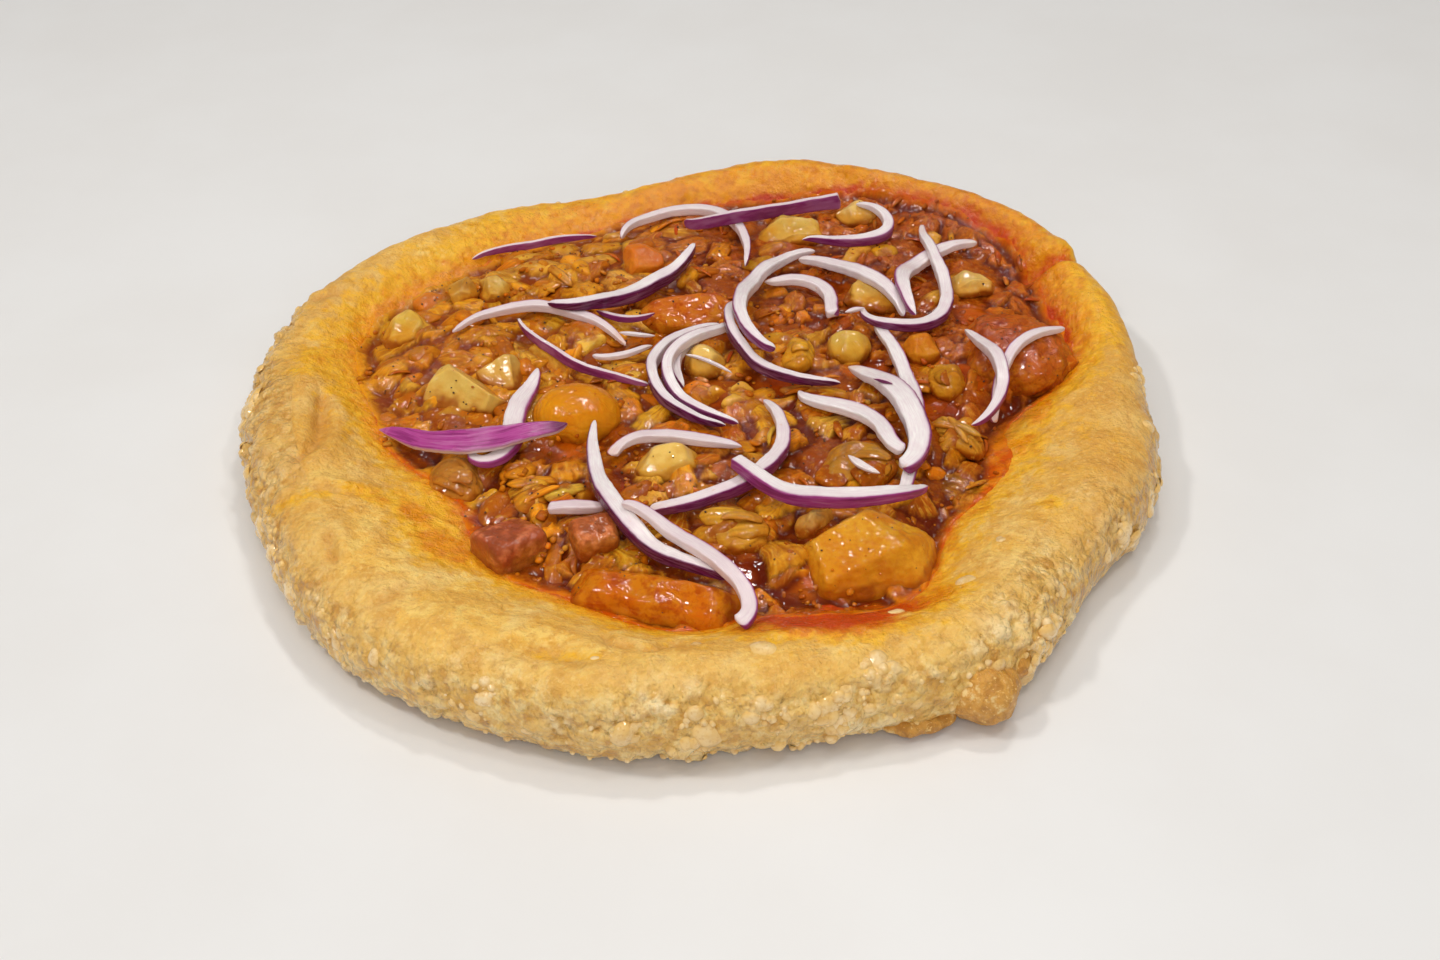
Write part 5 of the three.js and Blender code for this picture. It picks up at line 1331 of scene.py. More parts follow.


# --------------------------------------------------------- onion strips ----

# name, centre line (x0, y0, length, h0..h3), widths, thicknesses, roll, lift of the two ends,
# side with the skin (+1 left of travel, -1 right, 2 on top, 0 none), darkness of the skin (painted shade
# for skins that lie in shade), whiteness of the flesh, stained start and end
STRIPS = [
    ("onion_strip_01", (-63.3, 68.2, 36.2, 40.9, -99.6, 50.6, 20.4), (0.7, 1.3, 0.6), (1.2, 2.1, 1.0), 0, (0, 0), -1, 0.55, 0.5, 0, 0),
    ("onion_strip_02", (-21.5, 70.5, 66.4, 84.3, -223.4, -70.0, 109.7), (1.2, 2.4, 1.0), (1.6, 2.3, 1.4), 0, (0, 0), 1, 0.6, 0.75, 0, 0),
    ("onion_strip_03", (-3.9, 75.4, 46.0, -43.4, 297.0, -407.2, 149.9), (0.8, 1.4, 1.6), (2.4, 3.6, 4.6), 0, (0, 0.6), -1, 0.6, 0.5, 0, 0),
    ("onion_strip_04", (-27.0, 34.0, 18.5, -41.0, -37.8, 161.7, -31.1), (0.6, 1.3, 0.5), (0.8, 1.6, 0.7), 0, (0, 0), -1, 0.5, 0.5, 0, 0.2),
    ("onion_strip_05", (-64.0, 26.0, 54.6, 52.8, -134.1, -4.3, 25.5), (1.0, 2.2, 1.2), (1.2, 2.2, 1.2), 0, (0, 0), 1, 0.4, 0.55, 0.15, 0.9),
    ("onion_strip_06", (-39.3, 33.5, 51.9, -27.8, 275.9, -393.0, 224.9), (1.6, 3.3, 1.4), (1.6, 3.2, 2.0), 0, (0, 2.0), -1, 1.0, 1.0, 0, 0),
    ("onion_strip_07", (-47.3, 30.3, 47.7, -69.4, 82.6, -87.7, 65.6), (0.7, 1.2, 0.8), (1.8, 2.6, 1.4), 0, (0.4, 0), -1, 0.55, 0.6, 0, 0),
    ("onion_strip_09", (0.4, 17.4, 21.1, -128.7, -77.5, 375.0, -238.4), (1.0, 2.0, 1.0), (1.4, 2.2, 1.4), 0, (0, 0), -1, 0.5, 0.8, 0, 0),
    ("onion_strip_10", (7.2, 21.3, 52.4, -127.7, -195.2, 790.7, -496.8), (1.6, 2.3, 1.2), (1.8, 2.8, 1.6), 0, (0, 0), -1, 0.8, 0.95, 0, 0),
    ("onion_strip_11", (6.1, 23.7, 59.7, -175.0, 182.9, -26.4, 9.2), (1.2, 2.3, 1.0), (1.6, 2.8, 1.6), 0, (0, 0), -1, 1.0, 0.9, 0, 0),
    ("onion_strip_12", (-20.6, -28.0, 33.9, 70.4, -270.4, 234.2, -44.1), (2.2, 2.6, 1.0), (1.2, 2.2, 1.2), 0, (0, 0), 1, 0.4, 0.6, 0.4, 0),
    ("onion_strip_13", (-34.4, -47.6, 12.8, -5.9, 10.0, 0, 0), (2.4, 2.8, 1.6), (1.4, 2.0, 1.4), 0, (0, 0), 1, 0.2, 0.4, 0, 0.2),
    ("onion_strip_14", (16.0, -8.4, 60.4, -62.3, -57.8, -259.9, 223.7), (1.2, 3.0, 1.8), (1.4, 3.0, 1.8), 0, (0, 0), 1, 0.75, 0.75, 0, 0.3),
    ("onion_strip_15", (-24.9, -17.2, 70.7, -96.0, 70.6, -31.8, 44.6), (1.0, 3.4, 1.6), (1.6, 3.0, 1.8), 0, (1.5, 0), -1, 1.0, 1.0, 0, 0),
    ("onion_strip_16", (-17.1, -53.5, 48.4, -13.4, -268.3, 686.1, -549.5), (1.6, 2.8, 3.3), (1.4, 2.2, 1.3), 0, (0, 0), 1, 0.3, 0.55, 0, 0),
    ("onion_strip_17", (-40.5, 6.3, 45.0, -86.6, -267.8, 993.6, -949.4), (1.2, 4.4, 1.8), (1.4, 2.2, 1.2), 0, (1.0, 0), 1, 0.4, 0.8, 0, 0),
    ("onion_strip_18", (-78.8, -10.7, 52.1, -25.7, -123.5, 404.0, -230.3), (0.6, 5.2, 1.6), (0.7, 1.6, 1.3), 20, (0, 2.4), 2, 0.06, 0.6, 0, 0),
    ("onion_strip_19", (44.8, 79.8, 42.3, -15.9, -106.9, -595.1, 549.7), (1.4, 2.6, 1.0), (1.4, 2.6, 1.0), 0, (0, 0), 1, 0.7, 0.9, 0, 0),
    ("onion_strip_20", (17.6, 44.9, 31.1, -19.7, 257.4, -945.3, 638.8), (1.2, 3.0, 2.8), (1.2, 2.2, 2.0), 0, (0, 0), 1, 0.6, 0.8, 0.2, 0),
    ("onion_strip_21", (27.4, 54.7, 41.3, -10.7, -176.2, 295.6, -196.6), (1.6, 3.2, 1.6), (1.4, 2.4, 1.4), 0, (0, 0), 1, 0.6, 0.85, 0.2, 0),
    ("onion_strip_22", (10.2, 33.9, 53.1, -112.2, 61.4, 168.6, -120.7), (1.4, 2.2, 1.2), (1.6, 2.8, 1.2), 0, (0, 0), -1, 1.0, 0.85, 0, 0),
    ("onion_strip_23", (31.9, 59.3, 65.5, -177.3, 356.5, -656.9, 461.7), (1.6, 3.2, 1.8), (1.4, 2.8, 1.8), 0, (0, 0), -1, 0.7, 0.95, 0.15, 0),
    ("onion_strip_24", (46.0, 22.7, 69.1, -75.9, 16.3, -110.2, 60.1), (1.8, 3.0, 2.4), (1.6, 2.2, 1.8), 0, (0, 0), 1, 0.4, 1.0, 0, 0),
    ("onion_strip_25", (76.0, 58.5, 49.5, -180.7, 152.3, -62.1, 25.0), (1.8, 3.6, 1.2), (1.6, 2.2, 1.4), 0, (1.0, 0), -1, 0.5, 0.85, 0.3, 0),
    ("onion_strip_26", (62.1, 69.4, 74.6, -99.0, 152.8, -265.2, -78.0), (1.4, 2.8, 1.4), (1.4, 2.6, 1.4), 0, (0.5, 0), 1, 0.85, 0.9, 0.2, 0),
    ("onion_strip_27", (25.1, -4.8, 38.9, -103.3, 671.2, -1604.1, 1004.7), (1.2, 3.6, 2.6), (1.2, 2.2, 1.6), 0, (0, 0), 1, 0.35, 1.0, 0, 0),
    ("onion_strip_28", (37.3, 3.7, 49.0, -35.5, -161.3, 302.0, -250.4), (1.4, 5.0, 3.2), (1.4, 2.8, 2.2), 0, (0, 0), 1, 0.6, 1.0, 0.6, 0),
    ("onion_strip_29", (8.3, -38.6, 50.8, -52.7, 57.7, 37.3, 5.6), (2.6, 3.4, 1.8), (2.6, 3.2, 1.4), 0, (1.0, 1.0), -1, 0.35, 1.0, 0, 0),
    ("onion_strip_30", (92.9, 14.5, 38.7, -162.7, 68.1, 52.1, -59.1), (1.2, 2.2, 1.4), (1.2, 2.0, 1.2), 0, (0, 0), -1, 0.5, 0.65, 0, 0.5),
    ("onion_strip_31", (67.8, 16.0, 40.2, -68.5, 3.3, -21.3, -84.9), (1.0, 2.6, 1.0), (1.2, 2.6, 1.2), 0, (0, 0), 1, 0.6, 0.85, 0.2, 0),
]


# slighter shreds, too small for nodes
SHREDS = [
    ("onion_shred_1", (-27.1, 13.6, 16.5, -39.3, 167.5, -89.7, -17.0), (0.9, 1.5, 0.7), (0.8, 1.2, 0.7), 0, (0, 0), 0, 0.3, 0.7, 0, 0.2),
    ("onion_shred_2", (-20.5, 22.0, 9.5, -18.0, 40.0, -20.0, 0.0), (0.5, 0.9, 0.4), (0.5, 0.8, 0.5), 0, (0, 0), 0, 0.3, 0.8, 0, 0),
    ("onion_shred_4", (34.8, -34.9, 9.3, -57.0, 30.0, 0.0, 0.0), (0.6, 1.7, 0.6), (0.5, 0.7, 0.5), 0, (0, 0), 0, 0.3, 0.9, 0.2, 0.3),
    ("onion_shred_5", (42.4, -8.9, 5.2, -16.0, -20.0, 0.0, 0.0), (0.5, 1.3, 0.5), (0.5, 0.9, 0.5), 0, (0, 0), -1, 0.8, 0.3, 0, 0),
    ("onion_shred_6", (-3.2, 8.8, 13.3, -20.0, -22.0, 0.0, 0.0), (0.4, 0.8, 0.3), (0.4, 0.6, 0.4), 0, (0, 0), 0, 0.2, 0.9, 0, 0),
    ("onion_shred_3", (38.0, 24.5, 5.5, 20.0, 0.0, 0.0, 0.0), (0.5, 1.3, 0.5), (0.5, 0.8, 0.5), 0, (0, 0), 1, 0.7, 0.5, 0, 0),
]

WIDER, THICKER = 1.22, 1.12       # the lit faces read a little broader than their middle line


def along(p, u):
    """Width or thickness along a strip from its start, middle and end values; narrow ends run out to a point."""
    m = np.sin(np.pi * np.clip(u, 0, 1)) ** 0.62
    a, b = (q * (0.55 if q < 0.58 * p[1] else 1.0) for q in (p[0], p[2]))
    line = a + (b - a) * u
    return line + (p[1] - line) * m


def centre_line(P, n):
    x0, y0, length, *h = P
    u = np.linspace(0, 1, n + 1)
    um = (u[1:] + u[:-1]) / 2
    th = np.radians(h[0] + h[1] * um + h[2] * um ** 2 + h[3] * um ** 3)
    x = np.r_[0, np.cumsum(np.cos(th))] * length / n + x0
    y = np.r_[0, np.cumsum(np.sin(th))] * length / n + y0
    return u, x, y


class Plan:
    """Heights of bread, stew and chunks from their plain forms, for draping the strips."""

    def __init__(self, step=0.5, reach=121.0):
        self.step, self.reach = step, reach
        self.n = int(2 * reach / step) + 1
        ax = np.linspace(-reach, reach, self.n)
        gx, gy = np.meshgrid(ax, ax, indexing="ij")
        th, r = np.arctan2(gy, gx), np.hypot(gx, gy)
        z = np.where(r < shore(th), stew_top(gx, gy), np.where(r < edge(th), dough_top(th, edge(th) - r), 0))
        for row in CHUNKS:
            _, _, x, y, cz, (a, b, h), yaw, power = row[:8]
            c, s = math.cos(rad(yaw)), math.sin(rad(yaw))
            u, v = ((gx - x) * c + (gy - y) * s) / a, (-(gx - x) * s + (gy - y) * c) / b
            q = np.abs(u) ** power + np.abs(v) ** power
            z = np.where(q < 1, np.maximum(z, cz + h * np.clip(1 - q, 0, 1) ** (1 / power)), z)
        self.z = z

    at, index = Survey.at, Survey.index


def strip_mesh(row, plan, survey, k, gap=0.3, stiff=26.0):
    """A cut strip of onion layer laid over what is below it."""
    name, P, a, b, roll, lift, side, dark, white, stain0, stain1 = row
    n = 96
    uf, xf, yf = centre_line(P, n)
    length = P[2]
    ends = np.array([0, 0.12, 0.3, 0.55, 0.9]) / length
    u = np.r_[ends, np.linspace(1.4 / length, 1 - 1.4 / length, max(24, int(length / 0.8))), 1 - ends[::-1]]
    x, y = np.interp(u, uf, xf), np.interp(u, uf, yf)
    s = u * length
    kk = 41.0 * k
    x = x + 0.25 * noise(np.c_[s + kk, 0 * s, 0 * s], 9, 91)
    y = y + 0.25 * noise(np.c_[s + kk, 0 * s + 5, 0 * s], 9, 92)
    hx, hy = np.gradient(x, s), np.gradient(y, s)
    nn = np.hypot(hx, hy)
    lx, ly = -hy / nn, hx / nn
    plain_a, plain_b = along(a, u), along(b, u)
    A = (WIDER if max(a) > 1.5 else 1.08) * plain_a * (1 + 0.07 * noise(np.c_[s + kk, 0 * s + 9, 0 * s], 6, 93) + 0.035 * noise(np.c_[s + kk, 0 * s, 0 * s], 1.8, 94))
    B = THICKER * plain_b * (1 + 0.06 * noise(np.c_[s + kk, 0 * s + 3, 0 * s], 7, 95))
    ro = np.radians(roll + 7 * noise(np.c_[s + kk, 0 * s + 7, 0 * s], 16, 96))
    tilt = math.radians(roll)
    hw = plain_a / 2 * abs(math.cos(tilt)) + plain_b / 2 * abs(math.sin(tilt))
    need, seen = np.full(len(u), -9.0), np.full(len(u), -9.0)
    for q in np.linspace(-1, 1, 9):
        need = np.maximum(need, plan.at(x + lx * q * (hw + 0.3), y + ly * q * (hw + 0.3)))
        seen = np.maximum(seen, survey.at(x + lx * q * hw * 0.9, y + ly * q * hw * 0.9))
    z = np.max(need[None] - (s[:, None] - s[None]) ** 2 / (2 * stiff), axis=1)
    w = np.exp(-((s[:, None] - s[None]) / 2.2) ** 2)
    w /= w.sum(1, keepdims=True)
    for _ in range(3):
        z = np.maximum(w @ z, need)
    z = w @ z
    # lift it clear where something really stands higher, gently
    over = np.maximum(seen - 0.55 - z - gap, 0)
    lift_more = np.max(over[None] - (s[:, None] - s[None]) ** 2 / (2 * 40), axis=1).clip(0)
    z = z + w @ lift_more
    low = plain_a / 2 * abs(math.sin(tilt)) + plain_b / 2 * abs(math.cos(tilt))
    top = z + gap + 2 * low
    for q in np.linspace(-1, 1, 13):
        i, j = plan.index(x + lx * q * (hw + 0.25), y + ly * q * (hw + 0.25))
        np.maximum.at(plan.z, (i, j), top)
    zc = (z + gap + low + lift[0] * np.clip(1 - u / 0.45, 0, 1) ** 2 + lift[1] * np.clip((u - 0.55) / 0.45, 0, 1) ** 2)
    c = np.c_[x, y, zc]
    t = np.gradient(c, s, axis=0)
    t /= np.linalg.norm(t, axis=1, keepdims=True)
    lat = np.c_[lx, ly, 0 * lx]
    up_ = np.cross(t, lat)
    cr, sr = np.cos(ro)[:, None], np.sin(ro)[:, None]
    lat, up_ = cr * lat + sr * up_, -sr * lat + cr * up_
    # rounded section
    m = 20
    ph = (np.arange(m) + 0.5) / m * 2 * np.pi
    ph = ph - 0.16 * np.sin(4 * ph)                # more points at the corners
    e = 2 / 7.5
    cx, cz = np.sign(np.cos(ph)) * np.abs(np.cos(ph)) ** e, np.sign(np.sin(ph)) * np.abs(np.sin(ph)) ** e
    tip0, tip1 = (0.7 + 7.5 * max(0, 1 - 1.15 * q / a[1]) ** 2 for q in (a[0], a[2]))
    first = np.minimum(1, np.sqrt(np.clip(1 - (1 - s / tip0).clip(0) ** 2, 0.01, 1)))
    last = np.minimum(1, np.sqrt(np.clip(1 - (1 - (length - s) / tip1).clip(0) ** 2, 0.01, 1)))
    close = (0.12 + 0.88 * first) * (0.12 + 0.88 * last)
    A = A * (1 + 0.05 * noise(np.c_[s + kk, 0 * s + 31, 0 * s], 3.0, 88))
    bow = 0.10 * (1 - cx ** 2)                     # the cut face sinks a little in its middle
    pts = (c[:, None] + lat[:, None] * (cx[None] * (A * close / 2)[:, None])[..., None]
           + up_[:, None] * ((cz - np.sign(cz) * bow)[None] * (B * close / 2)[:, None])[..., None])
    flat = pts.reshape(-1, 3)
    flat = flat + 0.05 * np.c_[noise(flat, 1.5, 97), noise(flat, 1.5, 98), noise(flat, 1.5, 99)]
    rows = len(u)
    faces = grid_faces(rows, m, wrap=True)[:, ::-1].tolist()
    k0 = len(flat)
    flat = np.vstack([flat, c[0] - t[0] * 0.08, c[-1] + t[-1] * 0.08])
    faces += [[k0, j, (j + 1) % m] for j in range(m)]
    last_row = (rows - 1) * m
    faces += [[k0 + 1, last_row + (j + 1) % m, last_row + j] for j in range(m)]
    wob = 0.12 * noise(np.c_[s + kk, 0 * s + 2, 0 * s], 4, 101)
    if side == 2:
        skin = smooth(0.25, 0.60, cz[None] - 0.75 * smooth(0.86, 1.0, np.abs(cx[None]) + wob[:, None]) + wob[:, None] + 0 * cx[None])
        skin = skin * (1 - 0.85 * smooth(0.10, 0.02, u + 0.05 * noise(np.c_[s, 0 * s, 0 * s], 1.5, 77)))[:, None]
        near = np.tile(smooth(-0.6, 0.6, cz), (rows, 1))
    elif side:
        skin = smooth(0.74, 0.90, side * cx[None] + wob[:, None] * 0.4)
        near = np.tile(smooth(-0.1, 1.0, side * cx), (rows, 1))
    else:
        skin, near = np.zeros((rows, m)), np.zeros((rows, m))
    stain = np.maximum(stain0 * np.exp(-s / 3.5), stain1 * np.exp(-(length - s) / 3.5))
    full = lambda g: np.r_[np.asarray(g, float).ravel(), np.asarray(g, float)[0].mean(), np.asarray(g, float)[-1].mean()]
    attrs = {"skin": full(skin), "near": full(near), "sa": full(np.tile(s[:, None] + kk, (1, m))),
             "sc": full(np.tile((cx * 1.6 + cz * 0.8)[None], (rows, 1)) * (A / 2)[:, None]),
             "stain": full(np.tile(stain[:, None], (1, m))),
             # painted shade: the skin darkened strip by strip, and towards the far end of a strip whose skin lies on
             # top
             "dark": full(np.tile((dark + (0.85 * smooth(0.84, 0.97, u) if side == 2 else 0 * u))[:, None], (1, m))),
             "white": np.full(len(flat), float(white))}
    return flat, faces, attrs


def onion_material():
    m = Mat("raw_red_onion", 0.34, Subsurface_Weight=0.14, Subsurface_Scale=0.0009, Coat_Weight=0.35, Coat_Roughness=0.10,
            Coat_IOR=1.38, Specular_IOR_Level=0.25)
    m.b.inputs["Subsurface Radius"].default_value = (1.0, 0.75, 0.85)
    comb = m.t.nodes.new("ShaderNodeCombineXYZ")
    m.link(m.math("MULTIPLY", m.attr("sa"), 0.22), comb.inputs[0])
    m.link(m.math("MULTIPLY", m.attr("sc"), 2.6), comb.inputs[1])
    tex = m.t.nodes.new("ShaderNodeTexNoise")
    tex.inputs["Scale"].default_value = 1.0
    tex.inputs["Detail"].default_value = 3
    m.link(comb.outputs[0], tex.inputs["Vector"])
    fibre = tex.outputs["Fac"]
    comb2 = m.t.nodes.new("ShaderNodeCombineXYZ")
    m.link(m.math("MULTIPLY", m.attr("sa"), 0.07), comb2.inputs[0])
    m.link(m.math("MULTIPLY", m.attr("sc"), 0.75), comb2.inputs[1])
    tex2 = m.t.nodes.new("ShaderNodeTexNoise")
    tex2.inputs["Scale"].default_value = 1.0
    tex2.inputs["Detail"].default_value = 2
    m.link(comb2.outputs[0], tex2.inputs["Vector"])
    band = tex2.outputs["Fac"]
    cloud = m.noise(4.5, 4, 0.55)
    white = m.mix(m.attr("white"), (0.72, 0.54, 0.56), (0.89, 0.83, 0.80))
    flesh = m.mix(m.remap(fibre, 0.44, 0.58, 0.0, 0.55), white, m.mix(0.55, white, (0.62, 0.42, 0.50)))
    flesh = m.mix(m.remap(cloud, 0.46, 0.62, 0.0, 0.40), flesh, m.mix(0.6, white, (0.68, 0.48, 0.53)))
    flesh = m.mix(m.math("MULTIPLY", m.math("POWER", m.attr("near"), 5.5), 0.85), flesh, (0.40, 0.10, 0.28))
    # painted shade: skins in shade get a darker purple
    purple = m.mix(m.attr("dark"), (0.46, 0.056, 0.285), (0.072, 0.0016, 0.028))
    # partly fibre, partly painted highlight and shade: lighter violet streaks and darker bands along the skin
    purple = m.mix(m.remap(fibre, 0.42, 0.58, 0.0, 0.60), purple, m.mix(0.26, purple, (0.62, 0.24, 0.46)))
    purple = m.mix(m.remap(cloud, 0.44, 0.62, 0.0, 0.40), purple, m.mix(0.3, purple, (0.16, 0.008, 0.10)))
    purple = m.mix(m.remap(band, 0.54, 0.64, 0.0, 0.60), purple, m.mix(0.28, purple, (0.74, 0.38, 0.58)))
    purple = m.mix(m.remap(band, 0.46, 0.38, 0.0, 0.75), purple, m.mix(0.75, purple, (0.16, 0.008, 0.085)))
    flesh = m.mix(m.remap(band, 0.52, 0.64, 0.0, 0.30), flesh, m.mix(0.6, white, (0.66, 0.46, 0.54)))
    col = m.mix(m.attr("skin"), flesh, purple)
    dirty = m.math("MULTIPLY", m.attr("stain"), m.remap(m.noise(1.8, 4, 0.6), 0.35, 0.60, 0.25, 1.0), clamp=True)
    col = m.mix(dirty, col, (0.66, 0.28, 0.06))
    col = m.mix(m.remap(m.noise(2.4, 3, 0.6), 0.68, 0.78, 0.0, 0.45), col, (0.64, 0.27, 0.085))
    rough = m.mix(m.attr("skin"), (0.36,) * 3, (0.26,) * 3)
    b = m.bump(fibre, 0.10, 0.8)
    return m.finish(col, rough, b)


# ------------------------------------------------------- fried blisters ----

def dome(seg, rings):
    """A low bubble of radius 1 and height 1 that runs out softly into the skin."""
    t = np.linspace(0, 1, rings + 1)[1:]
    ph = np.linspace(0, 2 * np.pi, seg, endpoint=False)
    v = [[0, 0, 1.0]]
    for k, a in enumerate(t):
        rr, zz = a * 1.25, np.sqrt(max(0.0, 1 - a * a)) * 0.75 + 0.25 * (1 - a) - 0.30 * a ** 6
        v += [[rr * np.cos(b), rr * np.sin(b), zz] for b in ph + (k % 2) * np.pi / seg]
    f = [[0, 1 + i, 1 + (i + 1) % seg] for i in range(seg)]
    for k in range(rings - 1):
        a, b = 1 + k * seg, 1 + (k + 1) * seg
        for i in range(seg):
            j = (i + 1) % seg
            if k % 2 == 0:
                f += [[a + i, b + i, a + j], [a + j, b + i, b + j]]
            else:
                f += [[a + i, b + i, b + j], [a + i, b + j, a + j]]
    return np.array(v), np.array(f)


# Bubbles that can be told apart on the near side: x, y, z, radius, how pale.
BUBBLES = [
    (12.8, -100.5, 14.0, 2.6, 0.15),
    (-0.8, -101.1, 12.0, 1.8, 0.90),
    (-2.2, -104.6, 6.0, 3.2, 0.75),
    (-4.9, -104.2, 4.0, 2.2, 0.80),
    (5.8, -106.2, 4.0, 2.6, 0.70),
    (14.6, -102.8, 9.0, 1.6, 0.85),
    (-0.2, -108.7, 2.0, 2.2, 1.00),
    (8.2, -103.2, 9.0, 0.9, 0.30),
    (-10.1, -108.5, 2.0, 1.9, 0.50),
    (-14.6, -105.0, 5.0, 1.5, 0.90),
    (-20.3, -101.7, 10.0, 1.0, 1.00),
    (41.4, -88.4, 9.0, 1.9, 1.00),
    (48.0, -90.0, 6.0, 1.7, 0.90),
    (69.3, -65.8, 10.0, 1.8, 0.90),
    (67.1, -74.1, 7.0, 1.5, 0.90),
    (60.9, -78.0, 8.0, 2.4, 0.35),
    (57.0, -84.6, 6.0, 1.6, 0.80),
    (-88.9, -66.2, 9.0, 1.4, 0.80),
    (-74.5, -81.8, 8.0, 1.3, 0.90),
    (-56.6, -93.1, 8.0, 1.4, 0.80),
    (-48.2, -98.7, 6.0, 1.5, 0.90),
    (-109.3, 0.8, 14.0, 1.6, 0.60),
]


def build_blisters(dv, dn, kinds, side, seed=5):
    """Fried bubbles on the side of the bread: a few broad ones, many small ones, a fringe low down."""
    rng = np.random.default_rng(seed)
    heap = Heap()
    x, y, z = dv.T
    deg = np.degrees(np.arctan2(y, x))
    front = np.clip(near_patch(deg, -120, 62) + near_patch(deg, 178, 34), 0, 1)
    right_side = near_patch(deg, -35, 44)
    back = np.clip(near_patch(deg, 120, 50) + near_patch(deg, 60, 40), 0, 1)
    patch = smooth(-0.10, 0.30, fbm(dv, 13, 2, 21))
    band = smooth(0.6, 1.4, z) * (kinds >= 0) * (kinds <= 1)
    w_side = band * smooth(18, 7.0, z) * (0.06 + front + 0.95 * right_side + 0.25 * back) * (0.10 + patch)
    w_fringe = band * smooth(4.6, 2.4, z) * (0.30 + front + 0.8 * right_side + 0.45 * back)
    ids = np.arange(len(dv))
    forms = [dome(8, 3), dome(11, 4), dome(18, 6)]

    def draw(w, count):
        w = np.maximum(w, 0)
        return rng.choice(ids, size=count, p=w / w.sum())

    def bubble(i, r, kind, squash, tone=1.0, pale=0.5, sink=0.10):
        if dv[i][2] < 0.75 * r + 0.25 or dn[i][2] < (-0.60 if r < 0.95 else -0.25):
            return
        v, f = forms[kind]
        tall = r * squash + 0.085 * r * r
        v = v * (r * rng.uniform(0.85, 1.25), r * rng.uniform(0.80, 1.1), tall)
        v = turn(v, rng.uniform(0, 360))
        v = v + 0.12 * r * np.c_[noise(v / r + i, 1.3, 1), noise(v / r + i, 1.3, 2), noise(v / r + i, 1.3, 3)]
        up_ = np.clip(v[:, 2] / tall, 0, 1)[:, None]
        n = dn[i]
        a = np.cross((0, 0, 1), n)
        a = a / np.linalg.norm(a) if np.linalg.norm(a) > 1e-3 else np.array([1.0, 0, 0])
        v = v @ np.stack([a, np.cross(n, a), n]) + dv[i] - n * (sink * r + 0.085 * r * r)
        v[:, :2] += np.maximum(LIMIT[0][:2] + 0.10 - v[:, :2].min(0), 0) - np.maximum(v[:, :2].max(0) - LIMIT[1][:2] + 0.10, 0)
        v[:, 2] = np.maximum(v[:, 2], 0.05)
        crown = (np.array((0.90, 0.600, 0.220)) * (1 - pale) + np.array((0.95, 0.780, 0.520)) * pale) * tone
        foot_ = np.array((0.84, 0.520, 0.150)) * rng.uniform(0.95, 1.05)
        heap.add(v, f, np.clip(foot_ + (crown - foot_) * up_ ** 0.9, 0, 0.95))

    for bx, by, bz, r, pale in BUBBLES:
        i = int(np.argmin(((dv - (bx, by, bz)) ** 2).sum(1) + 99 * (kinds < 0)))
        bubble(i, r, 2, 0.50 if bz < 8 else 0.26, 0.98, min(pale, 0.45), 0.05)
    for seed_at in draw(w_side * (0.2 + front + 0.9 * right_side), 46):
        tone, wide, pale = rng.uniform(0.92, 1.05), rng.uniform(2.0, 5.0), rng.uniform(0.1, 0.9)
        close = ids[(np.linalg.norm(dv - dv[seed_at], axis=1) < wide) & (kinds >= 0) & (kinds <= 1) & (z > 0.6)]
        if len(close) < 12:
            continue
        bubble(rng.choice(close), rng.uniform(1.5, 2.8), 2, 0.40, tone, pale)
        for i in rng.choice(close, size=int(2 + wide)):
            bubble(i, rng.uniform(0.8, 1.5), 1, 0.55, tone, pale)
        for i in rng.choice(close, size=int(4 + wide * 2)):
            bubble(i, rng.uniform(0.35, 0.75), 0, 0.8, tone, pale)
    for i in draw(w_side, 420):
        bubble(i, rng.uniform(0.35, 0.90), 0, 0.65, 1.0, rng.uniform(0, 0.6))
    for i in draw(w_side, 120):
        bubble(i, rng.uniform(1.0, 1.9), 1, 0.45, 1.0, rng.uniform(0, 0.5))
    for i in draw(w_fringe, 640):
        bubble(i, rng.uniform(0.45, 1.00), 0, 0.85, rng.uniform(0.94, 1.08), rng.uniform(0.3, 1.0), 0.0)
    return heap


def blister_material():
    m = Mat("fried_bubbles", 0.30, Subsurface_Weight=0.0, Subsurface_Scale=0.0008, Coat_Weight=1.0, Coat_Roughness=0.05,
            Coat_IOR=1.52, Specular_IOR_Level=0.2)
    m.b.inputs["Subsurface Radius"].default_value = (1.0, 0.7, 0.4)
    col = m.attr("col", "Color")
    col = m.mix(m.remap(m.noise(2.5, 3), 0.45, 0.62, 0.0, 0.6), col, (0.80, 0.47, 0.12))
    col = m.mix(m.remap(m.noise(0.8, 3), 0.55, 0.66, 0.0, 0.4), col, (0.62, 0.30, 0.06))
    b = m.bump(m.noise(0.9, 2, 0.5), 0.16, 0.8)
    return m.finish(col, None, b)


# ------------------------------------------------ pieces in the stew ----

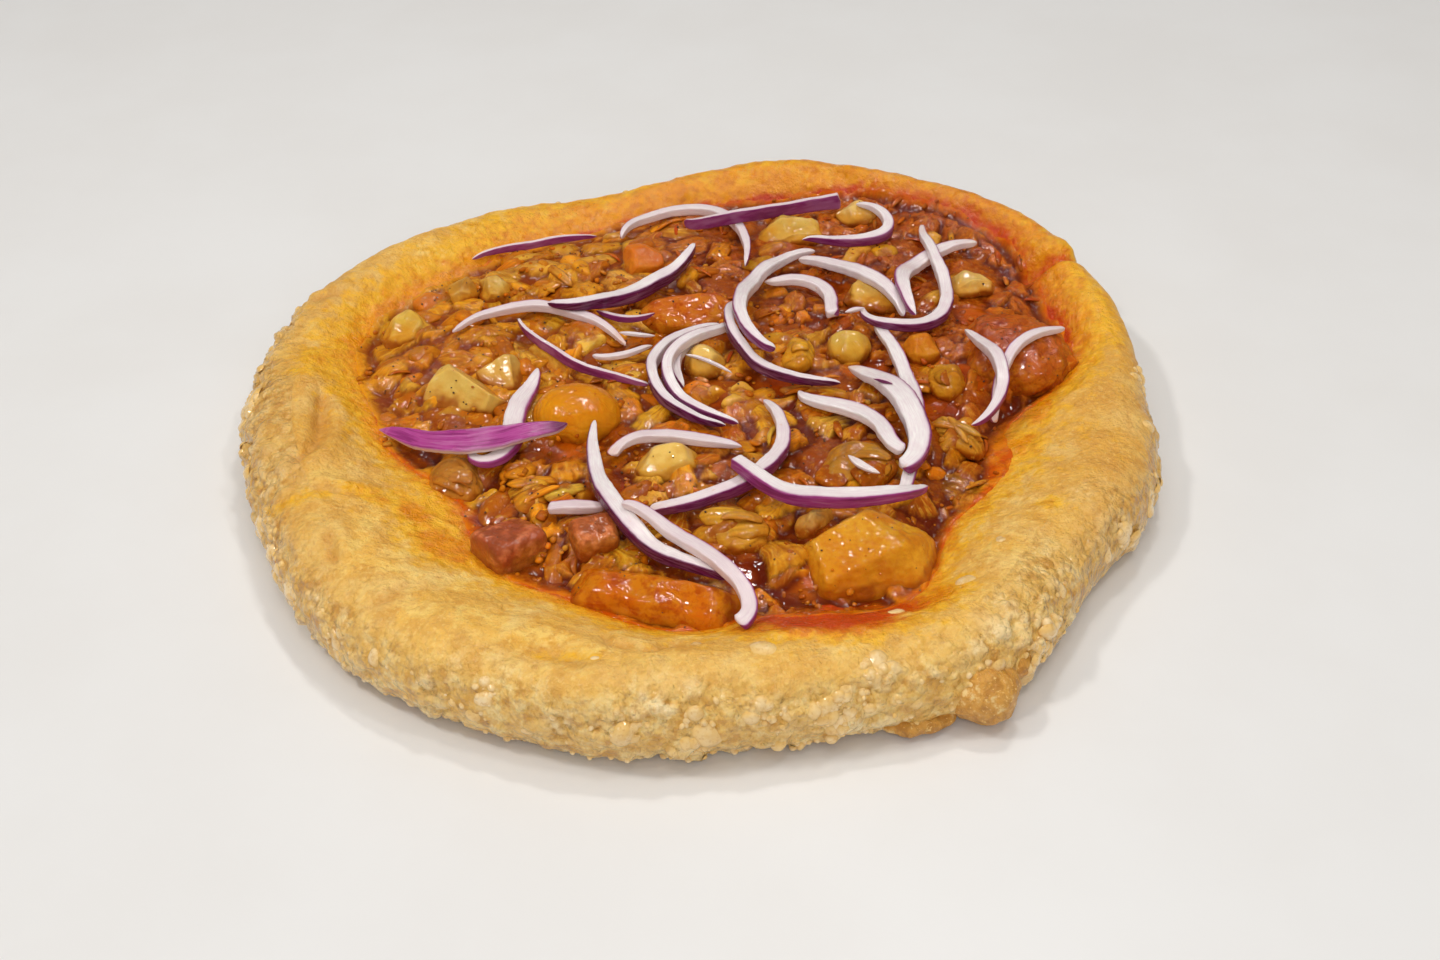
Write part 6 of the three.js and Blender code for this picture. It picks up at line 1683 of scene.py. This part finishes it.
# Pieces between the chunks that can be told apart: x, y, half length, half width, half thickness,
# bearing, how far it stands up, colour, shape (d dice, p petal, r ribbon), bend
SEEN = [
    (-72.3, 48.5, 4.5, 4.0, 3.2, 40, 1.6, AMBER, "d", 0),
    (-52.6, 66.2, 4.4, 2.1, 1.3, 33, 2.0, AMBER, "p", 12),
    (-49.3, 46.3, 3.8, 2.5, 1.8, 27, 1.2, BROWN, "d", 0),
    (-41.3, 50.6, 5.4, 2.7, 1.5, 30, 1.6, GOLD, "p", 16),
    (-38.5, 54.0, 6.5, 1.5, 0.8, -56, 2.0, PALE, "r", 18),
    (-26.5, 60.7, 5.6, 3.2, 1.5, 31, 1.4, PALE, "p", 16),
    (-64.5, 34.3, 4.7, 3.0, 1.5, 35, 1.0, AMBER, "p", 14),
    (-70.2, 18.9, 3.8, 3.2, 2.5, 58, 1.4, AMBER, "d", 0),
    (-79.4, 17.0, 4.2, 2.8, 1.5, 38, 0.8, AMBER, "p", 12),
    (-72.4, 1.4, 4.9, 4.0, 2.0, 43, 1.0, BROWN, "p", 12),
    (-78.5, -3.5, 3.3, 2.5, 1.2, 51, 0.6, AMBER, "p", 10),
    (-50.0, 17.2, 13.9, 3.1, 0.9, -63, 1.4, BROWN, "p", 60),
    (-56.2, 14.7, 4.6, 3.0, 1.8, 51, 1.2, GOLD, "d", 0),
    (-39.2, 13.2, 10.5, 3.5, 1.3, -54, 1.2, PALE, "p", 40),
    (-27.5, 20.9, 4.5, 2.3, 1.4, 27, 1.4, PALE, "d", 0),
    (-17.1, 7.8, 4.9, 2.5, 1.0, 30, 1.0, GOLD, "p", 18),
    (-54.6, -7.8, 3.5, 2.8, 1.3, 25, 1.0, AMBER, "p", 9),
    (-17.4, -9.4, 4.4, 2.8, 1.3, 41, 0.8, GOLD, "p", 14),
    (-4.9, 75.9, 6.3, 2.5, 1.1, -19, 1.2, PALE, "p", 22),
    (6.6, 66.3, 6.3, 2.2, 1.0, 72, 2.4, AMBER, "p", 18),
    (17.2, 57.9, 4.7, 2.5, 1.3, 29, 1.2, OLIVE, "p", 14),
    (19.9, 66.9, 4.8, 2.5, 1.3, 21, 1.2, OLIVE, "p", 12),
    (44.0, 59.0, 6.6, 3.2, 1.6, 62, 2.0, PALE, "d", 0),
    (10.8, 0.1, 2.9, 2.0, 1.8, 48, 1.6, PALE, "d", 0),
    (8.9, -5.6, 3.0, 2.1, 1.9, 44, 1.2, PALE, "d", 0),
    (16.2, -1.0, 4.6, 2.7, 1.2, 40, 1.6, GOLD, "p", 12),
    (26.1, -0.6, 6.1, 1.5, 0.6, -13, 1.6, PALE, "r", 40),
    (36.3, -3.6, 6.6, 1.4, 0.6, -14, 1.4, OLIVE, "r", 40),
    (-0.4, 0.4, 3.4, 2.3, 1.3, 37, 1.2, ORANGE, "d", 0),
    (3.5, -2.9, 3.4, 2.3, 1.3, 37, 1.2, GOLD, "d", 0),
    (61.7, 38.4, 6.8, 2.5, 1.1, 45, 1.6, PALE, "p", 14),
    (77.2, 56.8, 4.4, 2.8, 1.5, 32, 1.0, BROWN, "d", 0),
    (64.0, 0.7, 6.2, 2.5, 1.0, 68, 2.2, AMBER, "p", 14),
    (69.3, -0.3, 6.7, 2.5, 1.0, 69, 2.0, AMBER, "p", 14),
    (55.5, 2.4, 6.1, 3.5, 1.3, 60, 1.2, OLIVE, "p", 18),
    (92.6, 7.1, 4.4, 2.5, 2.0, 54, 0.8, REDP, "d", 0),
    (-46.9, -38.7, 7.5, 4.5, 1.1, 67, 3.0, BROWN, "p", 13),
    (-37.2, -41.2, 5.1, 3.2, 1.1, 48, 1.8, OLIVE, "p", 16),
    (-36.1, -34.0, 7.5, 1.7, 0.7, 15, 2.2, GOLD, "r", 50),
    (-30.9, -38.3, 5.2, 2.0, 0.8, 28, 1.8, PALE, "r", 30),
    (-32.8, -59.5, 11.8, 2.1, 0.9, 90, 1.8, AMBER, "r", 22),
    (-29.1, -60.9, 10.7, 2.0, 0.9, 89, 1.4, AMBER, "r", 18),
    (-34.5, -48.6, 3.3, 2.3, 1.1, 52, 1.4, GOLD, "p", 10),
    (-19.2, -26.1, 4.6, 3.2, 1.3, 35, 1.4, AMBER, "p", 12),
    (-13.6, -41.8, 5.7, 3.5, 1.1, 45, 1.2, BROWN, "p", 20),
    (-6.7, -40.4, 5.2, 3.0, 1.1, 46, 1.2, AMBER, "p", 18),
    (3.8, -32.8, 5.2, 3.5, 1.2, 40, 1.0, BROWN, "p", 16),
    (4.2, -57.4, 5.5, 3.0, 1.1, 34, 2.0, OLIVE, "p", 18),
    (7.8, -56.4, 5.3, 3.0, 1.0, 30, 2.4, GOLD, "p", 18),
    (12.1, -44.7, 4.6, 2.8, 1.2, 46, 1.0, AMBER, "p", 14),
    (16.9, -52.8, 4.6, 2.5, 1.1, 53, 1.0, BROWN, "p", 14),
    (39.7, -28.6, 5.3, 3.0, 1.0, 28, 3.0, OLIVE, "p", 20),
    (41.9, -36.9, 5.3, 3.5, 1.0, 46, 2.4, BROWN, "p", 18),
    (35.7, -34.4, 4.2, 2.5, 1.0, 46, 2.4, AMBER, "p", 14),
    (56.1, -31.3, 3.0, 2.1, 1.3, 40, 1.0, ORANGE, "d", 0),
    (61.7, -19.9, 6.0, 2.1, 0.9, 41, 1.6, OLIVE, "p", 20),
    (-12.3, 39.8, 4.3, 2.0, 1.0, 31, 1.0, BROWN, "p", 14),
    (1.8, 54.7, 4.9, 2.5, 1.1, 19, 0.8, BROWN, "p", 16),
    (13.9, 48.4, 3.7, 2.3, 1.1, 28, 0.8, ORANGE, "d", 0),
    (21.6, 31.4, 4.7, 2.5, 1.2, 43, 1.0, ORANGE, "p", 12),
    (28.4, 25.6, 4.9, 2.5, 1.2, 40, 1.0, AMBER, "p", 14),
    (31.2, 39.4, 4.0, 2.1, 1.0, 35, 0.8, AMBER, "p", 12),
    (30.1, -10.2, 4.9, 2.5, 1.1, 34, 0.8, AMBER, "p", 14),
    (16.1, -20.5, 4.6, 2.6, 1.2, 52, 0.8, GOLD, "d", 0),
    (24.5, -20.3, 4.2, 2.5, 1.1, 41, 0.8, AMBER, "p", 12),
    (2.2, -18.0, 3.1, 2.2, 1.1, 39, 0.8, AMBER, "p", 12),
    (-22.3, 42.2, 5.0, 2.5, 1.1, 26, 0.8, AMBER, "p", 14),
    (-33.4, 34.0, 4.2, 2.7, 1.2, 31, 1.0, BROWN, "p", 14),
    (-57.1, 41.2, 4.7, 2.7, 1.3, 20, 1.0, AMBER, "p", 14),
    (-41.9, 30.6, 4.7, 2.5, 1.1, -30, 0.8, AMBER, "p", 14),
    (-14.6, -20.6, 4.0, 2.5, 1.0, 35, 0.8, BROWN, "p", 14),
    (-39.9, -22.9, 3.9, 2.5, 1.1, 28, 0.4, REDP, "p", 14),
    (-11.8, -3.5, 3.7, 2.3, 1.0, -27, 0.6, ORANGE, "d", 0),
    (30.6, -37.6, 3.7, 2.5, 1.0, -39, 0.8, BROWN, "p", 14),
    (24.1, -37.0, 4.1, 2.5, 1.0, -35, 0.8, AMBER, "p", 14),
    (19.2, -28.0, 4.0, 2.2, 1.0, 43, 0.8, OLIVE, "p", 14),
    (-36.9, 7.2, 5.2, 2.0, 1.0, 118, 0.8, PALE, "p", 14),
    (-72.3, 10.2, 3.5, 2.2, 1.1, 37, 0.6, ORANGE, "d", 0),
    (-63.2, 21.7, 3.9, 2.5, 1.3, 57, 0.8, AMBER, "d", 0),
]


def build_pieces(survey):
    rng = np.random.default_rng(11)
    petals, dice, strips, bits, grains, specks, drops, skins = (Heap() for _ in range(8))
    base = survey.z.copy()

    def foot(w, c):
        """Sauce climbs up the foot of a piece; the darkening there is partly that sauce and partly painted shade."""
        i, j = survey.index(w[:, 0], w[:, 1])
        h = w[:, 2] - base[i, j] + 0.45 * noise(w, 2.2, 9)
        # painted shade and sauce: the foot of the piece darkened to deep sauce colour
        wet = 0.80 * smooth(1.00, -0.05, h)[:, None]
        g = golden_zone(w[:, 0], w[:, 1])[:, None]
        return c * (1 - wet) + (np.array((0.27, 0.045, 0.001)) * (1 - g) + np.array((0.44, 0.125, 0.003)) * g) * wet

    def put(heap, v, f, c, x, y, yaw, rise, pitch=0.0, roll=0.0, follow=0.8, update=True):
        sx, sy = survey.slope(x, y)
        cy, sy_ = math.cos(rad(yaw)), math.sin(rad(yaw))
        pitch += math.degrees(math.atan(follow * (sx * cy + sy * sy_)))
        roll += math.degrees(math.atan(follow * (-sx * sy_ + sy * cy)))
        w = turn(v, yaw, float(np.clip(pitch, -24, 24)), float(np.clip(roll, -34, 34)))
        w = w + (x, y, survey.mean(x, y, 1.8) + rise - w[:, 2].max())
        heap.add(w, f, np.clip(foot(w, c), 0, 0.94))
        if update:
            survey.lay(w)

    def around(extra):
        return [(c[2], c[3], c[5][0] + extra, c[5][1] + extra, c[6]) for c in CHUNKS] + [(27, -86, 16, 7, 0)]

    def redness(x, y):
        return float(region_red(np.array([x]), np.array([y]))[0])
    golden = lambda x, y: 1 - 0.72 * region_red(x, y)
    seen = [(r[0], r[1], r[2] * 0.8, r[3] * 0.9, r[5]) for r in SEEN]

    # first a bed of broad layers between the pieces that can be told apart
    for x, y in scatter(30, 21, 9.0, 3.0, golden, around(0.6) + seen):
        a, b = rng.uniform(3.6, 6.4), rng.uniform(2.2, 3.8)
        v, f, shade, rim_ = leaf(a, b, rng.uniform(0.6, 1.1), rng, bend=rng.uniform(9, 22), cup=rng.choice([6, 9, 16]),
                                 taper=rng.uniform(0.0, 0.22), pinch=rng.uniform(-0.2, 0.3), nu=15, nv=9)
        c0 = pick(rng, (AMBER, 3), (GOLD, 3 if x < -25 else 1.6), (BROWN, 2.2), (OLIVE, 1.0), (ORANGE, 1.0))
        if rng.random() < redness(x, y):
            c0 = pick(rng, (REDP, 2), (BROWN, 1), (ORANGE, 0.8))
        put(petals, v, f, leaf_colour(c0, shade, rim_, v, x), x, y, rng.uniform(0, 360), rng.uniform(0.25, 1.0),
            rng.normal(0, 8), rng.normal(0, 9))
    # soft dice of onion and pepper, mostly to the left and the far side
    left = lambda x, y: np.clip(smooth(-8, -45, x) * smooth(-12, 8, y) + 0.25 * smooth(10, 50, y) * (1 - region_red(x, y)) + 0.06, 0, 1)
    for x, y in scatter(26, 28, 7.0, 3.0, left, around(1.6) + seen):
        h = (rng.uniform(3.0, 4.9), rng.uniform(2.4, 3.8), rng.uniform(1.8, 2.6))
        v, f = lump(2, h, rng.uniform(3.0, 4.5), rough=0.35, rough_mm=3.5, seed=int(rng.integers(900)), crisp=8,
                    planes=[((rng.uniform(-0.5, 0.5), rng.uniform(-0.7, 0.0), 0.75), 0.78 * h[2])])
        c0 = pick(rng, (GOLD, 3), (AMBER, 3), ((0.66, 0.37, 0.055), 2), (BROWN, 1))
        c = np.array(c0)[None] * (0.86 + 0.22 * smooth(-0.4, 0.5, fbm(v + x, 3.5, 2, 12)))[:, None]
        put(dice, v, f, c, x, y, rng.uniform(0, 360), rng.uniform(0.7, 1.4), rng.normal(0, 6), rng.normal(0, 7))
    # the pieces that can be told apart
    for x, y, a, b, c, yaw, rise, colour, kind, bend in SEEN:
        seed = int(rng.integers(900))
        a, b, rise = a * 1.10, b * (1.0 if kind == "r" else 1.18), rise * 0.75
        if kind != "r" and any((x - q[2]) ** 2 + (y - q[3]) ** 2 < (0.62 * min(q[5][0], q[5][1])) ** 2 for q in CHUNKS):
            continue
        c0 = np.array(pick(rng, (colour, 1))) * 0.86 + np.array(AMBER) * 0.12
        if kind == "d":
            c = max(c, 1.8)
            v, f = lump(3, (a, b, c), rng.uniform(3.2, 4.6), rough=0.42, rough_mm=4, seed=seed, crisp=12,
                        planes=[((rng.uniform(-0.3, 0.3), rng.uniform(-0.75, -0.35), 0.75), 0.72 * c),
                                ((rng.uniform(0.5, 0.9), 0.2, 0.55), 0.80 * a)])
            col = np.array(c0)[None] * (0.84 + 0.26 * smooth(-0.4, 0.5, fbm(v + x, 3.5, 2, 12)))[:, None]
            put(dice, v, f, col, x, y, yaw, 0.4 + 0.8 * rise, rng.normal(0, 4), rng.normal(4, 6))
        else:
            ribbon = kind == "r"
            v, f, shade, rim_ = leaf(a, b, 0.9 if ribbon else rng.uniform(0.8, 1.3), rng, bend=max(bend, 6) * 0.9,
                                     cup=rng.choice([3, 5]) if ribbon else rng.choice([4.5, 7, 11]),
                                     taper=0.15 if ribbon else rng.uniform(0.0, 0.22), pinch=rng.uniform(0, 0.3),
                                     nu=24, nv=9 if ribbon else 14, ribs=0.12)
            put(strips if ribbon else petals, v, f, leaf_colour(c0, shade, rim_, v, seed), x, y, yaw, 0.25 + 0.65 * rise,
                rng.normal(0, 7), rng.normal(9, 11))
    # smaller scraps of the same over and between them
    for x, y in scatter(40, 29, 6.0, 1.6, lambda x, y: 0.35 + 0.65 * golden(x, y), around(-0.2)):
        a, b = rng.uniform(1.5, 3.0), rng.uniform(0.9, 1.7)
        v, f, shade, rim_ = leaf(a, b, rng.uniform(0.5, 0.8), rng, bend=rng.uniform(4, 10), cup=rng.choice([2.5, 4, 7]),
                                 taper=rng.uniform(0.1, 0.5), nu=9, nv=6, wave=0.2, ribs=0.06)
        c0 = pick(rng, (AMBER, 3), (GOLD, 1.5), (BROWN, 2), (ORANGE, 1.2), (OLIVE, 0.5))
        if rng.random() < redness(x, y):
            c0 = pick(rng, (REDP, 3), (BROWN, 1), (ORANGE, 1))
        put(bits, v, f, leaf_colour(c0, shade, rim_, v, x), x, y, rng.uniform(0, 360), rng.uniform(0.30, 0.75),
            rng.normal(0, 10), rng.normal(0, 12))
    # long narrow shreds
    for x, y in scatter(26, 22, 7.0, 4.0, golden, around(0.5)):
        a, b = rng.uniform(3.4, 6.4), rng.uniform(0.6, 1.1)
        v, f, shade, rim_ = leaf(a, b, 0.6, rng, bend=rng.uniform(10, 30), cup=2.5, taper=0.35, nu=16, nv=6, ribs=0.05, wave=0.3)
        v[:, 1] += v[:, 0] ** 2 / (2 * rng.uniform(8, 30)) * rng.choice([-1, 1])
        c0 = pick(rng, (AMBER, 2), (GOLD, 2), (PALE, 0.6), (OLIVE, 1), (BROWN, 1.4))
        put(strips, v, f, leaf_colour(c0, shade, rim_, v, x), x, y, rng.uniform(0, 360), rng.uniform(0.6, 1.0),
            rng.normal(0, 5), rng.normal(0, 10))
    # pulp gathers in patches
    crumbly = lambda x, y: 0.02 + 0.98 * smooth(0.05, 0.35, fbm(np.c_[x, y, 0 * x], 15, 2, 91))
    for x, y in scatter(460, 24, 0, 0.4, crumbly, around(0.1)):
        r = rng.uniform(0.35, 0.80)
        v, f = lump(1, (r * rng.uniform(1, 1.7), r, r * 0.7), 2.6, rough=0.30, rough_mm=1.0, seed=int(rng.integers(900)))
        c0 = pick(rng, (REDP, 2), ((0.50, 0.130, 0.020), 3), (BROWN, 1)) if rng.random() < redness(x, y) else \
            pick(rng, (AMBER, 3), ((0.60, 0.27, 0.03), 2), (ORANGE, 1), (BROWN, 3))
        put(grains, v, f, np.tile(c0, (len(v), 1)), x, y, rng.uniform(0, 360), r * rng.uniform(0.5, 1.0),
            rng.normal(0, 18), rng.normal(0, 18), update=False)
    # curled slivers of tomato and pepper skin
    for x, y in scatter(46, 25, 4, 1.0, lambda x, y: 0.15 + 0.85 * region_red(x, y), around(0.0)):
        v, f, shade, rim_ = leaf(rng.uniform(1.8, 4.0), rng.uniform(0.5, 1.1), 0.35, rng, bend=rng.uniform(4, 9), cup=rng.choice([1.6, 3]),
                                 taper=0.4, nu=10, nv=5, ribs=0.02, wave=0.25)
        c0 = pick(rng, ((0.60, 0.13, 0.012), 2), ((0.50, 0.065, 0.004), 2), ((0.68, 0.24, 0.03), 1))
        put(skins, v, f, np.tile(c0, (len(v), 1)), x, y, rng.uniform(0, 360), rng.uniform(0.5, 0.9), rng.normal(0, 8), rng.normal(0, 12))
    # ground pepper
    for x, y in scatter(420, 26, 0, 0.0, lambda x, y: 0.25 + 0.75 * smooth(0.1, 0.5, fbm(np.c_[x, y, 0 * x], 18, 2, 77) + 0.25) + smooth(-40, -60, x)):
        r = rng.uniform(0.16, 0.36)
        v, f = lump(0, (r, r * 0.8, r * 0.7), 3, seed=int(rng.integers(900)))
        z = float(survey.at(x, y)) + r * 0.1
        specks.add(turn(v, rng.uniform(0, 360)) + (x, y, z), f, np.array((0.045, 0.016, 0.007)) * rng.uniform(0.5, 2.5))
    # beads of oil
    for x, y in scatter(220, 27, 0, 0.4, lambda x, y: 0.30 + 0.70 * pool_mask(x, y)):
        r = 0.18 + 0.45 * rng.random() ** 2
        v, f = lump(1, (r, r * rng.uniform(0.8, 1.1), r * 0.5), 2)
        z = float(survey.at(x, y)) + 0.02
        drops.add(v + (x, y, z), f, np.array((0.60, 0.17, 0.006)) * rng.uniform(0.7, 1.2))
    return petals, dice, strips, bits, grains, skins, specks, drops


def oil_material():
    m = Mat("orange_oil", 0.06, Subsurface_Weight=0.5, Subsurface_Scale=0.001, Coat_Weight=1.0, Coat_Roughness=0.03,
            Coat_IOR=1.47)
    m.b.inputs["Subsurface Radius"].default_value = (1.0, 0.35, 0.05)
    return m.finish(m.attr("col", "Color"))


def speck_material():
    m = Mat("ground_pepper", 0.6)
    return m.finish(m.mix(m.remap(m.noise(0.4, 2), 0.4, 0.7), m.attr("col", "Color"), (0.12, 0.05, 0.02)))


# -------------------------------------------------------------- the scene ----

dough_mat = dough_material()
dv, df, da, dn, dkinds = build_dough()
dough = make("fried_bread", dv, df, da, material=dough_mat, slot="dough", replaces=["dough"])
build_blisters(dv[:len(dn)], dn, dkinds, da["side"]).make("fried_blisters", blister_material(), "dough")
build_lumps().make("fried_lumps", dough_mat, "dough")
dough_tree = bvh_of(dough)

sv, sf, sa = build_stew(dough_tree)
stew = make("stew_sauce", sv, sf, sa, material=sauce_material(), slot="stew", replaces=["stew"])

looks = {
    "potato": flesh_material("boiled_potato", 0.20, 0.0015, 0.34, 0.7, 0.10, 0.20, 0.25, (0.52, 0.19, 0.012), 0.5, 0.08),
    "potato_gold": flesh_material("potato_in_paprika", 0.22, 0.0015, 0.32, 0.9, 0.08, 0.45, 0.75, (0.54, 0.130, 0.003), 0.8, 0.14),
    "petal": veg_material("stewed_layer", 0.10, 0.0010, streak=0.25, bump_mm=0.26, stain=0.30),
    "dice": veg_material("soft_onion_dice", 0.15, 0.0012, streak=0.20, bump_mm=0.30, stain=0.30, dark=(0.50, 0.150, 0.004), spots=0.8),
    "cherry": skin_material("cherry_tomato_skin", 0.24, 0.10, (0.56, 0.100, 0.002), (0.80, 0.32, 0.008), 0.12, 0.5),
    "tomato": skin_material("tomato_skin", 0.22, 0.40, (0.40, 0.048, 0.001), (0.66, 0.220, 0.005), 0.12, 0.40),
    "tomato_rough": skin_material("tomato_flesh", 0.32, 0.40, (0.27, 0.032, 0.002), (0.60, 0.150, 0.006), 0.26, 0.4),
    "sausage": flesh_material("sausage_meat", 0.12, 0.001, 0.36, 0.75, 0.12, 0.55, 0.40, (0.28, 0.045, 0.008), 0.3, 0.24),
    "carrot": flesh_material("boiled_carrot", 0.12, 0.0010, 0.34, 0.55, 0.05, 0.40, 0.55, (0.50, 0.075, 0.001), 0.5, 0.22),
    "garlic": veg_material("garlic_clove", 0.12, 0.0012, streak=0.20, bump_mm=0.16, stain=0.45, dark=(0.60, 0.27, 0.02), spots=0.0, tint=(1.0, 0.97, 0.90)),
    "slab": veg_material("cabbage_slab", 0.12, 0.0012, streak=0.25, bump_mm=0.18, stain=0.35, dark=(0.56, 0.22, 0.01), spots=0.3, tint=(1.0, 0.95, 0.85)),
}
chunk_obs = []
for k, row in enumerate(CHUNKS):
    v, f, c = chunk_mesh(row, k)
    chunk_obs.append(make(row[0] + "_cut", v, f, {"col": c}, material=looks[row[9]], slot=row[1], replaces=[row[0]]))

survey = Survey(dough, stew, *chunk_obs)
petals, dice, strips, bits, grains, skins, specks, drops = build_pieces(survey)
wet = looks["petal"]
petals.make("stewed_petals", wet, "cooked_onion")
dice.make("soft_dice", looks["dice"], "cooked_onion")
strips.make("cabbage_strips", veg_material("stewed_cabbage"), "cabbage")
bits.make("small_scraps", wet, "cooked_onion")
grains.make("pulp", veg_material("pulp_grain", 0.2, 0.001, bump_mm=0.10), "stew")
skins.make("skin_slivers", looks["tomato"], "tomato")
specks.make("ground_pepper", speck_material(), "stew")
drops.make("oil_beads", oil_material(), "stew")

onion = onion_material()
plan = Plan()
for k, row in enumerate(STRIPS):
    v, f, a = strip_mesh(row, plan, survey, k)
    make(row[0].replace("onion_strip", "red_onion"), v, f, a, material=onion, slot="red_onion", replaces=[row[0]])
for k, row in enumerate(SHREDS):
    v, f, a = strip_mesh(row, plan, survey, 60 + k)
    make(row[0], v, f, a, material=onion, slot="red_onion")

# --------------------------------------------------- floor, light, camera ----

def floor():
    me = bpy.data.meshes.new("floor")
    s = 1.6
    me.from_pydata([(-s, -s, 0), (s, -s, 0), (s, s, 0), (-s, s, 0)], [], [(0, 1, 2, 3)])
    ob = bpy.data.objects.new("floor", me)
    bpy.context.scene.collection.objects.link(ob)
    m = Mat("floor_pale", 0.45)
    c = m.ramp(m.noise(60, 4), (0.3, (0.79, 0.775, 0.755)), (0.7, (0.81, 0.80, 0.785)))
    me.materials.append(m.finish(c))
    return ob


def area(name, at, look, size, power, color=(1, 1, 1), size_y=None):
    d = bpy.data.lights.new(name, "AREA")
    d.shape = "RECTANGLE"
    d.size, d.size_y = size, size_y or size
    d.energy, d.color = power, color
    o = bpy.data.objects.new(name, d)
    o.location = at
    o.rotation_euler = (Vector(look) - Vector(at)).to_track_quat("-Z", "Y").to_euler()
    bpy.context.scene.collection.objects.link(o)
    return o


floor()
for name, at, size, power in (("key_1", (-0.60, -0.05, 0.95), 0.18, 2.9), ("key_2", (0.15, 0.42, 1.02), 0.14, 1.9),
                              ("key_3", (0.42, -0.05, 0.95), 0.11, 1.0), ("key_4", (0.02, -0.42, 1.10), 0.09, 0.7)):
    area(name, at, (0, 0, 0), size, power, (1.0, 0.98, 0.95), size * 0.5)
for name, at, size, power in (("soft_top", (-0.10, 0.10, 1.20), 1.2, 4.2), ("soft_front", (0.05, -1.05, 0.75), 1.1, 7.4),
                              ("soft_left", (-1.15, -0.10, 0.65), 0.9, 1.0), ("soft_right", (1.15, 0.0, 0.65), 0.9, 1.3),
                              ("soft_back", (0.0, 1.20, 0.70), 0.9, 1.3)):
    area(name, at, (0, 0, 0), size, power, (1.0, 0.985, 0.97)).visible_glossy = False
for name, at, size, power in (("strip_1", (-0.30, 0.92, 0.80), 0.14, 0.42), ("strip_2", (0.34, 0.80, 1.00), 0.12, 0.40),
                              ("strip_3", (0.05, 0.55, 1.10), 0.10, 0.34)):
    area(name, at, (0, 0, 0), size, power, (1.0, 0.99, 0.97), 0.014).visible_diffuse = False
world = bpy.data.worlds.new("studio")
world.use_nodes = True
world.node_tree.nodes["Background"].inputs[0].default_value = (0.95, 0.97, 1.0, 1)
world.node_tree.nodes["Background"].inputs[1].default_value = 0.06
bpy.context.scene.world = world

CAM_TILT, CAM_DISTANCE, CAM_ROLL = 37.61, 0.415, -1.01
CAM_TARGET = Vector((0.00486 + SHIFT[0] / 1000, -0.0405 + SHIFT[1] / 1000, 0.018))
cam_data = bpy.data.cameras.new("camera")
cam_data.lens, cam_data.sensor_width = 45.0, 36.0
cam_data.clip_start = 0.01
cam = bpy.data.objects.new("camera", cam_data)
back = Vector((0, -math.cos(rad(CAM_TILT)), math.sin(rad(CAM_TILT))))
cam.location = CAM_TARGET + back * CAM_DISTANCE
right = Vector((1, 0, 0))
up = right.cross(-back)
c, s = math.cos(rad(CAM_ROLL)), math.sin(rad(CAM_ROLL))
r2, u2 = c * right + s * up, -s * right + c * up
cam.rotation_euler = Matrix((r2, u2, back)).transposed().to_euler()
bpy.context.scene.collection.objects.link(cam)
bpy.context.scene.camera = cam
bpy.context.scene.view_settings.view_transform = "Standard"
